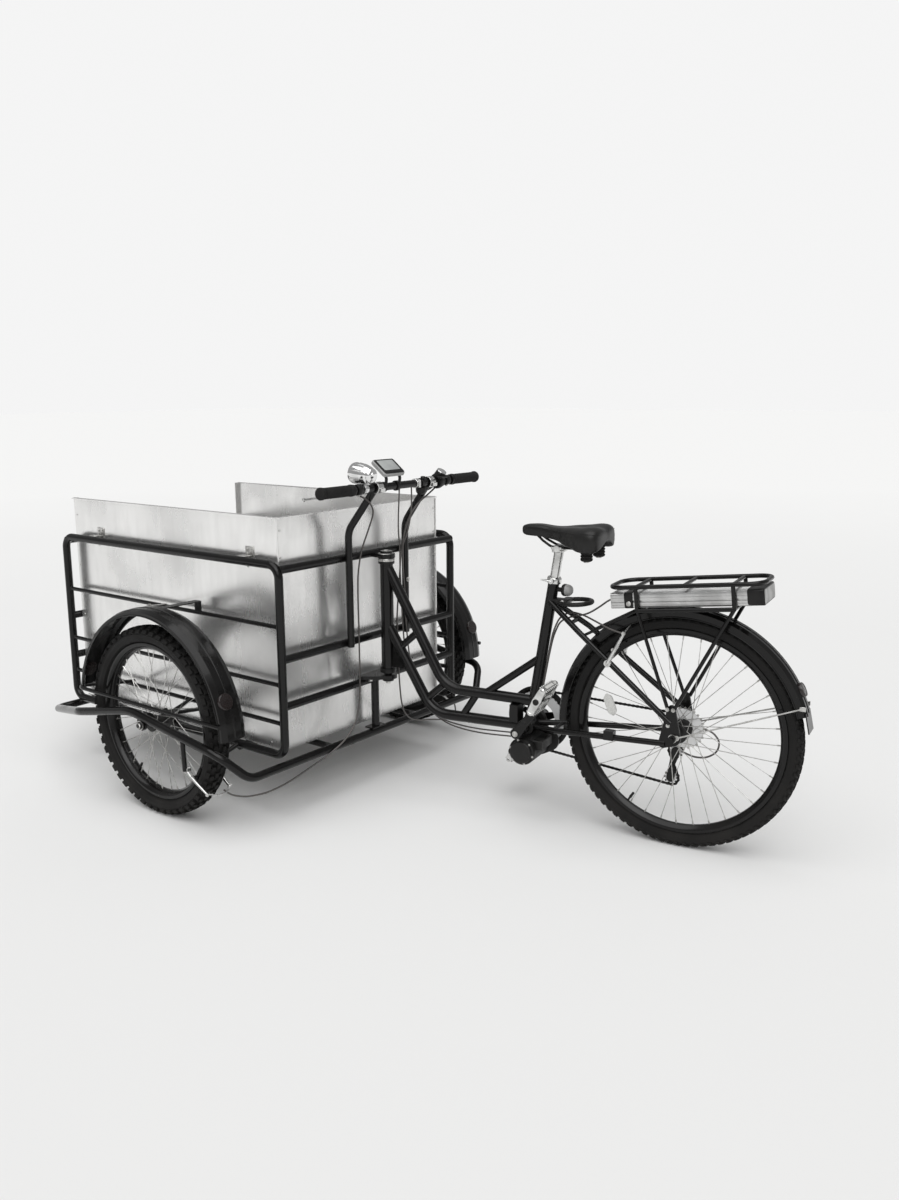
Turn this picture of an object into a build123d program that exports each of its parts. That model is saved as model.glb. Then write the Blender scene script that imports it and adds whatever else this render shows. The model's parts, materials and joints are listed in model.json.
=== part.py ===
"""An electric cargo tricycle: a sheet-aluminium box in a tube cage on two front wheels, which turns
about an upright head tube, and the rear half of a bicycle with a mid motor and a battery rack.

The cargo unit is laid out about the head axis: +X ahead, +Y to the rider's left, +Z up, ground at z=0.
The rear half is laid out straight behind the same axis, then turned about it as the tricycle parks.
Last, everything is shifted so that the origin is under the middle of the whole machine.
"""

import math
import os

from build123d import *

# ---------------------------------------------------------------- driving sizes (mm, degrees)
PARKED_STEER = 9.2  # rear half's turn about the head axis at rest

# cargo box
BOX_REAR_X = 94.0
BOX_LENGTH = 986.0
BOX_WIDTH = 724.0
BOX_BASE_Z = 200.0
BOX_TOP_Z = 890.0
BOX_GATE_TOP_Z = 740.0  # the front panel is lower, for loading
SHEET = 3.0
HEM = 8.0
CORNER_FLANGE = 14.0

# tube cage round the box
CAGE_TUBE_R = 12.5
CAGE_RAIL_R = 6.5
CROSS_TUBE_R = 12.0
CAGE_BEND = 38.0
CAGE_REAR_X = 57.0
CAGE_FRONT_X = 1094.0
CAGE_Y = 394.0
CAGE_TOP_Z = 761.0
CAGE_SIDE_RAILS_Z = (583.0, 412.0, 297.0)
CAGE_CROSS_RAILS_Z = (748.0, 487.0, 348.0)
FLOOR_TUBES = 3
BEARER_R = 11.0
FLOOR_RUNNER_Y = 200.0
FLOOR_RUNNER_R = 10.0

# bumper tube round the wheels
BUMPER_REAR_X = 52.0
BUMPER_CROSS_END_Y = 400.0
BUMPER_FRONT_Y = 477.0
BUMPER_REAR_Y = 535.0
BUMPER_KNEE_GAP = 44.0  # knees of the bumper ahead of and behind the tyre
BUMPER_FRONT_KNEE_Z = 263.0
BUMPER_REAR_KNEE_Z = 255.0
BUMPER_KNEE_BEND = 60.0
BUMPER_BEND = 48.0
BUMPER_TOP_BEND = 190.0
BUMPER_OVER_AXLE = 32.0  # tube's centre above the front axle
BUMPER_PEAK_AHEAD = 55.0  # peak ahead of the axle
BUMPER_SIDE_Y = 618.0

# head pivot
HEAD_TUBE_R = 20.0
HEAD_PIN_R = 12.5
HEAD_LOW_Z = 378.0
HEAD_HIGH_Z = 738.0
HEAD_CUP_R = 24.0
HEAD_CUP_H = 13.0
BRACKET_T = 12.0
BRACKET_LOW_T = 11.0
BRACKET_HALF_WIDTH = 66.0
RUNNING_GAP = 0.05
END_GAP = 0.6

# handlebar
BAR_X = -75.0
BAR_Z = 965.0
BAR_R = 11.0
BAR_HALF = 356.0
RISER_Y = 130.0
RISER_R = 11.0
RISER_FOOT = 9.0  # how far a riser runs on below its rail
RISER_KNEE_Z = 832.0
RISER_BEND = 70.0
GRIP_R = 16.0
GRIP_LENGTH = 128.0
LEVER_CLAMP_R = 15.5
LEVER_REACH = 44.0
LEVER_TIP_Y = 382.0
LEVER_R = 4.5

# front wheels
FRONT_R = 286.0
FRONT_TYRE_W = 68.0
FRONT_RIM_R = 236.0
FRONT_RIM_DEPTH = 22.0
FRONT_RIM_W = 44.0
FRONT_X = 415.0
FRONT_Y = 560.0
FRONT_HUB_R = 20.0
FRONT_FLANGE_R = 29.0
FRONT_HUB_HALF = 38.0
FRONT_AXLE_R = 6.0
CARRIER_PLATE_T = 8.0
CARRIER_ARM_R = 9.0
CARRIER_SPREAD = 80.0

# front mudguards
GUARD_R = 338.0
GUARD_HALF_W = 42.0
GUARD_SKIRT = 16.0
GUARD_T = 2.0
GUARD_FRONT_ANGLE = 10.0
GUARD_REAR_ANGLE = 179.0
GUARD_STAY_R = 6.0
GUARD_STAY_Z = 341.0

# rear wheel
REAR_X = -930.0
REAR_R = 327.0
REAR_TYRE_W = 50.0
REAR_RIM_R = 287.0
REAR_RIM_DEPTH = 21.0
REAR_RIM_W = 30.0
REAR_HUB_R = 16.0
REAR_FLANGE_R = 27.0
REAR_HUB_HALF = 36.0
REAR_AXLE_R = 5.0
SPOKES = 36
SPOKE_R = 1.2

# rear frame
DOWN_TUBE_R = 16.0
SEAT_TUBE_R = 16.0
STAY_R = 8.5
CRANK_X = -486.0
CRANK_Z = 281.0
SHELL_R = 20.0
SHELL_HALF = 33.0
UPPER_BEND_R = 95.0
UPPER_TUBE_TOP_Z = 716.0
UPPER_TUBE_BEND_X = -205.0
UPPER_TUBE_Z = 352.0
LOWER_TUBE_TOP_Z = 533.0
LOWER_TUBE_BEND_X = -160.0
LOWER_TUBE_Z = 267.0
SEAT_TUBE_TOP_X = -554.0
SEAT_TUBE_TOP_Z = 709.0
DROPOUT_Y = 69.0
DROPOUT_T = 6.0
STAY_TOP_Z = 645.0

# drive
CRANK_LENGTH = 171.0
CRANK_Y = 101.0
CRANK_T = 14.0
CRANK_W = 26.0
CRANK_ANGLE = 127.9  # the left arm, from straight ahead, upward
SPINDLE_R = 10.0
PEDAL_PIN_R = 5.0
PEDAL_LENGTH = 96.0
PEDAL_WIDTH = 84.0
PEDAL_T = 26.0
PEDAL_TILT = 62.0
CHAIN_Y = -56.0
CHAIN_W = 6.0
CHAIN_H = 8.0
CHAINRING_R = 89.0
GUARD_DISC_R = 98.0
SPROCKET_R = 30.0
PULLEY_R = 21.0
TOOTH_GAP = 0.6
CASSETTE_STEPS = 7
CASSETTE_PITCH = 4.4
CASSETTE_BIG_R = 60.0
MOTOR_R = 40.0
MOTOR_X = -492.0
MOTOR_Z = 219.0
MOTOR_LEFT_Y = 86.0
MOTOR_COVER_T = 14.0

# saddle
POST_R = 13.6
POST_TOP_Z = 806.0
SADDLE_NOSE_X = -456.0
SADDLE_TAIL_X = -712.0
SADDLE_HALF_W = 90.0
SADDLE_NOSE_HALF_W = 24.0
SADDLE_LOW_Z = 822.0
SADDLE_LOBE_R = 46.0
SADDLE_T = 56.0
SADDLE_ROUND = 16.0
SADDLE_RAIL_R = 3.5
SADDLE_SPRING_R = 17.0

# rack, battery and rear mudguard
RACK_X = -945.0
RACK_Z = 704.0
RACK_TILT = 6.4
RACK_HALF_LENGTH = 204.0
RACK_HALF_W = 69.0
RACK_R = 6.0
RACK_BAR_R = 5.0
RACK_POST_R = 5.5
RACK_STAY_RADII = (4.84, 5.16)  # front and rear stay on each side
RACK_STAY_LEAN = 8.0
RACK_CORNER = 42.0
RACK_STRUT_X = 128.0
RACK_LOOP_RISE = 37.0
BATTERY_LENGTH = 356.0
BATTERY_HALF_W = 62.0
BATTERY_H = 42.0
BATTERY_CAP = 38.0
REAR_GUARD_R = 346.0
REAR_GUARD_HALF_W = 30.0
REAR_GUARD_SKIRT = 24.0
REAR_GUARD_FRONT_ANGLE = -2.0
REAR_GUARD_REAR_ANGLE = 164.0

# cables
LINE_R = 2.5
WIRE_R = 2.2
CROSSING_Z = 752.0  # the wires pass from the bar's half to the rear half at this height
CROSSINGS = ((-34.0, -24.0), (-42.0, -29.0))  # in the rear half, straight
COPE_GAP = 0.02

# worked out from the above
BOX_FRONT_X = BOX_REAR_X + BOX_LENGTH
BOX_Y = BOX_WIDTH / 2
CAGE_BASE_Z = BOX_BASE_Z  # the lower side tubes stand level with the box floor
CROSS_Z = CAGE_BASE_Z - 2 * CAGE_TUBE_R  # bumper's cross tubes, right under the cage
FRONT_AXLE_Z = FRONT_R
REAR_AXLE_Z = REAR_R
HUB_INNER_Y = FRONT_Y - FRONT_HUB_HALF
CARRIER_Y = HUB_INNER_Y - 14.0
OUTER_TAB_Y = BUMPER_SIDE_Y
PEAK_X = FRONT_X + BUMPER_PEAK_AHEAD
PEAK_Z = FRONT_AXLE_Z + BUMPER_OVER_AXLE


# ---------------------------------------------------------------- shared shapes
def tube(points, radius, bend=None):
    """A round bar through the points, its corners rounded to the bend radius."""
    path = FilletPolyline(*points, radius=bend) if bend else Polyline(*points)
    start = Plane(origin=path @ 0, z_dir=path % 0)
    return sweep(start * Circle(radius), path)


def rod(start, end, radius):
    """A straight round bar between two points."""
    a = Vector(*start)
    b = Vector(*end)
    return extrude(Plane(origin=a, z_dir=b - a) * Circle(radius), (b - a).length)


def block(x0, x1, y0, y1, z0, z1):
    """A box between its low and high corners."""
    centre = Pos((x0 + x1) / 2, (y0 + y1) / 2, (z0 + z1) / 2)
    return centre * Box(abs(x1 - x0), abs(y1 - y0), abs(z1 - z0))


def disc(x, z, radius, y0, y1):
    """A round plate across the machine, from y0 to y1."""
    low, high = sorted((y0, y1))
    return extrude(Plane(origin=(x, high, z), z_dir=(0, -1, 0)) * Circle(radius), high - low)


def mirrored(shape):
    """The same piece on the machine's other side."""
    return mirror(shape, about=Plane.XZ)


def fused(pieces):
    """All the pieces as one shape."""
    whole = pieces[0]
    for piece in pieces[1:]:
        whole = whole + piece
    return whole


def linked_plate(spots, y0, y1):
    """A flat plate across the machine that wraps round the spots, each (x, z, radius)."""
    circles = Sketch() + [Pos(x, z) * Circle(r) for x, z, r in spots]
    outline = make_hull(circles.edges())
    low, high = sorted((y0, y1))
    return extrude(Plane(origin=(0, high, 0), x_dir=(1, 0, 0), z_dir=(0, -1, 0)) * outline, high - low)


def parked(shape):
    """A piece of the rear half, turned about the head axis as it parks."""
    return Rot(0, 0, PARKED_STEER) * shape


# ---------------------------------------------------------------- wheels
def wheel(radius_rim, depth, rim_width, hub_r, flange_r, hub_half, axle_r):
    """Rim, spokes and hub about the Y axis, at the origin."""
    half = rim_width / 2
    lip = 7.0
    wall = 3.0
    base = radius_rim - lip
    rim_outline = Polyline(
        (half, radius_rim),
        (half - wall, radius_rim),
        (half - wall - 1.0, base),
        (wall + 1.0 - half, base),
        (wall - half, radius_rim),
        (-half, radius_rim),
        (-half, base),
        (-half / 3, radius_rim - depth),
        (half / 3, radius_rim - depth),
        (half, base),
        close=True,
    )
    on_side = Plane(origin=(0, 0, 0), x_dir=(0, 1, 0), z_dir=(1, 0, 0))
    rim = revolve(on_side * make_face(rim_outline), Axis.Y)
    hub = disc(0, 0, hub_r, -hub_half, hub_half)
    flange_y = hub_half - 9.0
    for side in (-1, 1):
        hub += disc(0, 0, flange_r, side * flange_y - 2, side * flange_y + 2)
    pieces = [rim, hub]
    lean = 42.0
    for number in range(SPOKES):
        side = 1 if number % 2 else -1
        lead = lean if (number // 2) % 2 else -lean
        at_rim = math.radians(number * 360.0 / SPOKES)
        at_hub = at_rim + math.radians(lead)
        foot_r = flange_r - 4.0
        head_r = radius_rim - depth + 4.0
        foot = (foot_r * math.cos(at_hub), side * flange_y, foot_r * math.sin(at_hub))
        head = (head_r * math.cos(at_rim), side * 2.0, head_r * math.sin(at_rim))
        pieces.append(rod(foot, head, SPOKE_R))
    whole = pieces[0].fuse(*pieces[1:])
    return whole - disc(0, 0, axle_r + RUNNING_GAP, -hub_half - 1, hub_half + 1)


def tyre(radius, width, radius_rim, rim_width):
    """The tyre, from its seat in the rim out to the tips of the tread."""
    base = radius_rim - 7.0
    neck = rim_width / 2 - 4.2
    half = width / 2
    height = radius - base
    right = Spline(
        (neck, base + 7.0),
        (half, base + 0.52 * height),
        (0.74 * half, base + 0.9 * height),
        (0, radius),
        tangents=((0.9, 0.45), (-1, 0)),
    )
    left = mirror(right, about=Plane.YZ)
    outline = [
        Line((-neck, base), (neck, base)),
        Line((neck, base), (neck, base + 7.0)),
        right,
        left,
        Line((-neck, base + 7.0), (-neck, base)),
    ]
    on_side = Plane(origin=(0, 0, 0), x_dir=(0, 1, 0), z_dir=(1, 0, 0))
    return revolve(on_side * make_face(Wire.combine(outline)[0].edges()), Axis.Y)


def front_wheel():
    rim = wheel(
        FRONT_RIM_R, FRONT_RIM_DEPTH, FRONT_RIM_W, FRONT_HUB_R, FRONT_FLANGE_R, FRONT_HUB_HALF, FRONT_AXLE_R
    )
    return Pos(FRONT_X, FRONT_Y, FRONT_AXLE_Z) * rim


def front_tyre():
    return Pos(FRONT_X, FRONT_Y, FRONT_AXLE_Z) * tyre(FRONT_R, FRONT_TYRE_W, FRONT_RIM_R, FRONT_RIM_W)


def rear_wheel():
    rim = wheel(
        REAR_RIM_R, REAR_RIM_DEPTH, REAR_RIM_W, REAR_HUB_R, REAR_FLANGE_R, REAR_HUB_HALF, REAR_AXLE_R
    )
    return Pos(REAR_X, 0, REAR_AXLE_Z) * rim


def rear_tyre():
    return Pos(REAR_X, 0, REAR_AXLE_Z) * tyre(REAR_R, REAR_TYRE_W, REAR_RIM_R, REAR_RIM_W)


# ---------------------------------------------------------------- cargo box and cage
def cage_side():
    """The left side of the cage: one bent loop with three thin rails."""
    middle = (CAGE_REAR_X + CAGE_FRONT_X) / 2
    loop = []
    for end in (CAGE_REAR_X, CAGE_FRONT_X):
        route = [
            (middle, CAGE_Y, CAGE_TOP_Z),
            (end, CAGE_Y, CAGE_TOP_Z),
            (end, CAGE_Y, CAGE_BASE_Z),
            (middle, CAGE_Y, CAGE_BASE_Z),
        ]
        loop.append(tube(route, CAGE_TUBE_R, CAGE_BEND))
    for z in CAGE_SIDE_RAILS_Z:
        loop.append(rod((CAGE_REAR_X, CAGE_Y, z), (CAGE_FRONT_X, CAGE_Y, z), CAGE_RAIL_R))
    return fused(loop)


def cross_rails(x, sides):
    """The rails between the two sides of the cage, coped to the legs."""
    rails = []
    for z in CAGE_CROSS_RAILS_Z:
        rails.append(rod((x, -CAGE_Y, z), (x, CAGE_Y, z), CROSS_TUBE_R) - sides)
    return rails


def floor_frame():
    """The tubes under the box: bumper's cross tubes, runners and the bearers the box stands on."""
    pieces = []
    for x in (BUMPER_REAR_X, CAGE_FRONT_X):
        ends = [(x, -BUMPER_CROSS_END_Y, CROSS_Z), (x, BUMPER_CROSS_END_Y, CROSS_Z)]
        pieces.append(rod(*ends, CAGE_TUBE_R))
    for y in (-FLOOR_RUNNER_Y, FLOOR_RUNNER_Y):
        pieces.append(rod((BUMPER_REAR_X, y, CROSS_Z), (CAGE_FRONT_X, y, CROSS_Z), FLOOR_RUNNER_R))
    bearer_z = BOX_BASE_Z - BEARER_R
    for number in range(FLOOR_TUBES):
        x = BOX_REAR_X + BOX_LENGTH * (number + 0.5) / FLOOR_TUBES
        bearer = rod((x, -CAGE_Y, bearer_z), (x, CAGE_Y, bearer_z), BEARER_R)
        for y in (-CAGE_Y, CAGE_Y):
            bearer -= rod((x - 40, y, CAGE_BASE_Z), (x + 40, y, CAGE_BASE_Z), CAGE_TUBE_R + COPE_GAP)
        pieces.append(bearer)
    return fused(pieces)


def bumper_side():
    """The bumper tube on the left: out round the wheel, over its axle end and back in."""
    route = [
        (CAGE_FRONT_X, BUMPER_CROSS_END_Y, CROSS_Z),
        (CAGE_FRONT_X, BUMPER_FRONT_Y, CROSS_Z),
        (FRONT_X + FRONT_R + BUMPER_KNEE_GAP, BUMPER_SIDE_Y - 6, BUMPER_FRONT_KNEE_Z),
        (PEAK_X, BUMPER_SIDE_Y, PEAK_Z),
        (FRONT_X - FRONT_R - BUMPER_KNEE_GAP + 8, BUMPER_SIDE_Y - 8, BUMPER_REAR_KNEE_Z),
        (BUMPER_REAR_X, BUMPER_REAR_Y, CROSS_Z),
        (BUMPER_REAR_X, BUMPER_CROSS_END_Y, CROSS_Z),
    ]
    knee = BUMPER_KNEE_BEND
    return tube(route, CAGE_TUBE_R, [BUMPER_BEND, 2 * knee, BUMPER_TOP_BEND, knee, knee])


def box_side():
    """The left panel, with its top hem turned out and a flange at the front."""
    y = BOX_Y - SHEET
    panel = block(BOX_REAR_X, BOX_FRONT_X, y, BOX_Y, BOX_BASE_Z, BOX_TOP_Z)
    panel += block(BOX_REAR_X, BOX_FRONT_X, BOX_Y, BOX_Y + HEM, BOX_TOP_Z - SHEET, BOX_TOP_Z)
    flange_x = BOX_FRONT_X - SHEET
    panel += block(flange_x, BOX_FRONT_X, y - CORNER_FLANGE, y, BOX_GATE_TOP_Z + HEM, BOX_TOP_Z)
    return panel


def box_rear():
    inner = BOX_Y - SHEET
    panel = block(BOX_REAR_X, BOX_REAR_X + SHEET, -inner, inner, BOX_BASE_Z, BOX_TOP_Z)
    panel += block(BOX_REAR_X - HEM, BOX_REAR_X, -inner, inner, BOX_TOP_Z - SHEET, BOX_TOP_Z)
    return panel


def box_front():
    inner = BOX_Y - SHEET
    x = BOX_FRONT_X - SHEET
    panel = block(x, BOX_FRONT_X, -inner, inner, BOX_BASE_Z, BOX_GATE_TOP_Z)
    panel += block(x - HEM, x, -inner, inner, BOX_GATE_TOP_Z - SHEET, BOX_GATE_TOP_Z)
    return panel


def box_floor():
    inner = BOX_Y - SHEET
    front = BOX_FRONT_X - SHEET
    return block(BOX_REAR_X + SHEET, front, -inner, inner, BOX_BASE_Z, BOX_BASE_Z + SHEET)


def box_clips():
    """Angle clips that hook the box to the cage's top tubes."""
    clips = []
    rest = CAGE_TOP_Z + CAGE_TUBE_R
    for x in (CAGE_REAR_X + 150.0, CAGE_FRONT_X - 159.0):
        clip = block(x - 17, x + 17, BOX_Y, BOX_Y + SHEET, rest - 4, rest + 26)
        clip += block(x - 17, x + 17, BOX_Y, CAGE_Y + 4, rest, rest + SHEET)
        clip += rod((x, BOX_Y + 10, rest - 34), (x, BOX_Y + 10, rest + 9), 3.0)
        clips.append(clip)
        clips.append(mirrored(clip))
    return Compound(children=clips)


def cage_rear(sides):
    """Rear cross rails, the centre post and the two brackets that hold the head pin."""
    low_rail = CAGE_CROSS_RAILS_Z[2]
    pieces = cross_rails(CAGE_REAR_X, sides)
    pieces.append(rod((CAGE_REAR_X, 0, CROSS_Z + CAGE_TUBE_R + 4), (CAGE_REAR_X, 0, low_rail), CAGE_TUBE_R))
    foot_z = CROSS_Z + CAGE_TUBE_R
    pieces.append(block(BUMPER_REAR_X - 12, CAGE_REAR_X + 18, -30, 30, foot_z, foot_z + 5))
    lower_z = low_rail + CROSS_TUBE_R - 1.0
    outline = make_hull(
        (
            Sketch()
            + Pos(0, 0) * Circle(HEAD_CUP_R + 4)
            + Pos(CAGE_REAR_X - 2, BRACKET_HALF_WIDTH) * Circle(9)
            + Pos(CAGE_REAR_X - 2, -BRACKET_HALF_WIDTH) * Circle(9)
        ).edges()
    )
    pieces.append(extrude(Pos(0, 0, lower_z) * outline, BRACKET_LOW_T))
    upper_z = HEAD_HIGH_Z + END_GAP + 0.4
    arm = block(0, CAGE_REAR_X, -17, 17, upper_z, upper_z + BRACKET_T)
    arm += extrude(Pos(0, 0, upper_z) * Circle(HEAD_CUP_R + 3), BRACKET_T)
    pieces.append(arm)
    pin_low = lower_z
    pin_high = upper_z + BRACKET_T + 6
    pieces.append(rod((0, 0, pin_low), (0, 0, pin_high), HEAD_PIN_R))
    pieces.append(rod((0, 0, upper_z + BRACKET_T), (0, 0, upper_z + BRACKET_T + 9), HEAD_PIN_R + 6))
    pieces.append(rod((0, 0, lower_z - 9), (0, 0, lower_z), HEAD_PIN_R + 5))
    return fused(pieces)


def cage_front(sides):
    """Front cross rails, in front of the box's lower panel."""
    return Compound(children=cross_rails(CAGE_FRONT_X, sides))


def axle_carrier(side_frame, bumper):
    """Left wheel's fixed axle, the arms from the cage to its inner end and the tab under the bumper."""
    plate_out = CARRIER_Y + CARRIER_PLATE_T
    low = FRONT_AXLE_Z - 26
    plate = linked_plate([(FRONT_X, FRONT_AXLE_Z, 20), (FRONT_X, low, 26)], CARRIER_Y, plate_out)
    pieces = [plate]
    for side in (-1, 1):
        foot = (FRONT_X + side * CARRIER_SPREAD, CAGE_Y, CAGE_BASE_Z)
        head = (FRONT_X + side * 18, CARRIER_Y + CARRIER_PLATE_T / 2, low)
        pieces.append(rod(foot, head, CARRIER_ARM_R) - side_frame)
        brace = (FRONT_X + side * 60, CAGE_Y, CAGE_SIDE_RAILS_Z[2])
        pieces.append(rod(brace, (FRONT_X + side * 6, CARRIER_Y + 4, FRONT_AXLE_Z + 10), 6.0) - side_frame)
    tab_in = OUTER_TAB_Y - 4
    tab_out = OUTER_TAB_Y + 4
    tab = linked_plate([(FRONT_X, FRONT_AXLE_Z, 17), (FRONT_X + 4, PEAK_Z - 22, 16)], tab_in, tab_out)
    pieces.append(tab - bumper)
    pieces.append(disc(FRONT_X, FRONT_AXLE_Z, FRONT_AXLE_R, CARRIER_Y - 8, tab_out + 14))
    for y0, y1 in ((CARRIER_Y - 7, CARRIER_Y), (tab_out, tab_out + 9)):
        pieces.append(disc(FRONT_X, FRONT_AXLE_Z, FRONT_AXLE_R + 5, y0, y1))
    return fused(pieces)


def arc_band(radius, half_width, skirt, thickness, start_angle, end_angle):
    """A mudguard about the Y axis: a shallow crown with a turned-down skirt on each side."""
    crown = 7.0
    outer = [
        (-half_width, radius - skirt),
        (-half_width, radius - crown),
        (-half_width * 0.6, radius),
        (half_width * 0.6, radius),
        (half_width, radius - crown),
        (half_width, radius - skirt),
    ]
    inset = half_width - thickness
    inner = [
        (inset, radius - skirt),
        (inset, radius - crown - thickness * 0.8),
        (half_width * 0.58, radius - thickness),
        (-half_width * 0.58, radius - thickness),
        (-inset, radius - crown - thickness * 0.8),
        (-inset, radius - skirt),
    ]
    outline = make_face(Polyline(*outer, *inner, close=True))
    side = Plane(origin=(0, 0, 0), x_dir=(0, 1, 0), z_dir=(1, 0, 0))
    band = revolve(side * outline, Axis((0, 0, 0), (0, -1, 0)), end_angle - start_angle)
    return Rot(0, 90 - start_angle, 0) * band


def front_mudguard(side_frame):
    """Left mudguard, with its stay bar round the wheel and a strap to the cage."""
    band = arc_band(
        GUARD_R, GUARD_HALF_W, GUARD_SKIRT, GUARD_T, GUARD_FRONT_ANGLE, GUARD_REAR_ANGLE
    )
    guard = Pos(FRONT_X, FRONT_Y, FRONT_AXLE_Z) * band
    stay_y = FRONT_Y + GUARD_HALF_W + GUARD_STAY_R - 1.0
    ahead = FRONT_X + GUARD_R + 12
    behind = FRONT_X - GUARD_R + 8
    stay = tube(
        [
            (ahead - 4, CAGE_Y, CAGE_SIDE_RAILS_Z[2] + 12),
            (ahead, stay_y, GUARD_STAY_Z),
            (behind, stay_y, GUARD_STAY_Z - 4),
        ],
        GUARD_STAY_R,
        46.0,
    )
    strap_z = FRONT_AXLE_Z + GUARD_R - 4
    strap = block(FRONT_X - 14, FRONT_X + 14, CAGE_Y, FRONT_Y - GUARD_HALF_W + 12, strap_z - 3, strap_z)
    drop = block(FRONT_X - 14, FRONT_X + 14, CAGE_Y - 2, CAGE_Y + 2, CAGE_SIDE_RAILS_Z[0], strap_z)
    return guard + stay + (strap - guard) + drop - side_frame


def front_brake(side_frame, bumper):
    """Left brake: two arms that straddle the tyre behind the axle, hung from lugs on the frame."""
    slope = math.radians(212.0)
    boss_r = FRONT_RIM_R - 34.0
    tip_r = FRONT_R + 16.0
    boss = (FRONT_X + boss_r * math.cos(slope), FRONT_AXLE_Z + boss_r * math.sin(slope))
    tip = (FRONT_X + tip_r * math.cos(slope), FRONT_AXLE_Z + tip_r * math.sin(slope))
    reach = FRONT_TYRE_W / 2 + 10.0
    pieces = []
    for side in (-1, 1):
        y = FRONT_Y + side * reach
        pieces.append(rod((boss[0], y, boss[1]), (tip[0], y, tip[1]), 5.0))
    pieces.append(rod((tip[0], FRONT_Y - reach, tip[1]), (tip[0], FRONT_Y + reach, tip[1]), 4.0))
    inner = FRONT_Y - reach
    pieces.append(rod((boss[0] + 10, CAGE_Y, CAGE_BASE_Z), (boss[0], inner, boss[1]), 7.0) - side_frame)
    outer = FRONT_Y + reach
    knee_x = FRONT_X - FRONT_R - BUMPER_KNEE_GAP + 8
    share = (PEAK_X - boss[0]) / (PEAK_X - knee_x)
    lug_y = BUMPER_SIDE_Y - 8 * share
    lug_z = PEAK_Z + share * (BUMPER_REAR_KNEE_Z - PEAK_Z)
    pieces.append(rod((boss[0], lug_y, lug_z), (boss[0], outer, boss[1]), 7.0) - bumper)
    return fused(pieces)


def handlebar():
    """The bar across the top of two bent risers, which lie against the rear rails."""
    riser_x = CAGE_REAR_X - CROSS_TUBE_R - RISER_R
    pieces = [rod((BAR_X, -BAR_HALF, BAR_Z), (BAR_X, BAR_HALF, BAR_Z), BAR_R)]
    for side in (-1, 1):
        y = side * RISER_Y
        route = [
            (riser_x, y, CAGE_CROSS_RAILS_Z[1] - RISER_FOOT),
            (riser_x, y, RISER_KNEE_Z),
            (BAR_X + 4, y * 0.94, BAR_Z),
        ]
        pieces.append(tube(route, RISER_R, RISER_BEND))
        clamp_y = y * 0.94
        pieces.append(disc(BAR_X, BAR_Z, BAR_R + 5, clamp_y - 15, clamp_y + 15))
    return fused(pieces)


def grips():
    pair = []
    for side in (-1, 1):
        y0, y1 = side * (BAR_HALF - GRIP_LENGTH), side * (BAR_HALF + 3)
        sleeve = disc(BAR_X, BAR_Z, GRIP_R, y0, y1) - disc(BAR_X, BAR_Z, BAR_R, y0, side * BAR_HALF)
        pair.append(sleeve)
    return Compound(children=pair)


def brake_levers():
    """A clamp on each side of the bar and the lever ahead of the grip."""
    pair = []
    for side in (-1, 1):
        y = side * (BAR_HALF - GRIP_LENGTH - 26)
        clamp = disc(BAR_X, BAR_Z, LEVER_CLAMP_R, y - 13, y + 13) - disc(BAR_X, BAR_Z, BAR_R, y - 13, y + 13)
        body = rod((BAR_X + 12, y, BAR_Z - 4), (BAR_X + 34, y, BAR_Z - 10), 9.0)
        lever = tube(
            [
                (BAR_X + 28, y, BAR_Z - 9),
                (BAR_X + LEVER_REACH + 6, y + side * 38, BAR_Z - 14),
                (BAR_X + LEVER_REACH - 4, side * LEVER_TIP_Y, BAR_Z - 16),
            ],
            LEVER_R,
            40.0,
        )
        pair.append(clamp + (body - disc(BAR_X, BAR_Z, BAR_R, y - 13, y + 13)) + lever)
    return Compound(children=pair)


def shifter():
    """Thumb shifter on the right and a bell beside the riser."""
    y = -(BAR_HALF - GRIP_LENGTH - 64)
    ring = disc(BAR_X, BAR_Z, 16.0, y - 9, y + 9) - disc(BAR_X, BAR_Z, BAR_R, y - 9, y + 9)
    pod = rod((BAR_X - 2, y, BAR_Z + 14), (BAR_X - 14, y, BAR_Z + 26), 17.0)
    paddle = block(BAR_X - 34, BAR_X - 14, y - 6, y + 26, BAR_Z + 12, BAR_Z + 18)
    pod = (ring + pod + paddle) - disc(BAR_X, BAR_Z, BAR_R, y - 40, y + 40)
    bell_y = -80.0
    bell = rod((BAR_X, bell_y, BAR_Z - 12), (BAR_X, bell_y, BAR_Z - 30), 15.0)
    strap = disc(BAR_X, BAR_Z, 14.5, bell_y - 7, bell_y + 7)
    bell = (bell + strap) - disc(BAR_X, BAR_Z, BAR_R, bell_y - 40, bell_y + 40)
    return Compound(children=[pod, bell])


def headlight():
    """A domed lamp on a clip, ahead of and above the left side of the bar."""
    y = 176.0
    ring = disc(BAR_X, BAR_Z, 14.5, y - 8, y + 8) - disc(BAR_X, BAR_Z, BAR_R, y - 8, y + 8)
    stem = block(BAR_X - 7, BAR_X + 7, y - 8, y + 8, BAR_Z + 13, BAR_Z + 22)
    outline = Polyline(
        (0, -48), (12, -46), (21, -38), (25, -26), (29, 0), (31, 24), (29, 32), (18, 37), (0, 39), close=True
    )
    side = Plane(origin=(0, 0, 0), x_dir=(1, 0, 0), z_dir=(0, -1, 0))
    shell = revolve(side * make_face(outline), Axis.Z)
    shell = Pos(BAR_X + 6, y, BAR_Z + 42) * Rot(0, 84, 0) * shell
    return ring + stem + shell


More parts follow.
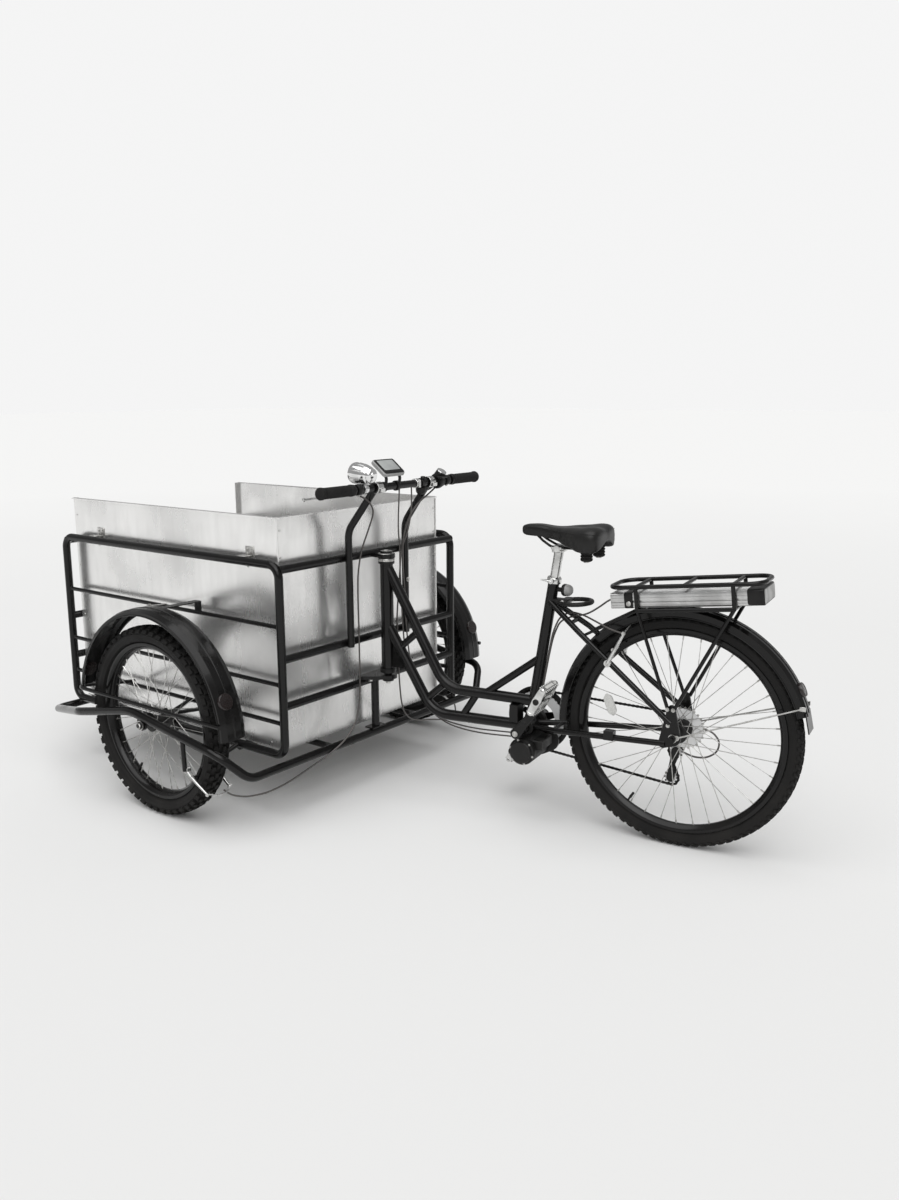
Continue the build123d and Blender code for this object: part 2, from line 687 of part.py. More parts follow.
def display():
    """The tilted readout on its two-armed mount over the middle of the bar."""
    y = 66.0
    tilt = Pos(BAR_X + 4, y, BAR_Z + 54) * Rot(0, -38, 0)
    case = tilt * fillet(Box(66.0, 92.0, 14.0).edges().filter_by(Axis.Z), 9.0)
    pieces = [case]
    for side in (-1, 1):
        at = y + side * 30
        ring = disc(BAR_X, BAR_Z, 15.0, at - 6, at + 6) - disc(BAR_X, BAR_Z, BAR_R, at - 6, at + 6)
        arm = block(BAR_X - 6, BAR_X + 8, at - 5, at + 5, BAR_Z + 13, BAR_Z + 52)
        pieces.append(ring)
        pieces.append(arm)
    return fused(pieces)


# ---------------------------------------------------------------- rear frame
def head_tube():
    """The tube the cargo unit turns on, with a bearing cup at each end."""
    body = rod((0, 0, HEAD_LOW_Z), (0, 0, HEAD_HIGH_Z), HEAD_TUBE_R)
    for z in (HEAD_LOW_Z, HEAD_HIGH_Z - HEAD_CUP_H):
        body += rod((0, 0, z), (0, 0, z + HEAD_CUP_H), HEAD_CUP_R)
    return body - rod((0, 0, HEAD_LOW_Z - 1), (0, 0, HEAD_HIGH_Z + 1), HEAD_PIN_R + RUNNING_GAP)


def seat_axis(z):
    """Where the seat tube's axis is at a height."""
    share = (z - CRANK_Z) / (SEAT_TUBE_TOP_Z - CRANK_Z)
    return (CRANK_X + share * (SEAT_TUBE_TOP_X - CRANK_X), 0, z)


def seat_tube():
    """Seat tube, crank shell and the short brace ahead of them."""
    body = rod(seat_axis(CRANK_Z), seat_axis(SEAT_TUBE_TOP_Z), SEAT_TUBE_R)
    body += disc(CRANK_X, CRANK_Z, SHELL_R, -SHELL_HALF, SHELL_HALF)
    body += rod(seat_axis(486), (-345.0, 0, UPPER_TUBE_Z + 6), 11.0)
    return body - disc(CRANK_X, CRANK_Z, SPINDLE_R + RUNNING_GAP, -60, 60)


def down_tubes(head, seat):
    """The two bent main tubes, the three braces between them and the gusset behind the head tube."""
    upper = tube(
        [(0, 0, UPPER_TUBE_TOP_Z), (UPPER_TUBE_BEND_X, 0, UPPER_TUBE_Z), (CRANK_X - 8, 0, UPPER_TUBE_Z)],
        DOWN_TUBE_R,
        UPPER_BEND_R,
    )
    lower = tube(
        [(0, 0, LOWER_TUBE_TOP_Z), (LOWER_TUBE_BEND_X, 0, LOWER_TUBE_Z), (CRANK_X, 0, LOWER_TUBE_Z + 8)],
        DOWN_TUBE_R,
        UPPER_BEND_R,
    )
    pieces = [upper, lower]
    braces = [((-44, 460), (-104, 512)), ((-134, 306), (-196, 360)), ((-262, 272), (-310, 346))]
    for low, high in braces:
        pieces.append(rod((low[0], 0, low[1]), (high[0], 0, high[1]), 11.0))
    gusset = make_face(Polyline((0, 540), (0, 396), (-58, 396), (-72, 430), close=True))
    on_side = Plane(origin=(0, 3, 0), x_dir=(1, 0, 0), z_dir=(0, -1, 0))
    pieces.append(extrude(on_side * gusset, 6.0))
    solid_head = rod((0, 0, HEAD_LOW_Z - 5), (0, 0, HEAD_HIGH_Z + 5), HEAD_TUBE_R)
    for z in (HEAD_LOW_Z, HEAD_HIGH_Z - HEAD_CUP_H):
        solid_head += rod((0, 0, z), (0, 0, z + HEAD_CUP_H), HEAD_CUP_R)
    shell = disc(CRANK_X, CRANK_Z, SHELL_R, -SHELL_HALF - 5, SHELL_HALF + 5)
    return fused(pieces) - solid_head - seat - shell


def chain_stays(seat):
    """Chain stays, their bridge and the dropouts, with the rear wheel's fixed axle."""
    pieces = []
    for side in (-1, 1):
        route = [
            (CRANK_X - 8, side * 20, CRANK_Z),
            (CRANK_X - 100, side * 41, CRANK_Z + 5),
            (REAR_X + 20, side * DROPOUT_Y, REAR_AXLE_Z - 18),
        ]
        pieces.append(tube(route, STAY_R, 70.0))
        inner = side * (DROPOUT_Y - DROPOUT_T / 2)
        outer = side * (DROPOUT_Y + DROPOUT_T / 2)
        spots = [
            (REAR_X, REAR_AXLE_Z, 21),
            (REAR_X + 26, REAR_AXLE_Z - 17, 13),
            (REAR_X + 6, REAR_AXLE_Z + 80, 11),
        ]
        pieces.append(linked_plate(spots, inner, outer))
        pieces.append(disc(REAR_X, REAR_AXLE_Z, 10.0, outer, outer + side * 10))
    bridge_x = CRANK_X - 88
    pieces.append(rod((bridge_x, -34, CRANK_Z + 4), (bridge_x, 34, CRANK_Z + 4), 6.0))
    pieces.append(disc(REAR_X, REAR_AXLE_Z, REAR_AXLE_R, -DROPOUT_Y - 18, DROPOUT_Y + 18))
    plate = block(REAR_X + 168, REAR_X + 196, 42, 66, REAR_AXLE_Z - 36, REAR_AXLE_Z - 10)
    pieces.append(plate)
    shell = disc(CRANK_X, CRANK_Z, SHELL_R, -SHELL_HALF, SHELL_HALF)
    return fused(pieces) - shell - seat


def seat_stays(seat, lower_stays):
    """Seat stays from the seat tube down to the dropouts, with a bridge over the tyre."""
    pieces = []
    for side in (-1, 1):
        route = [
            (SEAT_TUBE_TOP_X + 8, side * 10, STAY_TOP_Z + 8),
            (SEAT_TUBE_TOP_X - 92, side * 42, STAY_TOP_Z - 62),
            (REAR_X + 8, side * (DROPOUT_Y + 1), REAR_AXLE_Z + 40),
        ]
        pieces.append(tube(route, STAY_R - 0.5, 60.0))
    bridge = (SEAT_TUBE_TOP_X - 62, STAY_TOP_Z - 44)
    pieces.append(rod((bridge[0], -34, bridge[1]), (bridge[0], 34, bridge[1]), 6.0))
    return fused(pieces) - seat - lower_stays


def rear_brake():
    """Rim brake arms on the seat stays."""
    pair = []
    top = (SEAT_TUBE_TOP_X - 92, 42.0, STAY_TOP_Z - 62)
    low = (REAR_X + 8, DROPOUT_Y + 1, REAR_AXLE_Z + 40)
    share = 0.35
    foot = [a + share * (b - a) for a, b in zip(top, low)]
    for side in (-1, 1):
        y = side * (foot[1] + STAY_R - 1)
        boss = disc(foot[0] + 2, foot[2] + 2, 9.0, y, y + side * 9)
        arm = rod((foot[0] + 2, y + side * 5, foot[2] + 2), (foot[0] - 42, y + side * 3, foot[2] + 92), 6.0)
        pair.append(boss + arm)
    return pair


def motor(seat, lower_tubes):
    """Mid motor: the can under the crank shell and the gear cover that carries it from the shell."""
    inner = -SHELL_HALF
    can = disc(MOTOR_X, MOTOR_Z, MOTOR_R, inner, MOTOR_LEFT_Y - 8)
    can += disc(MOTOR_X, MOTOR_Z, MOTOR_R - 8, MOTOR_LEFT_Y - 8, MOTOR_LEFT_Y)
    cover = linked_plate(
        [(CRANK_X, CRANK_Z, 36), (MOTOR_X, MOTOR_Z, MOTOR_R + 4), (MOTOR_X - 34, MOTOR_Z + 6, 34)],
        inner,
        inner - MOTOR_COVER_T,
    )
    lug = block(CRANK_X - 62, CRANK_X - 30, -20, 60, MOTOR_Z + 4, MOTOR_Z + 34)
    bore = disc(CRANK_X, CRANK_Z, SPINDLE_R + RUNNING_GAP, -70, 70)
    return can + cover + lug - bore - seat - lower_tubes


def controller(tubes):
    """The controller box between the two main tubes, ahead of the crank."""
    low = LOWER_TUBE_Z + DOWN_TUBE_R + 1
    high = UPPER_TUBE_Z - DOWN_TUBE_R
    return block(CRANK_X + 58, CRANK_X + 2 * SHELL_R - 8, -21, 21, low, high) - tubes


def crankset():
    """Spindle, both arms, chainring and the disc that guards it."""
    pieces = [disc(CRANK_X, CRANK_Z, SPINDLE_R, -CRANK_Y, CRANK_Y)]
    angle = math.radians(CRANK_ANGLE)
    for side in (-1, 1):
        pin_x = CRANK_X + side * CRANK_LENGTH * math.cos(angle)
        pin_z = CRANK_Z + side * CRANK_LENGTH * math.sin(angle)
        spots = [(CRANK_X, CRANK_Z, CRANK_W / 2 + 3), (pin_x, pin_z, CRANK_W / 2 - 2)]
        y = side * CRANK_Y
        arm = linked_plate(spots, y - CRANK_T / 2, y + CRANK_T / 2)
        pieces.append(arm)
        pieces.append(disc(pin_x, pin_z, PEDAL_PIN_R, y, y + side * (PEDAL_LENGTH + 10)))
    ring_r = CHAINRING_R - CHAIN_H / 2 - TOOTH_GAP
    pieces.append(disc(CRANK_X, CRANK_Z, ring_r, CHAIN_Y - 1.5, CHAIN_Y + 1.5))
    guard_y = CHAIN_Y - CHAIN_W / 2 - 2
    pieces.append(disc(CRANK_X, CRANK_Z, GUARD_DISC_R, guard_y - 2.5, guard_y))
    pieces.append(disc(CRANK_X, CRANK_Z, 34.0, guard_y - 14, CHAIN_Y))
    return fused(pieces)


def pedal(side):
    """A cage pedal round its pin: centre barrel and an open frame."""
    angle = math.radians(CRANK_ANGLE)
    pin_x = CRANK_X + side * CRANK_LENGTH * math.cos(angle)
    pin_z = CRANK_Z + side * CRANK_LENGTH * math.sin(angle)
    barrel = Rot(90, 0, 0) * Cylinder(11.0, PEDAL_LENGTH)
    frame = Box(PEDAL_WIDTH, PEDAL_LENGTH, PEDAL_T)
    frame = fillet(frame.edges().filter_by(Axis.Z), 14.0)
    frame -= Box(PEDAL_WIDTH - 16, PEDAL_LENGTH - 18, PEDAL_T + 2)
    web = Box(PEDAL_WIDTH - 10, 12, PEDAL_T - 10)
    bore = Rot(90, 0, 0) * Cylinder(PEDAL_PIN_R + RUNNING_GAP, PEDAL_LENGTH + 20)
    body = frame + barrel + web - bore
    y = side * (CRANK_Y + CRANK_T / 2 + 2 + PEDAL_LENGTH / 2)
    return Pos(pin_x, y, pin_z) * Rot(0, PEDAL_TILT, 0) * body


def cassette():
    """The sprockets on the right of the rear hub, with the clear disc behind them."""
    smallest = SPROCKET_R - CHAIN_H / 2 - TOOTH_GAP
    pieces = [disc(REAR_X, REAR_AXLE_Z, 17.0, CHAIN_Y - 3, 7 - REAR_HUB_HALF)]
    for step in range(CASSETTE_STEPS):
        share = step / (CASSETTE_STEPS - 1)
        radius = smallest + share * (CASSETTE_BIG_R - smallest)
        y = CHAIN_Y + step * CASSETTE_PITCH
        pieces.append(disc(REAR_X, REAR_AXLE_Z, radius, y - 1.1, y + 1.1))
    hub = disc(REAR_X, REAR_AXLE_Z, REAR_HUB_R, -REAR_HUB_HALF, REAR_HUB_HALF)
    flange_y = -(REAR_HUB_HALF - 9.0)
    hub += disc(REAR_X, REAR_AXLE_Z, REAR_FLANGE_R, flange_y - 2, flange_y + 2)
    bore = disc(REAR_X, REAR_AXLE_Z, REAR_AXLE_R + RUNNING_GAP, -80, 0)
    return fused(pieces) - hub - bore


def chain_stations():
    """The wheels the chain runs round, each (x, z, radius, turn), turn 1 for outside, -1 for inside."""
    return [
        (CRANK_X, CRANK_Z, CHAINRING_R, 1),
        (REAR_X, REAR_AXLE_Z, SPROCKET_R, 1),
        (REAR_X + 24, REAR_AXLE_Z - 78, PULLEY_R, -1),
        (REAR_X + 36, REAR_AXLE_Z - 158, PULLEY_R, 1),
    ]


def tangent(a, b):
    """Ends of the straight run from station a to station b."""
    dx = b[0] - a[0]
    dz = b[1] - a[1]
    length = math.hypot(dx, dz)
    heading = math.atan2(dz, dx)
    offset = a[2] * a[3] - b[2] * b[3]
    tilt = math.acos(offset / length)
    angle = heading - tilt
    out = []
    for station in (a, b):
        reach = station[2] * station[3]
        out.append((station[0] + reach * math.cos(angle), station[1] + reach * math.sin(angle)))
    return out


def chain():
    """The chain as one closed band round its wheels."""
    stations = chain_stations()
    count = len(stations)
    runs = [tangent(stations[i], stations[(i + 1) % count]) for i in range(count)]
    side = Plane(origin=(0, CHAIN_Y, 0), x_dir=(1, 0, 0), z_dir=(0, -1, 0))
    pieces = []
    for i, run in enumerate(runs):
        (x0, z0), (x1, z1) = run
        length = math.hypot(x1 - x0, z1 - z0)
        angle = math.degrees(math.atan2(z1 - z0, x1 - x0))
        middle = side * Pos((x0 + x1) / 2, (z0 + z1) / 2) * Rot(0, 0, angle)
        pieces.append(extrude(middle * Rectangle(length + 0.4, CHAIN_H), CHAIN_W / 2, both=True))
        x, z, radius, turn = stations[(i + 1) % count]
        following = runs[(i + 1) % count][0]
        start = math.atan2(z1 - z, x1 - x)
        end = math.atan2(following[1] - z, following[0] - x)
        sweep_angle = (end - start) % (2 * math.pi) if turn > 0 else -((start - end) % (2 * math.pi))
        reach = radius + CHAIN_H
        ring = Circle(radius + CHAIN_H / 2) - Circle(radius - CHAIN_H / 2)
        fan = [(0, 0)]
        for k in range(9):
            a = start + sweep_angle * k / 8
            fan.append((2 * reach * math.cos(a), 2 * reach * math.sin(a)))
        sector = make_face(Polyline(*fan, close=True))
        arc = Pos(x, z) * (ring & sector)
        pieces.append(extrude(side * arc, CHAIN_W / 2, both=True))
    return fused(pieces)


def derailleur(stays):
    """The changer under the right dropout: link, cage plates and its two jockey wheels."""
    stations = chain_stations()
    upper = stations[2]
    lower = stations[3]
    pieces = []
    for y0, y1 in ((CHAIN_Y - 5.5, CHAIN_Y - 3.5), (CHAIN_Y + 3.5, CHAIN_Y + 5.5)):
        pieces.append(linked_plate([(upper[0], upper[1], 13), (lower[0], lower[1], 13)], y0, y1))
    wheel_r = PULLEY_R - CHAIN_H / 2 - TOOTH_GAP
    for station in (upper, lower):
        pieces.append(disc(station[0], station[1], wheel_r, CHAIN_Y - 3.5, CHAIN_Y + 3.5))
    hanger = linked_plate(
        [(REAR_X + 2, REAR_AXLE_Z - 30, 10), (upper[0] - 4, upper[1], 12)], CHAIN_Y - 5.5, CHAIN_Y - 16
    )
    pieces.append(hanger)
    return fused(pieces) - stays


def on_rack(shape):
    """A piece laid out level about the battery's centre, put at the rack's tilt."""
    return Pos(RACK_X, 0, RACK_Z) * Rot(0, RACK_TILT, 0) * shape


def rack(stays, upper_stays):
    """The carrier: top loop, cross bars, side struts to the dropouts and rods to the seat stays."""
    loop_z = RACK_LOOP_RISE
    deck_z = -BATTERY_H / 2 - RACK_R
    pieces = []
    for end in (-1, 1):
        route = [
            (0, -RACK_HALF_W, loop_z),
            (end * RACK_HALF_LENGTH, -RACK_HALF_W, loop_z),
            (end * RACK_HALF_LENGTH, RACK_HALF_W, loop_z),
            (0, RACK_HALF_W, loop_z),
        ]
        pieces.append(on_rack(tube(route, RACK_R, RACK_CORNER)))
    for x in (-RACK_STRUT_X, 0, RACK_STRUT_X):
        pieces.append(on_rack(rod((x, -RACK_HALF_W, loop_z), (x, RACK_HALF_W, loop_z), RACK_BAR_R)))
    for x in (-RACK_STRUT_X, RACK_STRUT_X):
        pieces.append(on_rack(rod((x, -RACK_HALF_W, deck_z), (x, RACK_HALF_W, deck_z), RACK_BAR_R)))
    for side in (-1, 1):
        y = side * RACK_HALF_W
        pieces.append(on_rack(rod((-RACK_STRUT_X, y, deck_z), (RACK_STRUT_X, y, deck_z), RACK_R)))
        for x in (-RACK_STRUT_X, RACK_STRUT_X):
            pieces.append(on_rack(rod((x, y, loop_z), (x, y, deck_z), RACK_POST_R)))
            top = on_rack(Pos(x, y, deck_z) * Box(1, 1, 1)).center()
            radius = RACK_STAY_RADII[0 if x > 0 else 1]
            lean = math.copysign(RACK_STAY_LEAN, x)
            foot = (REAR_X + 6 + lean, side * (DROPOUT_Y + DROPOUT_T / 2 + RACK_R), REAR_AXLE_Z + 80)
            pieces.append(rod((top.X, top.Y, top.Z), foot, radius))
        front = on_rack(Pos(RACK_STRUT_X, side * 52, deck_z) * Box(1, 1, 1)).center()
        stay_at = (SEAT_TUBE_TOP_X - 106, side * 43, STAY_TOP_Z - 72)
        pieces.append(rod((front.X, front.Y, front.Z), stay_at, 4.0))
    return fused(pieces) - stays - upper_stays


def battery():
    """The battery: a ribbed extrusion in the rack with a dark cap at each end."""
    half = BATTERY_LENGTH / 2
    body = Box(BATTERY_LENGTH, 2 * BATTERY_HALF_W, BATTERY_H)
    body = fillet(body.edges().filter_by(Axis.X), 7.0)
    cap = Pos(-half - BATTERY_CAP / 2, 0, 2) * Box(BATTERY_CAP, 2 * BATTERY_HALF_W + 4, BATTERY_H + 2)
    cap = fillet(cap.edges().filter_by(Axis.Z), 10.0)
    nose = Pos(half + 7, 0, 0) * Box(14.0, 2 * BATTERY_HALF_W - 6, BATTERY_H - 4)
    return on_rack(Pos(12, 0, 0) * (body + cap + nose))


def rear_mudguard(stays, upper_stays, rack_shape):
    """Rear mudguard with its flap and the thin stays from the axle."""
    band = arc_band(
        REAR_GUARD_R,
        REAR_GUARD_HALF_W,
        REAR_GUARD_SKIRT,
        GUARD_T,
        REAR_GUARD_FRONT_ANGLE,
        REAR_GUARD_REAR_ANGLE,
    )
    guard = Pos(REAR_X, 0, REAR_AXLE_Z) * band
    end = math.radians(REAR_GUARD_REAR_ANGLE)
    reach = REAR_GUARD_R
    edge = (REAR_X + reach * math.cos(end), REAR_AXLE_Z + reach * math.sin(end))
    flap = Pos(edge[0], 0, edge[1] - 18) * Rot(0, 12, 0) * Box(3.0, 2 * REAR_GUARD_HALF_W, 54.0)
    return guard + (flap - guard) - stays - upper_stays - rack_shape


def rear_reflector(guard):
    """Round reflector on the mudguard's tail."""
    angle = math.radians(153.0)
    reach = REAR_GUARD_R - 0.3
    x = REAR_X + reach * math.cos(angle)
    z = REAR_AXLE_Z + reach * math.sin(angle)
    outward = Plane(origin=(x, 0, z), z_dir=(math.cos(angle), 0, math.sin(angle)))
    return extrude(outward * Circle(19.0), 11.0) - guard


def mudguard_stays(guard, lower_stays, rack_shape):
    """Bright wire stays from the axle ends to the mudguard's tail."""
    angle = math.radians(160.0)
    reach = REAR_GUARD_R - 8
    x = REAR_X + reach * math.cos(angle)
    z = REAR_AXLE_Z + reach * math.sin(angle)
    pieces = []
    for side in (-1, 1):
        start = (REAR_X - 12, side * (DROPOUT_Y + DROPOUT_T / 2 + 3), REAR_AXLE_Z + 4)
        pieces.append(rod(start, (x, side * (REAR_GUARD_HALF_W + 2.0), z), 2.2) - guard - lower_stays)
    return [piece - rack_shape for piece in pieces]


def seatpost(seat):
    """Seat post, its quick-release collar and the saddle clamp."""
    low = seat_axis(SEAT_TUBE_TOP_Z)
    high = seat_axis(POST_TOP_Z)
    post = rod(low, high, POST_R)
    collar = rod(low, seat_axis(SEAT_TUBE_TOP_Z + 16), SEAT_TUBE_R + 4)
    lever = rod((low[0] - 8, 20, low[2] + 8), (low[0] + 26, 34, low[2] + 10), 4.0)
    screw = rod((low[0] - 2, -27, low[2] + 8), (low[0] - 2, 27, low[2] + 8), 4.0)
    clamp = Pos(high[0], 0, high[2]) * Box(34.0, 52.0, 22.0)
    return post + collar + lever + screw + clamp - seat


def saddle():
    """The padded saddle: narrow nose, wide tail, rounded top edge."""
    nose_x = SADDLE_NOSE_X - SADDLE_NOSE_HALF_W
    tail_x = SADDLE_TAIL_X + SADDLE_LOBE_R
    lobe_y = SADDLE_HALF_W - SADDLE_LOBE_R
    circles = Sketch() + Pos(nose_x, 0) * Circle(SADDLE_NOSE_HALF_W)
    for y in (-lobe_y, lobe_y):
        circles += Pos(tail_x, y) * Circle(SADDLE_LOBE_R)
    body = extrude(Pos(0, 0, SADDLE_LOW_Z) * make_hull(circles.edges()), SADDLE_T)
    return fillet(body.faces().sort_by(Axis.Z)[-1].edges(), SADDLE_ROUND)


def saddle_rails():
    """Two rails under the saddle and the two rubber springs at its tail."""
    rail_z = POST_TOP_Z + 11
    tail_x = SADDLE_TAIL_X + 44
    nose_x = SADDLE_NOSE_X - 46
    pieces = []
    for side in (-1, 1):
        y = side * 21
        pieces.append(rod((nose_x, side * 12, SADDLE_LOW_Z - 4), (tail_x, side * 44, rail_z), SADDLE_RAIL_R))
        spring = rod((tail_x, side * 48, rail_z - 26), (tail_x, side * 48, SADDLE_LOW_Z), SADDLE_SPRING_R)
        pieces.append(spring)
        pieces.append(rod((tail_x - 4, y, rail_z), (tail_x - 4, side * 48, rail_z), SADDLE_RAIL_R))
    pieces.append(rod((tail_x - 4, -21, rail_z), (tail_x - 4, 21, rail_z), SADDLE_RAIL_R))
    pieces.append(rod((nose_x, -12, SADDLE_LOW_Z - 4), (nose_x, 12, SADDLE_LOW_Z - 4), SADDLE_RAIL_R))
    return fused(pieces)


def tail_lamp(seat):
    """Round lamp behind the seat tube."""
    at = seat_axis(684)
    body = rod((at[0] - 10, 0, 688), (at[0] - 40, 0, 688), 7.0)
    body += rod((at[0] - 32, 0, 688), (at[0] - 62, 0, 686), 16.0)
    return body - seat


def ring_lock(seat):
    """The black loop of the frame lock behind the seat tube."""
    at = seat_axis(658)
    ring = Pos(at[0] - 76, 0, 657) * Rot(0, 3, 0) * Torus(44.0, 6.5)
    return ring + block(at[0] - 42, at[0] - 8, -12, 12, 647, 664) - seat


# ---------------------------------------------------------------- cables
def cable(label, route, radius):
    """A cable along its route, each corner an arc as large as its two runs allow."""
    points = [Vector(*point) for point in route]
    radii = []
    for before, corner, after in zip(points, points[1:], points[2:]):
        into = corner - before
        out = after - corner
        half_turn = math.radians(into.get_angle(out)) / 2
        radii.append(0.45 * min(into.length, out.length) / math.tan(half_turn))
    print(label, "radii", [round(value) for value in radii])
    path = FilletPolyline(*points, radius=radii)
    start = Plane(origin=path @ 0, z_dir=path % 0)
    return sweep(start * Circle(radius), path)


def in_cargo_half(x, y, z):
    """A point of the straight rear half, as the parked one has it."""
    turn = math.radians(PARKED_STEER)
    return (x * math.cos(turn) - y * math.sin(turn), x * math.sin(turn) + y * math.cos(turn), z)


def bar_cables():
    """Brake lines from both levers to the front brakes, and the wires from the bar to the rear half."""
    left_line = [
        (-48, 210.5, 955),
        (-56, 176, 946),
        (-60, 140, 927),
        (-48, 105, 893),
        (-16, 95, 838),
        (13, 98, 772),
        (26, 101, 702),
        (30, 99, 630),
        (31, 97, 560),
        (30, 98, 488),
        (31, 97, 420),
        (30, 99, 352),
        (26, 107, 292),
        (22, 132, 238),
        (27, 178, 192),
        (42, 240, 160),
        (56, 310, 135),
        (68, 378, 112),
        (86, 445, 98),
        (112, 500, 97),
        (138, 532, 107),
        (156, 545, 123),
    ]
    right_line = [
        (-48, -210.5, 955),
        (-56, -176, 944),
        (-58, -138, 926),
        (-48, -98, 901),
        (-34, -71, 862),
        (-20, -63, 810),
        (-8, -61, 750),
        (-3, -59, 682),
        (1, -55, 612),
        (4, -50, 542),
        (3, -51, 472),
        (1, -50, 404),
        (0, -53, 338),
        (3, -62, 276),
        (14, -88, 222),
        (30, -138, 182),
        (46, -206, 156),
        (58, -278, 138),
        (66, -346, 118),
        (78, -414, 102),
        (100, -474, 96),
        (130, -518, 104),
        (156, -540, 123),
    ]
    starts = [
        [(BAR_X, 22, 954.2), (-70, 20, 905), (-57, 8, 856), (-42, -10, 811)],
        [(BAR_X, -34, 954.2), (-73, -37, 905), (-64, -39, 852), (-50, -38, 806)],
    ]
    pieces = [cable("left brake line", left_line, LINE_R), cable("right brake line", right_line, LINE_R)]
    for number, start in enumerate(starts):
        end = [in_cargo_half(*CROSSINGS[number], z) for z in (CROSSING_Z + 28, CROSSING_Z)]
        pieces.append(cable(f"bar wire {number}", start + end, WIRE_R))
    return pieces


def frame_cables():
    """Wires on from the head tube to the motor, the rear brake and battery lines and the changer's loop."""
    first, second = CROSSINGS
    motor_wire = [
        (*first, CROSSING_Z - END_GAP),
        (*first, 698),
        (-36, -26, 632),
        (-38, -25, 564),
        (-42, -26, 494),
        (-49, -27, 427),
        (-64, -28, 365),
        (-91, -28, 308),
        (-131, -26, 264),
        (-184, -22, 241),
        (-244, -19, 234),
        (-306, -18, 232),
        (-366, -18, 235),
        (-418, -19, 238),
        (-456.4, -18, 239),
    ]
    sensor_wire = [
        (*second, CROSSING_Z - END_GAP),
        (*second, 698),
        (-45, -33, 630),
        (-46, -32, 560),
        (-51, -33, 490),
        (-58, -34, 422),
        (-74, -35, 358),
        (-102, -34, 299),
        (-144, -32, 251),
        (-196, -27, 229),
        (-254, -23, 221),
        (-314, -22, 219),
        (-370, -23, 221),
        (-416, -24, 224),
        (-452.0, -23, 223),
    ]
    brake_line = [
        (-519.6, 0, 372),
        (-530.6, 1, 438),
        (-541.8, 0, 506),
        (-554, 1, 566),
        (-575, 4, 611),
        (-612, 12, 631),
        (-656, 30, 629),
        (-702, 48, 617),
        (-742, 59, 604),
        (-776.6, 62.4, 597),
    ]
    battery_lead = [
        (-741.2, -20, 680),
        (-712, -19, 668),
        (-684, -17, 645),
        (-650, -12, 622),
        (-608, -9, 613),
        (-572, -8, 597),
        (-552, -8.5, 553),
        (-540, -8, 498),
        (-529.2, -8.5, 438),
        (-519.4, -8, 384),
    ]
    changer_loop = [
        (-930, -74.7, 306),
        (-966, -76, 318),
        (-1000, -77, 312),
        (-1021, -77, 287),
        (-1015, -76, 256),
        (-988, -74, 236),
        (-954, -70, 233),
        (-922.6, -67, 244),
    ]
    routes = {
        "motor wire": (motor_wire, WIRE_R),
        "sensor wire": (sensor_wire, WIRE_R),
        "rear brake line": (brake_line, LINE_R),
        "battery lead": (battery_lead, LINE_R),
        "changer loop": (changer_loop, LINE_R),
    }
    return [cable(label, *route) for label, route in routes.items()]


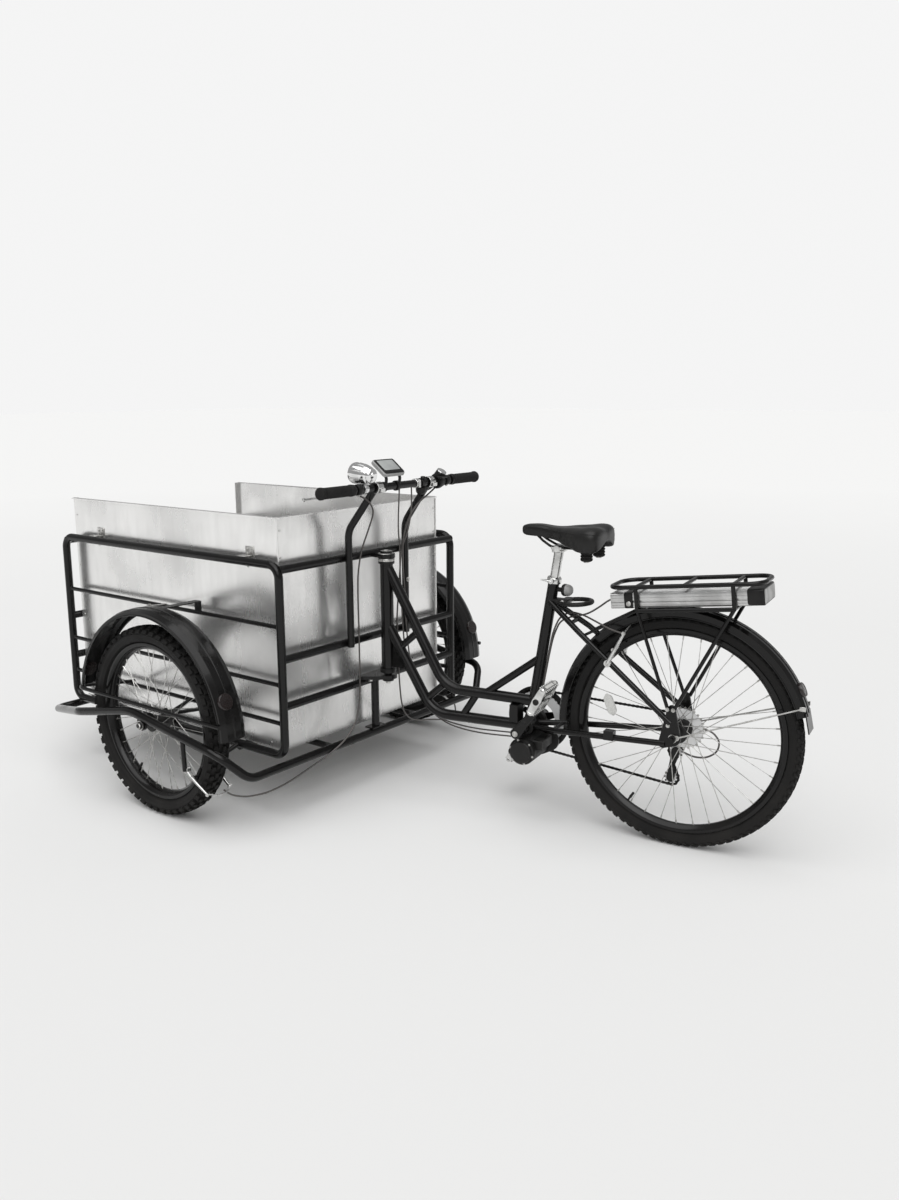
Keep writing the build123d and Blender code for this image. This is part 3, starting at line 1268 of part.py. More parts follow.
# ---------------------------------------------------------------- the whole machine
def build():
    """Every sub-part by name, laid out about the head axis."""
    left = cage_side()
    right = mirrored(left)
    sides = left + right
    under_frame = floor_frame()
    bumper = bumper_side()
    rear_cage = cage_rear(sides)
    guard_left = front_mudguard(left)
    side_box = box_side()
    carrier = axle_carrier(left, bumper)
    brake = front_brake(left, bumper)
    levers = brake_levers()
    bar = handlebar()
    lines = [line - levers - brake - mirrored(brake) - bar for line in bar_cables()]
    parts = {
        "cage_left": left,
        "cage_right": right,
        "cage_rear": rear_cage,
        "cage_front": cage_front(sides),
        "floor_frame": under_frame,
        "bumper_left": bumper,
        "bumper_right": mirrored(bumper),
        "box_left": side_box,
        "box_right": mirrored(side_box),
        "box_rear": box_rear(),
        "box_front": box_front(),
        "box_floor": box_floor(),
        "box_clips": box_clips(),
        "axle_carrier_left": carrier,
        "axle_carrier_right": mirrored(carrier),
        "front_mudguard_left": guard_left,
        "front_mudguard_right": mirrored(guard_left),
        "front_brake_left": brake,
        "front_brake_right": mirrored(brake),
        "handlebar": bar,
        "grips": grips(),
        "brake_levers": levers,
        "shifter": shifter(),
        "headlight": headlight(),
        "display": display(),
        "bar_cables": Compound(children=lines),
        "front_wheel_left": front_wheel(),
        "front_tyre_left": front_tyre(),
    }
    parts["front_wheel_right"] = mirrored(parts["front_wheel_left"])
    parts["front_tyre_right"] = mirrored(parts["front_tyre_left"])
    seat = seat_tube()
    tubes = down_tubes(head_tube(), seat)
    lower = chain_stays(seat)
    upper = seat_stays(seat, lower)
    carrier_rack = rack(lower, upper)
    guard = rear_mudguard(lower, upper, carrier_rack)
    post = seatpost(seat)
    cushion = saddle()
    rim_brake = [arm - upper - lower - carrier_rack for arm in rear_brake()]
    wires = [wire - rim_brake[0] - rim_brake[1] for wire in frame_cables()]
    rear = {
        "head_tube": head_tube(),
        "down_tubes": tubes,
        "seat_tube": seat,
        "chain_stays": lower,
        "seat_stays": upper,
        "rear_brake": Compound(children=rim_brake),
        "mid_motor": motor(seat, tubes) - lower,
        "controller": controller(tubes),
        "crankset": crankset(),
        "pedal_left": pedal(1),
        "pedal_right": pedal(-1),
        "cassette": cassette(),
        "chain": chain(),
        "derailleur": derailleur(lower),
        "rack": carrier_rack,
        "battery": battery(),
        "rear_mudguard": guard,
        "rear_reflector": rear_reflector(guard),
        "mudguard_stays": Compound(children=mudguard_stays(guard, lower, carrier_rack)),
        "seatpost": post,
        "saddle": cushion,
        "saddle_rails": saddle_rails() - post - cushion,
        "tail_lamp": tail_lamp(seat),
        "ring_lock": ring_lock(seat) - upper,
        "frame_cables": Compound(children=wires),
        "rear_wheel": rear_wheel(),
        "rear_tyre": rear_tyre(),
    }
    for name, shape in rear.items():
        parts[name] = parked(shape)
    return parts


def main():
    os.makedirs("parts", exist_ok=True)
    parts = build()
    boxes = [shape.bounding_box() for shape in parts.values()]
    low_x = min(box.min.X for box in boxes)
    high_x = max(box.max.X for box in boxes)
    low_y = min(box.min.Y for box in boxes)
    high_y = max(box.max.Y for box in boxes)
    shift = Pos(-(low_x + high_x) / 2, -(low_y + high_y) / 2, 0)
    print("head axis at", -(low_x + high_x) / 2, -(low_y + high_y) / 2)
    for name, shape in parts.items():
        export_step(shift * shape, f"parts/{name}.step")


main()
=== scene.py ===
"""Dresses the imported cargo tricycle: finishes for every frame part, and detailed wheels, tyres, drive,
controls, saddle, battery and lamps in place of their plain solids. Places are in millimetres about the
head axis, x ahead, y left, z up, and are carried to the row frame as each piece is finished."""

import json  # noqa: E402
import math  # noqa: E402

import bmesh  # noqa: E402
import bpy  # noqa: E402
from mathutils import Matrix, Vector  # noqa: E402


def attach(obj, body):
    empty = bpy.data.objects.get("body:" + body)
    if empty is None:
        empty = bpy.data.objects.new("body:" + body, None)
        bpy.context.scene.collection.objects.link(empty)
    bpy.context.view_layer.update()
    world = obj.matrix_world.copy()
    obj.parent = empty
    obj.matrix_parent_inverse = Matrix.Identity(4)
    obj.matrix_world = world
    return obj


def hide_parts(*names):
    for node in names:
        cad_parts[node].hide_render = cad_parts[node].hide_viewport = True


bl_info = {
    "name": "Cargo tricycle dresser",
    "version": (1, 0, 0),
    "blender": (4, 5, 0),
    "location": "View3D > Sidebar > Tricycle",
    "description": "Builds the finished look of an electric cargo tricycle around its packed frame",
    "category": "Object",
}

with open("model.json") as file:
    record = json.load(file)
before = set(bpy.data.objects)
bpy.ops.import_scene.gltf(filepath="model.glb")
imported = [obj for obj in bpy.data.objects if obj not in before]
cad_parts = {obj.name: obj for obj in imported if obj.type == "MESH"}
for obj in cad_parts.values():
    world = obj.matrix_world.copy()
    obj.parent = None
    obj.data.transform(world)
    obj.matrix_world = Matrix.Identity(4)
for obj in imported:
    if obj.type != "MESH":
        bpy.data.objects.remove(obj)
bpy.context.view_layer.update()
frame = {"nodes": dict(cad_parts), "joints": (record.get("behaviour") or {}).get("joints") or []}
JOINTS = {joint["name"]: joint for joint in frame["joints"]}

# ---------------------------------------------------------------- places
HEAD = Vector(JOINTS["steer"]["pos_m"])
HEAD.z = 0.0
REAR_AXIS = Vector(JOINTS["rear_wheel_spin"]["axis"])
CARGO = Matrix.Translation(HEAD) @ Matrix.Scale(0.001, 4)
PARKED = Matrix.Rotation(math.atan2(-REAR_AXIS.x, REAR_AXIS.y), 4, "Z")
REAR = Matrix.Translation(HEAD) @ PARKED @ Matrix.Scale(0.001, 4)

BAR_X, BAR_Z, BAR_HALF = -75.0, 965.0, 356.0
FRONT_X, FRONT_Y, FRONT_R = 415.0, 560.0, 286.0
FRONT_RIM_R, FRONT_GUARD_R = 236.0, 338.0
REAR_X, REAR_R, REAR_RIM_R, REAR_GUARD_R = -930.0, 327.0, 287.0, 346.0
CRANK_X, CRANK_Z, CRANK_LENGTH, CRANK_Y = -486.0, 281.0, 171.0, 101.0
CRANK_ANGLE = math.radians(127.9)
CHAIN_Y, CHAIN_PITCH = -56.0, 12.7
MOTOR_X, MOTOR_Z = -492.0, 219.0
RACK = Matrix.Translation((-945.0, 0.0, 704.0)) @ Matrix.Rotation(math.radians(6.4), 4, "Y")
CAGE_Y, CAGE_TOP_Z = 394.0, 761.0
FRONT_TYRE_W, FRONT_RIM_W = 68.0, 44.0
REAR_TYRE_W, REAR_RIM_W = 50.0, 30.0
FRONT_REFLECTOR_ANGLES = (19.0, 160.0)
GRIP_LENGTH, BAR_BORE, BELL_Y, RISER_Y = 128.0, 11.1, -80.0, 130.0
SADDLE_NOSE_X, SADDLE_LENGTH = -457.0, 254.0
ON_CARGO = (CARGO, "cargo_unit")
ON_REAR = (REAR, "rear_frame")
UP = Vector((0.0, 0.0, 1.0))
AHEAD = Vector((1.0, 0.0, 0.0))
LEFT = Vector((0.0, 1.0, 0.0))


# ---------------------------------------------------------------- mesh building
def rounded(route, bend, steps=6):
    """The route with each inner corner turned into an arc of about that radius."""
    points = [Vector(p) for p in route]
    path = [points[0]]
    for before, corner, after in zip(points, points[1:], points[2:]):
        u = (before - corner).normalized()
        v = (after - corner).normalized()
        half = u.angle(v) / 2
        if half > math.radians(89):
            path.append(corner)
            continue
        cut = min(bend / math.tan(half), 0.49 * (before - corner).length, 0.49 * (after - corner).length)
        radius = cut * math.tan(half)
        centre = corner + (u + v).normalized() * (radius / math.sin(half))
        first = corner + u * cut - centre
        last = corner + v * cut - centre
        whole = first.angle(last)
        for k in range(steps + 1):
            t = k / steps
            mixed = first * math.sin((1 - t) * whole) + last * math.sin(t * whole)
            path.append(centre + mixed / math.sin(whole))
    path.append(points[-1])
    return path


class Form:
    """The vertices and faces of one piece, in millimetres."""

    def __init__(self, place=None):
        self.place = place or Matrix.Identity(4)
        self.verts = []
        self.faces = []

    def add(self, verts, faces):
        base = len(self.verts)
        self.verts.extend(self.place @ Vector(v) for v in verts)
        self.faces.extend(tuple(base + i for i in face) for face in faces)

    def skin(self, rings, closed=False, caps=True):
        """Joins rings of points, one after the other."""
        count, size = len(rings), len(rings[0])
        verts = [p for ring in rings for p in ring]
        faces = []
        for i in range(count if closed else count - 1):
            j = (i + 1) % count
            for k in range(size):
                m = (k + 1) % size
                faces.append((i * size + k, i * size + m, j * size + m, j * size + k))
        if caps and not closed:
            faces.append(tuple(range(size - 1, -1, -1)))
            faces.append(tuple((count - 1) * size + k for k in range(size)))
        self.add(verts, faces)

    def tube(self, path, radius, sides=12, flat=1.0, closed=False):
        """A tube along a path; radius is one value or one for each point."""
        path = [Vector(p) for p in path]
        count = len(path)
        radii = radius if isinstance(radius, (list, tuple)) else [radius] * count
        tangents = []
        for i in range(count):
            if closed:
                tangents.append((path[(i + 1) % count] - path[i - 1]).normalized())
            else:
                tangents.append((path[min(i + 1, count - 1)] - path[max(i - 1, 0)]).normalized())
        side = tangents[0].cross(UP if abs(tangents[0].z) < 0.9 else AHEAD).normalized()
        rings = []
        for i, point in enumerate(path):
            if i:
                side = (tangents[i - 1].rotation_difference(tangents[i]) @ side).normalized()
            other = tangents[i].cross(side)
            ring = []
            for k in range(sides):
                a = 2 * math.pi * k / sides
                ring.append(point + (side * math.cos(a) + other * math.sin(a) * flat) * radii[i])
            rings.append(ring)
        self.skin(rings, closed=closed)

    def rod(self, start, end, radius, end_radius=None, sides=16, edge=0.0):
        """A straight round bar or cone, with softened ends if edge is given."""
        start, end = Vector(start), Vector(end)
        last = radius if end_radius is None else end_radius
        way = (end - start).normalized()
        if edge:
            path = [start, start + way * edge, end - way * edge, end]
            self.tube(path, [radius - edge, radius, last, last - edge], sides)
        else:
            self.tube([start, end], [radius, last], sides)

    def lathe(self, profile, centre=(0, 0, 0), axis=LEFT, sides=32, closed=False):
        """Turns a profile of (radius, distance along the axis) round an axis."""
        axis = Vector(axis).normalized()
        centre = Vector(centre)
        first = axis.cross(UP if abs(axis.z) < 0.9 else AHEAD).normalized()
        second = axis.cross(first)
        rings = []
        for radius, along in profile:
            ring = []
            for k in range(sides):
                a = 2 * math.pi * k / sides
                ring.append(centre + axis * along + (first * math.cos(a) + second * math.sin(a)) * radius)
            rings.append(ring)
        self.skin(rings, closed=closed, caps=not closed and min(profile[0][0], profile[-1][0]) > 1e-6)

    def hull(self, points):
        """The convex skin round a set of points."""
        shell = bmesh.new()
        for point in points:
            shell.verts.new(point)
        bmesh.ops.remove_doubles(shell, verts=shell.verts, dist=0.001)
        made = bmesh.ops.convex_hull(shell, input=shell.verts)
        inside = [e for e in made["geom_interior"] if isinstance(e, bmesh.types.BMVert)]
        bmesh.ops.delete(shell, geom=inside, context="VERTS")
        bmesh.ops.dissolve_limit(shell, angle_limit=0.01, verts=shell.verts, edges=shell.edges)
        shell.verts.index_update()
        self.add([v.co.copy() for v in shell.verts], [[v.index for v in f.verts] for f in shell.faces])
        shell.free()

    def box(self, centre, size, edge=1.0, turn=None):
        """A block with chamfered edges, turned about its centre if asked."""
        hx, hy, hz = (s / 2 for s in size)
        turn = turn or Matrix.Identity(3)
        points = []
        for sx in (-1, 1):
            for sy in (-1, 1):
                for sz in (-1, 1):
                    for cut in ((edge, edge, 0), (edge, 0, edge), (0, edge, edge)):
                        corner = Vector((sx * (hx - cut[0]), sy * (hy - cut[1]), sz * (hz - cut[2])))
                        points.append(Vector(centre) + turn @ corner)
        self.hull(points)

    def plate(self, spots, y0, y1, edge=0.8, sides=24):
        """A flat link: circles (x, z, radius) joined by their common outline, from y0 to y1."""
        low, high = min(y0, y1), max(y0, y1)
        points = []
        for x, z, radius in spots:
            for k in range(sides):
                a = 2 * math.pi * k / sides
                for y, r in (
                    (low, radius - edge), (low + edge, radius), (high - edge, radius), (high, radius - edge)
                ):
                    points.append((x + r * math.cos(a), y, z + r * math.sin(a)))
        self.hull(points)

    def bored(self, outer, bore, centre=(0, 0, 0), axis=LEFT, half=5.0, sides=24):
        """A short ring with a hole."""
        e = min(0.8, half / 3)
        profile = [
            (bore, -half), (outer - e, -half), (outer, e - half), (outer, half - e), (outer - e, half),
            (bore, half)
        ]
        self.lathe(profile, centre, axis, sides, closed=True)


def mesh_of(form, matrix):
    """A welded mesh of a form, with its faces pointing out."""
    mesh = bpy.data.meshes.new("piece")
    mesh.from_pydata([tuple(v) for v in form.verts], [], form.faces)
    shell = bmesh.new()
    shell.from_mesh(mesh)
    bmesh.ops.remove_doubles(shell, verts=shell.verts, dist=0.002)
    bmesh.ops.dissolve_degenerate(shell, edges=shell.edges, dist=0.001)
    bmesh.ops.recalc_face_normals(shell, faces=shell.faces)
    shell.to_mesh(mesh)
    shell.free()
    mesh.transform(matrix)
    return mesh


def settle(obj, body, coat, replaces=(), smooth=40.0):
    """Gives a finished mesh its finish, shading and body."""
    mesh = obj.data
    if coat is not None:
        mesh.materials.clear()
        mesh.materials.append(coat)
    mesh.shade_smooth()
    mesh.set_sharp_from_angle(angle=math.radians(smooth))
    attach(obj, body)
    if replaces:
        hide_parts(*replaces)
    return obj


def piece(name, form, matrix, body, slot, coat, replaces=(), smooth=40.0):
    """Turns a form into a finished piece."""
    obj = bpy.data.objects.new(name, mesh_of(form, matrix))
    bpy.context.scene.collection.objects.link(obj)
    return settle(obj, body, coat, replaces, smooth)


# ---------------------------------------------------------------- node building
class Nodes:
    """Short calls that build one node tree."""

    def __init__(self, tree):
        self.tree = tree

    def add(self, kind, inputs=None, **settings):
        node = self.tree.nodes.new(kind)
        for key, value in settings.items():
            setattr(node, key, value)
        for key, value in (inputs or {}).items():
            if isinstance(value, bpy.types.NodeSocket):
                self.tree.links.new(value, node.inputs[key])
            else:
                node.inputs[key].default_value = value
        return node

    def maths(self, operation, a, b=0.0, clamp=False):
        return self.add("ShaderNodeMath", {0: a, 1: b}, operation=operation, use_clamp=clamp).outputs[0]

    def point(self, x, y, z):
        return self.add("ShaderNodeCombineXYZ", {0: x, 1: y, 2: z}).outputs[0]

    def vector(self, operation, a, b):
        return self.add("ShaderNodeVectorMath", {0: a, 1: b}, operation=operation).outputs[0]

    def span(self, value, low, high, out_low=0.0, out_high=1.0):
        """Takes a value from one range to another, held inside it."""
        node = self.add("ShaderNodeMapRange", {0: value, 1: low, 2: high, 3: out_low, 4: out_high})
        return node.outputs[0]

    def mixed(self, factor, a, b):
        return self.add("ShaderNodeMix", {0: factor, 6: a, 7: b}, data_type="RGBA").outputs[2]


def new_group(kind, name, inputs, outputs):
    """An empty node group with these sockets: (name, type, default)."""
    tree = bpy.data.node_groups.new(name, kind)
    for label, socket, default in inputs:
        made = tree.interface.new_socket(label, in_out="INPUT", socket_type=socket)
        if default is not None:
            made.default_value = default
    for label, socket in outputs:
        tree.interface.new_socket(label, in_out="OUTPUT", socket_type=socket)
    build = Nodes(tree)
    return tree, build, build.add("NodeGroupInput"), build.add("NodeGroupOutput")


FLOAT, VECTOR, INT = "NodeSocketFloat", "NodeSocketVector", "NodeSocketInt"
GEOMETRY, MATERIAL, OBJECT = "NodeSocketGeometry", "NodeSocketMaterial", "NodeSocketObject"


def close_tree(build, end, geometry, coat):
    """Ends a geometry tree in real geometry with its finish."""
    real = build.add("GeometryNodeRealizeInstances", {0: geometry})
    painted = build.add("GeometryNodeSetMaterial", {"Geometry": real.outputs[0], "Material": coat})
    build.tree.links.new(painted.outputs[0], end.inputs[0])


def spoke_tree():
    """Laced spokes with their nipples, about the Y axis."""
    tree, n, start, end = new_group(
        "GeometryNodeTree",
        "laced_spokes",
        [
            ("Geometry", GEOMETRY, None), ("Spokes", INT, 36), ("Hub Radius", FLOAT, 0.025),
            ("Flange Offset", FLOAT, 0.03), ("Rim Radius", FLOAT, 0.2), ("Spoke Radius", FLOAT, 0.001),
            ("Lacing Angle", FLOAT, 0.7), ("Material", MATERIAL, None),
        ],
        [("Geometry", GEOMETRY)],
    )
    points = n.add("GeometryNodePoints", {0: start.outputs["Spokes"]})
    index = n.add("GeometryNodeInputIndex").outputs[0]
    side = n.maths("SUBTRACT", n.maths("MULTIPLY", n.maths("MODULO", index, 2.0), 2.0), 1.0)
    half = n.maths("FLOOR", n.maths("DIVIDE", index, 2.0))
    lead = n.maths("SUBTRACT", n.maths("MULTIPLY", n.maths("MODULO", half, 2.0), 2.0), 1.0)
    turn = n.maths("DIVIDE", n.maths("MULTIPLY", index, 2 * math.pi), start.outputs["Spokes"])
    at_hub = n.maths("ADD", turn, n.maths("MULTIPLY", lead, start.outputs["Lacing Angle"]))
    hub, rim = start.outputs["Hub Radius"], start.outputs["Rim Radius"]
    foot = n.point(
        n.maths("MULTIPLY", hub, n.maths("COSINE", at_hub)),
        n.maths("MULTIPLY", side, start.outputs["Flange Offset"]),
        n.maths("MULTIPLY", hub, n.maths("SINE", at_hub)),
    )
    head = n.point(
        n.maths("MULTIPLY", rim, n.maths("COSINE", turn)),
        n.maths("MULTIPLY", side, 0.002),
        n.maths("MULTIPLY", rim, n.maths("SINE", turn)),
    )
    way = n.vector("SUBTRACT", head, foot)
    length = n.add("ShaderNodeVectorMath", {0: way}, operation="LENGTH").outputs["Value"]
    turned = n.add("FunctionNodeAlignRotationToVector", {"Vector": way}, axis="Z").outputs[0]
    layers = []
    nipple = n.vector(
        "SUBTRACT", head, n.vector("MULTIPLY", n.vector("NORMALIZE", way, (0, 0, 0)), (0.006,) * 3)
    )
    middle = n.vector("MULTIPLY", n.vector("ADD", head, foot), (0.5,) * 3)
    thick = n.maths("MULTIPLY", start.outputs["Spoke Radius"], 2.1)
    for centre, radius, tall in (
        (middle, start.outputs["Spoke Radius"], length), (nipple, thick, 0.014),
    ):
        rod = n.add("GeometryNodeMeshCylinder", {"Vertices": 6, "Radius": radius, "Depth": 1.0})
        moved = n.add("GeometryNodeSetPosition", {"Geometry": points.outputs[0], "Position": centre})
        layers.append(
            n.add(
                "GeometryNodeInstanceOnPoints",
                {
                    "Points": moved.outputs[0], "Instance": rod.outputs[0],
                    "Rotation": turned, "Scale": n.point(1.0, 1.0, tall),
                },
            ).outputs[0]
        )
    joined = n.add("GeometryNodeJoinGeometry")
    for layer in layers:
        tree.links.new(layer, joined.inputs[0])
    close_tree(n, end, joined.outputs[0], start.outputs["Material"])
    return tree


def ring_tree():
    """An item set round the Y axis, standing outward: lugs, teeth, ribs."""
    tree, n, start, end = new_group(
        "GeometryNodeTree",
        "set_in_ring",
        [
            ("Geometry", GEOMETRY, None), ("Item", OBJECT, None), ("Count", INT, 40), ("Radius", FLOAT, 0.1),
            ("Offset", FLOAT, 0.0), ("Lean", FLOAT, 0.0), ("Start", FLOAT, 0.0), ("Size", FLOAT, 1.0),
            ("Material", MATERIAL, None),
        ],
        [("Geometry", GEOMETRY)],
    )
    points = n.add("GeometryNodePoints", {0: start.outputs["Count"]})
    index = n.add("GeometryNodeInputIndex").outputs[0]
    step = n.maths("DIVIDE", 2 * math.pi, start.outputs["Count"])
    turn = n.maths("MULTIPLY", n.maths("ADD", index, start.outputs["Start"]), step)
    cosine, sine = n.maths("COSINE", turn), n.maths("SINE", turn)
    radius = start.outputs["Radius"]
    place = n.point(
        n.maths("MULTIPLY", radius, cosine), start.outputs["Offset"], n.maths("MULTIPLY", radius, sine)
    )
    upright = n.maths("COSINE", start.outputs["Lean"])
    out = n.point(
        n.maths("MULTIPLY", upright, cosine), n.maths("SINE", start.outputs["Lean"]),
        n.maths("MULTIPLY", upright, sine)
    )
    along = n.point(n.maths("MULTIPLY", sine, -1.0), 0.0, cosine)
    turned = n.add(
        "FunctionNodeAxesToRotation", {
            "Primary Axis": out, "Secondary Axis": along
        }, primary_axis="Z", secondary_axis="X"
    ).outputs[0]
    moved = n.add("GeometryNodeSetPosition", {"Geometry": points.outputs[0], "Position": place})
    item = n.add("GeometryNodeObjectInfo", {"Object": start.outputs["Item"]})
    size = start.outputs["Size"]
    placed = n.add(
        "GeometryNodeInstanceOnPoints",
        {
            "Points": moved.outputs[0], "Instance": item.outputs["Geometry"], "Rotation": turned,
            "Scale": n.point(size, size, size),
        },
    )
    close_tree(n, end, placed.outputs[0], start.outputs["Material"])
    return tree


def path_tree():
    """Two items by turns along a closed path: chain links."""
    tree, n, start, end = new_group(
        "GeometryNodeTree",
        "set_along_path",
        [
            ("Geometry", GEOMETRY, None), ("Item", OBJECT, None), ("Other Item", OBJECT, None),
            ("Count", INT, 100),
            ("Across", VECTOR, (0, 1, 0)), ("Material", MATERIAL, None),
        ],
        [("Geometry", GEOMETRY)],
    )
    curve = n.add("GeometryNodeMeshToCurve", {0: start.outputs["Geometry"]})
    points = n.add(
        "GeometryNodeCurveToPoints", {
            "Curve": curve.outputs[0], "Count": start.outputs["Count"]
        }, mode="COUNT"
    )
    turned = n.add(
        "FunctionNodeAxesToRotation",
        {"Primary Axis": points.outputs["Tangent"], "Secondary Axis": start.outputs["Across"]},
        primary_axis="X", secondary_axis="Y",
    ).outputs[0]
    odd = n.maths("MODULO", n.add("GeometryNodeInputIndex").outputs[0], 2.0)
    joined = n.add("GeometryNodeJoinGeometry")
    for label, chosen in (("Item", odd), ("Other Item", n.maths("SUBTRACT", 1.0, odd))):
        item = n.add("GeometryNodeObjectInfo", {"Object": start.outputs[label]})
        placed = n.add(
            "GeometryNodeInstanceOnPoints",
            {
                "Points": points.outputs["Points"], "Selection": chosen,
                "Instance": item.outputs["Geometry"], "Rotation": turned,
            },
        )
        tree.links.new(placed.outputs[0], joined.inputs[0])
    close_tree(n, end, joined.outputs[0], start.outputs["Material"])
    return tree


def bolt_tree():
    """A hexagon head on a washer at each point, facing along the point's aim."""
    tree, n, start, end = new_group(
        "GeometryNodeTree",
        "bolt_heads",
        [
            ("Geometry", GEOMETRY, None), ("Head Radius", FLOAT, 0.005), ("Head Height", FLOAT, 0.004),
            ("Sides", INT, 6), ("Washer Radius", FLOAT, 0.007), ("Material", MATERIAL, None),
        ],
        [("Geometry", GEOMETRY)],
    )
    aim = n.add("GeometryNodeInputNamedAttribute", {"Name": "aim"}, data_type="FLOAT_VECTOR").outputs[0]
    turned = n.add("FunctionNodeAlignRotationToVector", {"Vector": aim}, axis="Z").outputs[0]
    radius, height = start.outputs["Head Radius"], start.outputs["Head Height"]
    head = n.add("GeometryNodeMeshCone", {
        "Vertices": start.outputs["Sides"], "Radius Top": n.maths("MULTIPLY", radius, 0.86),
        "Radius Bottom": radius, "Depth": n.maths("MULTIPLY", height, 0.3),
    })
    lift = n.point(0.0, 0.0, n.maths("MULTIPLY", height, 0.7))
    raised = n.add("GeometryNodeTransform", {"Geometry": head.outputs[0], "Translation": lift})
    barrel = n.add("GeometryNodeMeshCylinder", {
        "Vertices": start.outputs["Sides"], "Radius": radius, "Depth": n.maths("MULTIPLY", height, 1.4),
    })
    washer = n.add("GeometryNodeMeshCylinder", {
        "Vertices": 20, "Radius": start.outputs["Washer Radius"], "Depth": 0.0024,
    })
    head_set = n.add("GeometryNodeJoinGeometry")
    for part in (raised, barrel, washer):
        tree.links.new(part.outputs[0], head_set.inputs[0])
    placed = n.add(
        "GeometryNodeInstanceOnPoints",
        {"Points": start.outputs["Geometry"], "Instance": head_set.outputs[0], "Rotation": turned},
    )
    close_tree(n, end, placed.outputs[0], start.outputs["Material"])
    return tree


TREES = {"spokes": spoke_tree(), "ring": ring_tree(), "path": path_tree(), "bolts": bolt_tree()}


def baked(name, tree_name, values, mesh=None):
    """Runs a geometry tree once on a mesh and keeps the plain result."""
    tree = TREES[tree_name]
    maker = bpy.data.objects.new("maker", mesh or bpy.data.meshes.new("empty"))
    bpy.context.scene.collection.objects.link(maker)
    modifier = maker.modifiers.new("tree", "NODES")
    modifier.node_group = tree
    for item in tree.interface.items_tree:
        if item.in_out == "INPUT" and item.name in values:
            modifier[item.identifier] = values[item.name]
    graph = bpy.context.evaluated_depsgraph_get()
    made = bpy.data.meshes.new_from_object(
        maker.evaluated_get(graph), preserve_all_data_layers=True, depsgraph=graph
    )
    bpy.data.objects.remove(maker)
    if not made.vertices:
        raise RuntimeError(f"{name} came out empty")
    obj = bpy.data.objects.new(name, made)
    bpy.context.scene.collection.objects.link(obj)
    return obj


def item_object(form):
    """A small mesh for a tree to repeat, in metres."""
    obj = bpy.data.objects.new("item", mesh_of(form, Matrix.Scale(0.001, 4)))
    bpy.context.scene.collection.objects.link(obj)
    return obj


def drop(*objects):
    for obj in objects:
        bpy.data.objects.remove(obj)


def united(name, objects):
    """One object from several, keeping every face."""
    whole = bmesh.new()
    for obj in objects:
        whole.from_mesh(obj.data)
    mesh = bpy.data.meshes.new(name)
    whole.to_mesh(mesh)
    whole.free()
    for coat in objects[0].data.materials:
        mesh.materials.append(coat)
    drop(*objects)
    obj = bpy.data.objects.new(name, mesh)
    bpy.context.scene.collection.objects.link(obj)
    return obj


def bolts(name, spots, matrix, body, slot, coat, head=5.0, height=4.0, sides=6, washer=8.0):
    """Bolt heads at spots of (point, direction), in millimetres."""
    mesh = bpy.data.meshes.new("spots")
    mesh.from_pydata([tuple(matrix @ Vector(at)) for at, _ in spots], [], [])
    aim = mesh.attributes.new("aim", "FLOAT_VECTOR", "POINT")
    turn = matrix.to_3x3().normalized()
    aim.data.foreach_set("vector", [c for _, way in spots for c in (turn @ Vector(way)).normalized()])
    values = {
        "Head Radius": head / 1000, "Head Height": height / 1000, "Sides": sides,
        "Washer Radius": washer / 1000, "Material": coat,
    }
    return settle(baked(name, "bolts", values, mesh), body, None, smooth=30.0)


# ---------------------------------------------------------------- finishes
def blotch_group():
    """Soft patches and fine grain over a surface: where it is worn, dusty or handled."""
    tree, n, start, end = new_group(
        "ShaderNodeTree",
        "patches_and_grain",
        [
            ("Vector", VECTOR, None), ("Patch Scale", FLOAT, 6.0), ("Grain Scale", FLOAT, 300.0),
            ("Amount", FLOAT, 1.0)
        ],
        [("Patches", FLOAT), ("Grain", FLOAT)],
    )
    where = start.outputs["Vector"]
    wide = n.add(
        "ShaderNodeTexNoise", {"Vector": where, "Scale": start.outputs["Patch Scale"], "Detail": 6.0}
    )
    fine = n.add(
        "ShaderNodeTexNoise", {"Vector": where, "Scale": start.outputs["Grain Scale"], "Detail": 3.0}
    )
    patches = n.maths("MULTIPLY", n.span(wide.outputs[0], 0.42, 0.68), start.outputs["Amount"])
    tree.links.new(patches, end.inputs["Patches"])
    tree.links.new(fine.outputs[0], end.inputs["Grain"])
    return tree


def streak_group():
    """Long fine streaks: rolled sheet, brushed bar, drawn tube."""
    tree, n, start, end = new_group(
        "ShaderNodeTree",
        "streaks",
        [("Vector", VECTOR, None), ("Stretch", VECTOR, (1.0, 1.0, 0.04)), ("Scale", FLOAT, 90.0)],
        [("Streaks", FLOAT)],
    )
    where = n.vector("MULTIPLY", start.outputs["Vector"], start.outputs["Stretch"])
    lines = n.add("ShaderNodeTexNoise", {"Vector": where, "Scale": start.outputs["Scale"], "Detail": 8.0})
    tree.links.new(lines.outputs[0], end.inputs["Streaks"])
    return tree


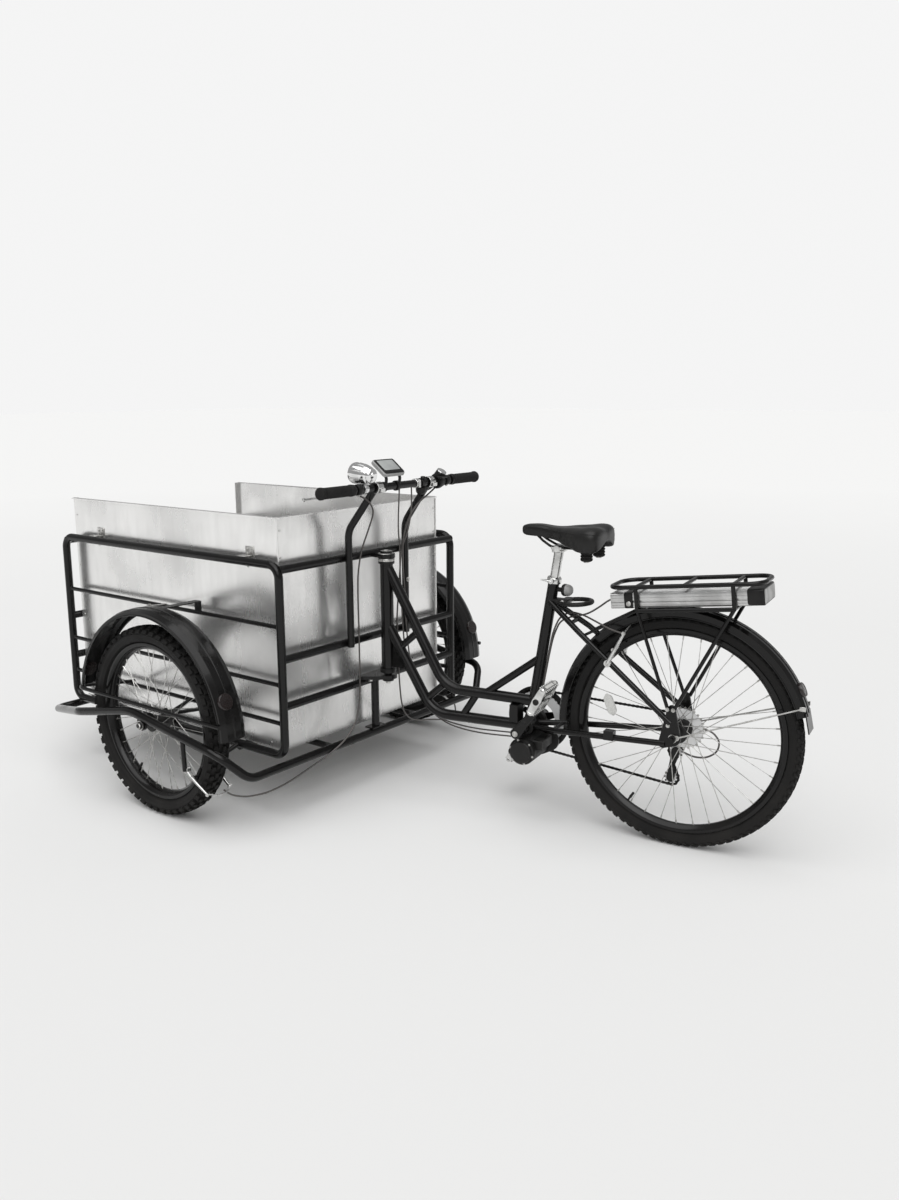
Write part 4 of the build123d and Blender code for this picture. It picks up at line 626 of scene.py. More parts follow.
def road_group():
    """Road dust: most near the ground, broken up by noise."""
    tree, n, start, end = new_group(
        "ShaderNodeTree",
        "road_dust",
        [("Vector", VECTOR, None), ("Reach", FLOAT, 0.45), ("Amount", FLOAT, 0.3)],
        [("Dust", FLOAT)],
    )
    where = start.outputs["Vector"]
    height = n.add("ShaderNodeSeparateXYZ", {0: where}).outputs[2]
    low = n.maths("SUBTRACT", 1.0, n.maths("DIVIDE", height, start.outputs["Reach"]), clamp=True)
    noise = n.add("ShaderNodeTexNoise", {"Vector": where, "Scale": 14.0, "Detail": 7.0}).outputs[0]
    dust = n.maths("MULTIPLY", n.maths("MULTIPLY", low, n.span(noise, 0.35, 0.7)), start.outputs["Amount"])
    tree.links.new(dust, end.inputs["Dust"])
    return tree


GROUPS = {"blotch": blotch_group(), "streak": streak_group(), "road": road_group()}
DUST_COLOUR = (0.23, 0.21, 0.185, 1.0)


def finish_of(
    name, colour, other, roughness, metallic=0.0, coat=0.0, patch_scale=6.0, grain_scale=400.0,
    grain_depth=0.00002,
    streaks=None, dust=0.0, rough_spread=0.08, sheen=0.0, specular=0.5, wave=0.0, coat_roughness=0.08,
):
    """A finish whose colour and gloss drift over the surface, with grain in its relief.

    colour and other are the two ends of the drift; streaks is (stretch, scale, strength) or None."""
    coat_of = bpy.data.materials.new(name)
    coat_of.use_nodes = True
    coat_of.node_tree.nodes.clear()
    n = Nodes(coat_of.node_tree)
    where = n.add("ShaderNodeTexCoord").outputs["Object"]
    patch = n.add(
        "ShaderNodeGroup", None, node_tree=GROUPS["blotch"]
    )
    n.tree.links.new(where, patch.inputs["Vector"])
    patch.inputs["Patch Scale"].default_value = patch_scale
    patch.inputs["Grain Scale"].default_value = grain_scale
    patches, grain = patch.outputs["Patches"], patch.outputs["Grain"]
    tone = n.mixed(patches, (*colour, 1.0), (*other, 1.0))
    height = grain
    rough_from = patches
    if streaks:
        stretch, scale, strength = streaks
        lines = n.add("ShaderNodeGroup", None, node_tree=GROUPS["streak"])
        n.tree.links.new(where, lines.inputs["Vector"])
        lines.inputs["Stretch"].default_value = stretch
        lines.inputs["Scale"].default_value = scale
        value = lines.outputs["Streaks"]
        tone = n.mixed(n.maths("MULTIPLY", n.span(value, 0.35, 0.7), strength), tone, (*other, 1.0))
        height = n.maths("ADD", grain, n.maths("MULTIPLY", value, 1.5))
        rough_from = n.maths("MULTIPLY", n.maths("ADD", patches, value), 0.6)
    if dust:
        road = n.add("ShaderNodeGroup", None, node_tree=GROUPS["road"])
        n.tree.links.new(where, road.inputs["Vector"])
        road.inputs["Amount"].default_value = dust
        tone = n.mixed(road.outputs["Dust"], tone, DUST_COLOUR)
        rough_from = n.maths("ADD", rough_from, n.maths("MULTIPLY", road.outputs["Dust"], 3.0))
    gloss = n.span(rough_from, 0.0, 1.0, roughness, min(1.0, roughness + rough_spread))
    relief = n.add("ShaderNodeBump", {"Strength": 1.0, "Distance": grain_depth, "Height": height})
    if wave:
        swell = n.add("ShaderNodeTexNoise", {"Vector": where, "Scale": 3.2, "Detail": 1.0}).outputs[0]
        relief = n.add(
            "ShaderNodeBump",
            {"Strength": 1.0, "Distance": wave, "Height": swell, "Normal": relief.outputs[0]}
        )
    shader = n.add(
        "ShaderNodeBsdfPrincipled",
        {
            "Base Color": tone, "Metallic": metallic, "Roughness": gloss, "Normal": relief.outputs[0],
            "Coat Weight": coat, "Coat Roughness": coat_roughness, "Sheen Weight": sheen,
            "Specular IOR Level": specular,
        },
    )
    n.add("ShaderNodeOutputMaterial", {"Surface": shader.outputs[0]})
    return coat_of


def lens_finish():
    """Clear plastic with a moulded prism relief."""
    coat_of = bpy.data.materials.new("clear_lens")
    coat_of.use_nodes = True
    coat_of.node_tree.nodes.clear()
    n = Nodes(coat_of.node_tree)
    where = n.add("ShaderNodeTexCoord").outputs["Object"]
    cells = n.add("ShaderNodeTexVoronoi", {"Vector": where, "Scale": 320.0}).outputs["Distance"]
    relief = n.add("ShaderNodeBump", {"Strength": 0.6, "Distance": 0.0006, "Height": cells})
    tone = n.mixed(n.span(cells, 0.0, 0.6), (0.93, 0.94, 0.94, 1.0), (0.8, 0.82, 0.82, 1.0))
    shader = n.add(
        "ShaderNodeBsdfPrincipled",
        {
            "Base Color": tone, "Roughness": 0.12, "Normal": relief.outputs[0], "Transmission Weight": 0.7,
            "IOR": 1.49, "Coat Weight": 0.4,
        },
    )
    n.add("ShaderNodeOutputMaterial", {"Surface": shader.outputs[0]})
    return coat_of


def reflector_finish(name, colour, other):
    """Moulded reflector plastic: small prisms under a gloss face."""
    coat_of = bpy.data.materials.new(name)
    coat_of.use_nodes = True
    coat_of.node_tree.nodes.clear()
    n = Nodes(coat_of.node_tree)
    where = n.add("ShaderNodeTexCoord").outputs["Object"]
    cells = n.add("ShaderNodeTexVoronoi", {"Vector": where, "Scale": 420.0}, feature="F1").outputs["Distance"]
    relief = n.add("ShaderNodeBump", {"Strength": 0.5, "Distance": 0.0005, "Height": cells})
    tone = n.mixed(n.span(cells, 0.1, 0.6), (*colour, 1.0), (*other, 1.0))
    gloss = n.span(cells, 0.0, 0.7, 0.1, 0.3)
    shader = n.add(
        "ShaderNodeBsdfPrincipled",
        {
            "Base Color": tone, "Roughness": gloss, "Normal": relief.outputs[0], "Coat Weight": 0.3,
            "Coat Roughness": 0.05
        },
    )
    n.add("ShaderNodeOutputMaterial", {"Surface": shader.outputs[0]})
    return coat_of


def screen_finish(looks):
    """A grey liquid-crystal face, its tone drifting in soft patches, behind a gloss window."""
    coat_of = bpy.data.materials.new("readout_glass")
    coat_of.use_nodes = True
    coat_of.node_tree.nodes.clear()
    n = Nodes(coat_of.node_tree)
    where = n.add("ShaderNodeTexCoord").outputs["Object"]
    film = n.add("ShaderNodeTexNoise", {"Vector": where, "Scale": 18.0, "Detail": 3.0}).outputs[0]
    fine = n.add("ShaderNodeTexNoise", {"Vector": where, "Scale": 900.0, "Detail": 1.0}).outputs[0]
    tone = n.mixed(n.span(film, 0.3, 0.7), (*looks.screen_colour, 1.0), (0.42, 0.44, 0.43, 1.0))
    relief = n.add("ShaderNodeBump", {"Strength": 0.3, "Distance": 0.00002, "Height": fine})
    gloss = n.span(film, 0.0, 1.0, 0.08, 0.2)
    shader = n.add(
        "ShaderNodeBsdfPrincipled",
        {
            "Base Color": tone, "Roughness": gloss, "Normal": relief.outputs[0], "Coat Weight": 0.6,
            "Coat Roughness": 0.03
        },
    )
    n.add("ShaderNodeOutputMaterial", {"Surface": shader.outputs[0]})
    return coat_of


COATS = {}


def make_finishes(looks):
    """Every finish of the tricycle, by the name its pieces use."""
    paint = tuple(looks.paint_colour)
    sheet = tuple(looks.sheet_colour)
    dark = tuple(c * 0.78 for c in sheet)
    COATS["paint"] = finish_of(
        "black_enamel", paint, tuple(c * 1.6 for c in paint), 0.17, coat=0.12, patch_scale=9.0,
        grain_scale=120.0,
        grain_depth=0.00002, dust=0.01, rough_spread=0.14, coat_roughness=0.05, specular=0.24,
    )
    COATS["sheet"] = finish_of(
        "rolled_sheet", sheet, dark, 0.19, metallic=0.86, patch_scale=3.4, grain_scale=260.0,
        grain_depth=0.000006, streaks=((7.0, 7.0, 1.0), 8.0, 0.3), rough_spread=0.14, wave=0.0012,
    )
    COATS["alloy"] = finish_of(
        "polished_alloy", (0.74, 0.74, 0.73), (0.5, 0.5, 0.49), 0.17, metallic=1.0, patch_scale=30.0,
        grain_scale=700.0, streaks=((1.0, 1.0, 6.0), 120.0, 0.3), rough_spread=0.18,
    )
    COATS["battery"] = finish_of(
        "brushed_extrusion", (0.66, 0.66, 0.655), (0.42, 0.42, 0.415), 0.26, metallic=1.0, patch_scale=14.0,
        grain_scale=500.0, streaks=((1.0, 24.0, 24.0), 30.0, 0.5), rough_spread=0.15,
    )
    COATS["steel"] = finish_of(
        "zinc_steel", (0.6, 0.595, 0.58), (0.36, 0.355, 0.34), 0.26, metallic=1.0, patch_scale=60.0,
        grain_scale=900.0, dust=0.15, rough_spread=0.2,
    )
    COATS["dark_steel"] = finish_of(
        "oiled_steel", (0.035, 0.034, 0.033), (0.012, 0.0115, 0.011), 0.3, metallic=0.85, patch_scale=70.0,
        grain_scale=900.0, dust=0.03, rough_spread=0.25,
    )
    COATS["chrome"] = finish_of(
        "chrome_plate", (0.85, 0.85, 0.85), (0.7, 0.7, 0.7), 0.05, metallic=1.0, patch_scale=40.0,
        grain_scale=600.0, grain_depth=0.000004, rough_spread=0.09,
    )
    COATS["tyre"] = finish_of(
        "tyre_rubber", (0.0068, 0.0066, 0.0064), (0.013, 0.0125, 0.012), 0.55, patch_scale=16.0,
        grain_scale=900.0,
        grain_depth=0.00008, dust=0.04, rough_spread=0.25, specular=0.2,
    )
    COATS["rubber"] = finish_of(
        "grip_rubber", (0.009, 0.0088, 0.0085), (0.018, 0.0175, 0.017), 0.55, patch_scale=40.0,
        grain_scale=1400.0,
        grain_depth=0.00006, rough_spread=0.2, specular=0.22,
    )
    COATS["plastic"] = finish_of(
        "satin_plastic", (0.0068, 0.0066, 0.0064), (0.013, 0.0125, 0.012), 0.32, patch_scale=24.0,
        grain_scale=1500.0,
        grain_depth=0.00002, dust=0.02, rough_spread=0.2, specular=0.28,
    )
    COATS["grey_plastic"] = finish_of(
        "grey_plastic", (0.34, 0.34, 0.335), (0.24, 0.24, 0.235), 0.32, patch_scale=30.0, grain_scale=1400.0,
        grain_depth=0.00003, rough_spread=0.15,
    )
    COATS["leather"] = finish_of(
        "saddle_cover", (0.0062, 0.006, 0.0058), (0.012, 0.0115, 0.011), 0.3, patch_scale=12.0,
        grain_scale=650.0,
        grain_depth=0.00008, rough_spread=0.18, sheen=0.02, specular=0.35,
    )
    COATS["cast"] = finish_of(
        "cast_motor_case", (0.0075, 0.0073, 0.007), (0.016, 0.0155, 0.015), 0.38, patch_scale=20.0,
        grain_scale=500.0,
        grain_depth=0.00006, dust=0.03, rough_spread=0.2, specular=0.3,
    )
    COATS["lens"] = lens_finish()
    COATS["clear_reflector"] = reflector_finish("clear_reflector", (0.8, 0.8, 0.78), (0.55, 0.55, 0.53))
    COATS["dark_reflector"] = reflector_finish(
        "dark_reflector", (0.016, 0.0075, 0.007), (0.008, 0.005, 0.0048)
    )
    COATS["screen"] = screen_finish(looks)


CARRIED = {
    "paint": [
        "cage_left", "cage_right", "cage_rear", "cage_front", "floor_frame", "bumper_left", "bumper_right",
        "axle_carrier_left", "axle_carrier_right", "front_mudguard_left", "front_mudguard_right", "handlebar",
        "head_tube", "down_tubes", "seat_tube", "chain_stays", "seat_stays", "rack", "rear_mudguard",
    ],
    "sheet": ["box_left", "box_right", "box_rear", "box_front", "box_floor"],
    "plastic": ["controller"],
}


# ---------------------------------------------------------------- sizes and colours a user may change
class TRICYCLE_PG_looks(bpy.types.PropertyGroup):
    """Sizes and colours of the tricycle's finished look"""

    paint_colour: bpy.props.FloatVectorProperty(
        name="Frame paint", description="Colour of the enamelled frame", subtype="COLOR",
        default=(0.0042, 0.004, 0.0039),
        min=0.0, max=1.0,
    )
    sheet_colour: bpy.props.FloatVectorProperty(
        name="Box sheet", description="Colour of the box's bare metal", subtype="COLOR",
        default=(0.93, 0.925, 0.915),
        min=0.0, max=1.0,
    )
    screen_colour: bpy.props.FloatVectorProperty(
        name="Readout face", description="Colour of the readout's glass", subtype="COLOR",
        default=(0.3, 0.31, 0.31),
        min=0.0, max=1.0,
    )
    spokes: bpy.props.IntProperty(
        name="Spokes", description="Spokes in each wheel", default=36, min=12, max=48
    )
    front_lugs: bpy.props.IntProperty(
        name="Front lugs", description="Tread blocks in each row of a front tyre", default=54, min=20, max=90
    )
    rear_lugs: bpy.props.IntProperty(
        name="Rear lugs", description="Tread blocks in each row of the rear tyre", default=84, min=30, max=120
    )
    lamp_power: bpy.props.FloatProperty(
        name="Lamp strength", description="Strength of the two soft lamps together", default=2.62, min=0.0
    )
    ambient: bpy.props.FloatProperty(
        name="Room light", description="Light from the pale room all round", default=0.35, min=0.0, max=3.0
    )
    # Painted light: how much lighter the floor colour is painted far from the tricycle.
    far_floor_painted_light: bpy.props.FloatProperty(
        name="Far floor", description="How much lighter the floor is far away", default=1.08, min=0.5, max=1.2
    )
    ground_colour: bpy.props.FloatVectorProperty(
        name="Floor", description="Colour of the studio floor", subtype="COLOR", default=(0.8, 0.8, 0.795),
        min=0.0, max=1.0,
    )


# ---------------------------------------------------------------- wheels and tyres
def wheel_pieces(label, place, body, node, sizes, looks):
    """Rim, hub, laced spokes, nipples and valve of one wheel."""
    rim_r, depth, rim_w, hub_r, flange_r, hub_half = sizes
    half = rim_w / 2
    rim = Form()
    rim.lathe(
        [
            (rim_r, half - 0.4), (rim_r + 0.6, half - 1.6), (rim_r - 1.0, half - 3.0),
            (rim_r - 6.5, half - 3.6),
            (rim_r - 8.0, half - 6.0), (rim_r - 9.5, 0.0), (rim_r - 8.0, 6.0 - half),
            (rim_r - 6.5, 3.6 - half),
            (rim_r - 1.0, 3.0 - half), (rim_r + 0.6, 1.6 - half), (rim_r, 0.4 - half), (rim_r - 1.2, -half),
            (rim_r - 9.0, -half), (rim_r - 10.2, 0.7 - half), (rim_r - depth * 0.72, -half * 0.72),
            (rim_r - depth * 0.96, -half * 0.34), (rim_r - depth, 0.0), (rim_r - depth * 0.96, half * 0.34),
            (rim_r - depth * 0.72, half * 0.72), (rim_r - 10.2, half - 0.7), (rim_r - 9.0, half),
            (rim_r - 1.2, half),
        ],
        sides=128, closed=True,
    )
    valve_angle = math.radians(-58.0)
    out = Vector((math.cos(valve_angle), 0.0, math.sin(valve_angle)))
    rim.rod(out * (rim_r - depth + 2), out * (rim_r - depth - 24), 3.0, sides=10)
    rim.rod(out * (rim_r - depth - 12), out * (rim_r - depth - 29), 4.2, 3.6, sides=10)
    coat = COATS["paint"]
    piece(f"{label}_rim", rim, place, body, "black_paint", coat, (node,), smooth=32.0)
    hub = Form()
    flange = hub_half - 9.0
    profile = []
    for side in (-1, 1):
        rows = [
            (7.0, hub_half), (hub_r * 0.8, hub_half - 1.0), (hub_r * 0.92, hub_half - 3.0),
            (hub_r * 0.95, flange + 4),
            (flange_r - 2, flange + 2.2), (flange_r, flange + 1.0), (flange_r, flange - 1.0),
            (flange_r - 2, flange - 2.2),
            (hub_r * 0.95, flange - 5.0), (hub_r * 0.72, flange - 12.0),
        ]
        rows = [(r, side * y) for r, y in rows]
        profile = profile + rows if side < 0 else profile + rows[::-1]
    hub.lathe(profile, sides=40)
    hub.lathe([(2.0, -hub_half - 4), (8.5, -hub_half - 4), (8.5, hub_half + 4), (2.0, hub_half + 4)], sides=6)
    piece(f"{label}_hub", hub, place, body, "black_paint", COATS["cast"], smooth=30.0)
    spokes = baked(
        f"{label}_spokes",
        "spokes",
        {
            "Spokes": looks.spokes, "Hub Radius": (flange_r - 3.0) / 1000, "Flange Offset": flange / 1000,
            "Rim Radius": (rim_r - depth + 3.0) / 1000, "Spoke Radius": 0.00105,
            "Lacing Angle": math.radians(64.0),
            "Material": COATS["steel"],
        },
    )
    spokes.data.transform(place @ Matrix.Scale(1000.0, 4))
    settle(spokes, body, None)


def lug_item(length, width, height, taper=1.6):
    """One tread block, x along the tread, y across, z outward, with its top softened."""
    form = Form()
    points = []
    for sx in (-1, 1):
        for sy in (-1, 1):
            points.append((sx * (length / 2 + taper / 2), sy * (width / 2 + taper / 2), -2.0))
            points.append((sx * length / 2, sy * width / 2, height - 0.6))
            points.append((sx * (length / 2 - 0.8), sy * (width / 2 - 0.8), height))
    form.hull(points)
    return item_object(form)


def tyre_pieces(label, place, body, node, radius, width, rim_r, rows, count):
    """The carcass with its bead lines and moulded rings, and the tread rows as real blocks."""
    depth = max(row[4] for row in rows)
    base = rim_r - 6.0
    top = radius - depth
    tall = top - base
    half = width / 2 - 2.0
    right = [
        (base, 0.0), (base, half * 0.42), (base + 4.0, half * 0.45), (base + 6.5, half * 0.5),
        (base + 7.5, half * 0.6), (base + 0.22 * tall, half * 0.8), (base + 0.24 * tall, half * 0.845),
        (base + 0.27 * tall, half * 0.84), (base + 0.4 * tall, half * 0.97), (base + 0.52 * tall, half),
        (base + 0.64 * tall, half * 0.985), (base + 0.66 * tall, half * 1.01),
        (base + 0.7 * tall, half * 0.97),
        (base + 0.8 * tall, half * 0.86), (base + 0.89 * tall, half * 0.68),
        (base + 0.955 * tall, half * 0.45),
        (base + 0.99 * tall, half * 0.2),
    ]
    profile = right + [(top, 0.0)] + [(r, -y) for r, y in right[:0:-1]]
    carcass = Form()
    carcass.lathe(profile, sides=128, closed=True)
    piece(f"{label}_carcass", carcass, place, body, "tyre", COATS["tyre"], (node,), smooth=50.0)
    parts = []
    for offset, drop_in, lean, (length, wide), height, start in rows:
        item = lug_item(length, wide, height)
        for side in ((-1, 1) if offset else (1,)):
            parts.append(
                baked(
                    "row",
                    "ring",
                    {
                        "Item": item, "Count": count, "Radius": (top - drop_in) / 1000,
                        "Offset": side * offset / 1000,
                        "Lean": side * math.radians(lean), "Start": start + (0.5 if side > 0 else 0.0),
                        "Size": 1.0, "Material": COATS["tyre"],
                    },
                )
            )
        drop(item)
    tread = united(f"{label}_tread", parts)
    tread.data.transform(place @ Matrix.Scale(1000.0, 4))
    settle(tread, body, None, smooth=30.0)


FRONT_ROWS = [
    (7.0, 0.4, 5.0, (17.0, 11.0), 6.0, 0.0),
    (19.5, 2.6, 22.0, (13.0, 9.5), 6.0, 0.25),
    (29.0, 9.4, 54.0, (18.0, 10.0), 5.5, 0.0),
]
REAR_ROWS = [
    (0.0, 0.0, 0.0, (13.0, 7.0), 2.6, 0.0),
    (8.0, 0.8, 14.0, (11.0, 5.5), 2.6, 0.25),
    (15.0, 3.6, 38.0, (12.0, 6.0), 3.0, 0.0),
    (20.2, 9.0, 62.0, (9.0, 7.0), 3.0, 0.25),
]


def build_wheels(looks):
    """The three wheels and the reflector among the rear spokes."""
    for side, label in ((1, "left"), (-1, "right")):
        place = CARGO @ Matrix.Translation((FRONT_X, side * FRONT_Y, FRONT_R))
        body = f"wheel_{label}"
        sizes = (FRONT_RIM_R, 22.0, FRONT_RIM_W, 20.0, 29.0, 38.0)
        wheel_pieces(f"front_wheel_{label}_dressed", place, body, f"front_wheel_{label}", sizes, looks)
    place = REAR @ Matrix.Translation((REAR_X, 0.0, REAR_R))
    wheel_pieces(
        "rear_wheel_dressed", place, "wheel_rear", "rear_wheel",
        (REAR_RIM_R, 21.0, REAR_RIM_W, 16.0, 27.0, 36.0), looks
    )
    tag = Form()
    tag.plate([(-16.0, 0.0, 13.0), (16.0, 0.0, 13.0)], -4.0, 4.0, edge=1.5)
    for _ in range(2):
        tag.plate([(-26.0, 0.0, 6.0), (26.0, 0.0, 6.0)], -2.5, 2.5, edge=0.8)
    turn = Matrix.Translation((194.0, 20.0, 53.0)) @ Matrix.Rotation(math.radians(-68.0), 4, "Y")
    piece(
        "spoke_reflector", tag, place @ turn, "wheel_rear", "reflector", COATS["clear_reflector"], smooth=35.0
    )


def build_tyres(looks):
    """The three tyres."""
    for side, label in ((1, "left"), (-1, "right")):
        place = CARGO @ Matrix.Translation((FRONT_X, side * FRONT_Y, FRONT_R))
        tyre_pieces(
            f"front_tyre_{label}_dressed", place, f"wheel_{label}", f"front_tyre_{label}", FRONT_R,
            FRONT_TYRE_W,
            FRONT_RIM_R, FRONT_ROWS, looks.front_lugs,
        )
    place = REAR @ Matrix.Translation((REAR_X, 0.0, REAR_R))
    tyre_pieces(
        "rear_tyre_dressed", place, "wheel_rear", "rear_tyre", REAR_R, REAR_TYRE_W, REAR_RIM_R, REAR_ROWS,
        looks.rear_lugs
    )


# ---------------------------------------------------------------- box, guards and fasteners
def arc_path(centre, radius, start, end, y, steps=40):
    """Points on an arc in a plane of constant y; angles in degrees from straight ahead, upward."""
    path = []
    for k in range(steps + 1):
        a = math.radians(start + (end - start) * k / steps)
        path.append((centre[0] + radius * math.cos(a), y, centre[1] + radius * math.sin(a)))
    return path


def build_guard_trim():
    """Rolled edges, dark round reflectors and bright straps of the mudguards, and the rear guard's stays."""
    for side, label in ((1, "left"), (-1, "right")):
        y = side * FRONT_Y
        edges = Form()
        for half in (-42.0, 42.0):
            edges.tube(
                arc_path((FRONT_X, FRONT_R), FRONT_GUARD_R - 16.5, 10.0, 179.0, y + half), 2.3, sides=8
            )
        edges.tube(
            arc_path((FRONT_X, FRONT_R), FRONT_GUARD_R + 0.2, 11.0, 178.0, y, 44), 3.4, sides=8, flat=0.35
        )
        piece(f"front_guard_edges_{label}", edges, *ON_CARGO, "black_paint", COATS["paint"])
        lamps = Form()
        for angle in FRONT_REFLECTOR_ANGLES:
            a = math.radians(angle)
            way = Vector((math.cos(a), 0.0, math.sin(a)))
            at = Vector((FRONT_X, y + side * 12, FRONT_R)) + way * (FRONT_GUARD_R - 2)
            lamps.lathe([(0.0, -2.0), (24.0, -2.0), (24.0, 5.0), (22.0, 7.5), (0.0, 9.0)], at, way, 32)
        piece(f"front_guard_reflectors_{label}", lamps, *ON_CARGO, "reflector", COATS["dark_reflector"])
        strap = Form()
        line = [
            (488.0, side * 521, 613.5), (500.0, side * 506, 613.0), (566.0, side * 412, 592.5),
            (574.0, side * 398, 591.0)
        ]
        strap.tube(line, 9.0, 12, flat=0.16)
        strap.lathe(
            [(0.0, 0.0), (5.0, 0.0), (5.0, 2.6), (3.6, 3.6), (0.0, 3.6)], (500.0, side * 506, 614.0), UP, 6
        )
        piece(f"front_guard_strap_{label}", strap, *ON_CARGO, "bright_steel", COATS["steel"])
    edges = Form()
    for half in (-30.0, 30.0):
        edges.tube(arc_path((REAR_X, REAR_R), REAR_GUARD_R - 24.5, -2.0, 164.0, half, 52), 1.9, sides=8)
    edges.tube(arc_path((REAR_X, REAR_R), REAR_GUARD_R + 0.2, -1.0, 163.0, 0.0, 52), 5.0, sides=8, flat=0.3)
    piece("rear_guard_edges", edges, *ON_REAR, "black_paint", COATS["paint"])
    a = math.radians(153.0)
    way = Vector((math.cos(a), 0.0, math.sin(a)))
    at = Vector((REAR_X, 0.0, REAR_R)) + way * REAR_GUARD_R
    lamp = Form()
    lamp.lathe(
        [(0.0, 0.0), (19.0, 0.0), (19.0, 7.0), (18.0, 8.2), (16.4, 8.4), (15.8, 7.4), (0.0, 8.8)], at, way, 40
    )
    piece("rear_reflector_dressed", lamp, *ON_REAR, "reflector", COATS["dark_reflector"], ("rear_reflector",))
    stays = Form()
    end_a = math.radians(160.0)
    reach = REAR_GUARD_R - 8
    tail = (REAR_X + reach * math.cos(end_a), REAR_R + reach * math.sin(end_a))
    for side in (-1, 1):
        start = (REAR_X - 12, side * 75.0, REAR_R + 4)
        stays.rod(start, (tail[0], side * 32.0, tail[1]), 2.2, sides=10)
        stays.lathe([(3.0, -1.6), (7.0, -1.6), (7.0, 1.6), (3.0, 1.6)], start, LEFT, 20, closed=True)
        stays.box((tail[0] - 2, side * 31.5, tail[1]), (16, 3.0, 12), 0.8)
    piece("guard_stays_dressed", stays, *ON_REAR, "bright_steel", COATS["steel"], ("mudguard_stays",))


def build_box_trim():
    """The hooks that hold the box to the cage, its corner seams and its rivets."""
    clips = Form()
    rest = CAGE_TOP_Z + 12.5
    spots = []
    for x in (207.0, 935.0):
        for side in (-1, 1):
            clips.box((x, side * 363.5, rest + 11), (34, 3, 30), 0.8)
            clips.box((x, side * 380.0, rest + 1.5), (34, 36, 3), 0.8)
            clips.rod((x, side * 372, rest - 34), (x, side * 372, rest + 10), 3.0, sides=12, edge=0.6)
            clips.lathe(
                [(3.0, -2), (5.6, -2), (5.6, 2), (3.0, 2)], (x, side * 372, rest - 22), UP, 6, closed=True
            )
            spots.append(((x - 8, side * 365.0, rest + 18), (0, side, 0)))
            spots.append(((x + 8, side * 365.0, rest + 18), (0, side, 0)))
    piece("box_clips_dressed", clips, *ON_CARGO, "bright_steel", COATS["steel"], ("box_clips",))
    bolts("clip_bolts", spots, *ON_CARGO, "bright_steel", COATS["steel"], 3.2, 2.4, 12, 4.6)
    seams = Form()
    for side in (-1, 1):
        seams.tube([(92.8, side * 360.8, 203), (92.8, side * 360.8, 884)], 2.4, sides=8)
        seams.tube([(94.0, side * 361.0, 889.0), (1079.0, side * 361.0, 889.0)], 2.6, sides=8)
        seams.tube([(94.5, side * 362.2, 201.5), (1079.0, side * 362.2, 201.5)], 1.8, sides=8)
    seams.tube([(93.6, -360, 889.0), (93.6, 360, 889.0)], 2.6, sides=8)
    seams.tube([(1079.2, -358, 739.0), (1079.2, 358, 739.0)], 2.6, sides=8)
    piece("box_seams", seams, *ON_CARGO, "sheet_aluminium", COATS["sheet"])
    rivets = []
    for side in (-1, 1):
        for k in range(9):
            rivets.append(((93.6, side * 350.0, 228.0 + k * 78.0), (-1, 0, 0)))
        for k in range(8):
            rivets.append(((1066.0, side * 362.4, 232.0 + k * 86.0), (0, side, 0)))
        for x in (150.0, 1030.0):
            rivets.append(((x, side * 362.4, 216.0), (0, side, 0)))
    bolts("box_rivets", rivets, *ON_CARGO, "sheet_aluminium", COATS["alloy"], 2.2, 1.1, 12, 3.0)


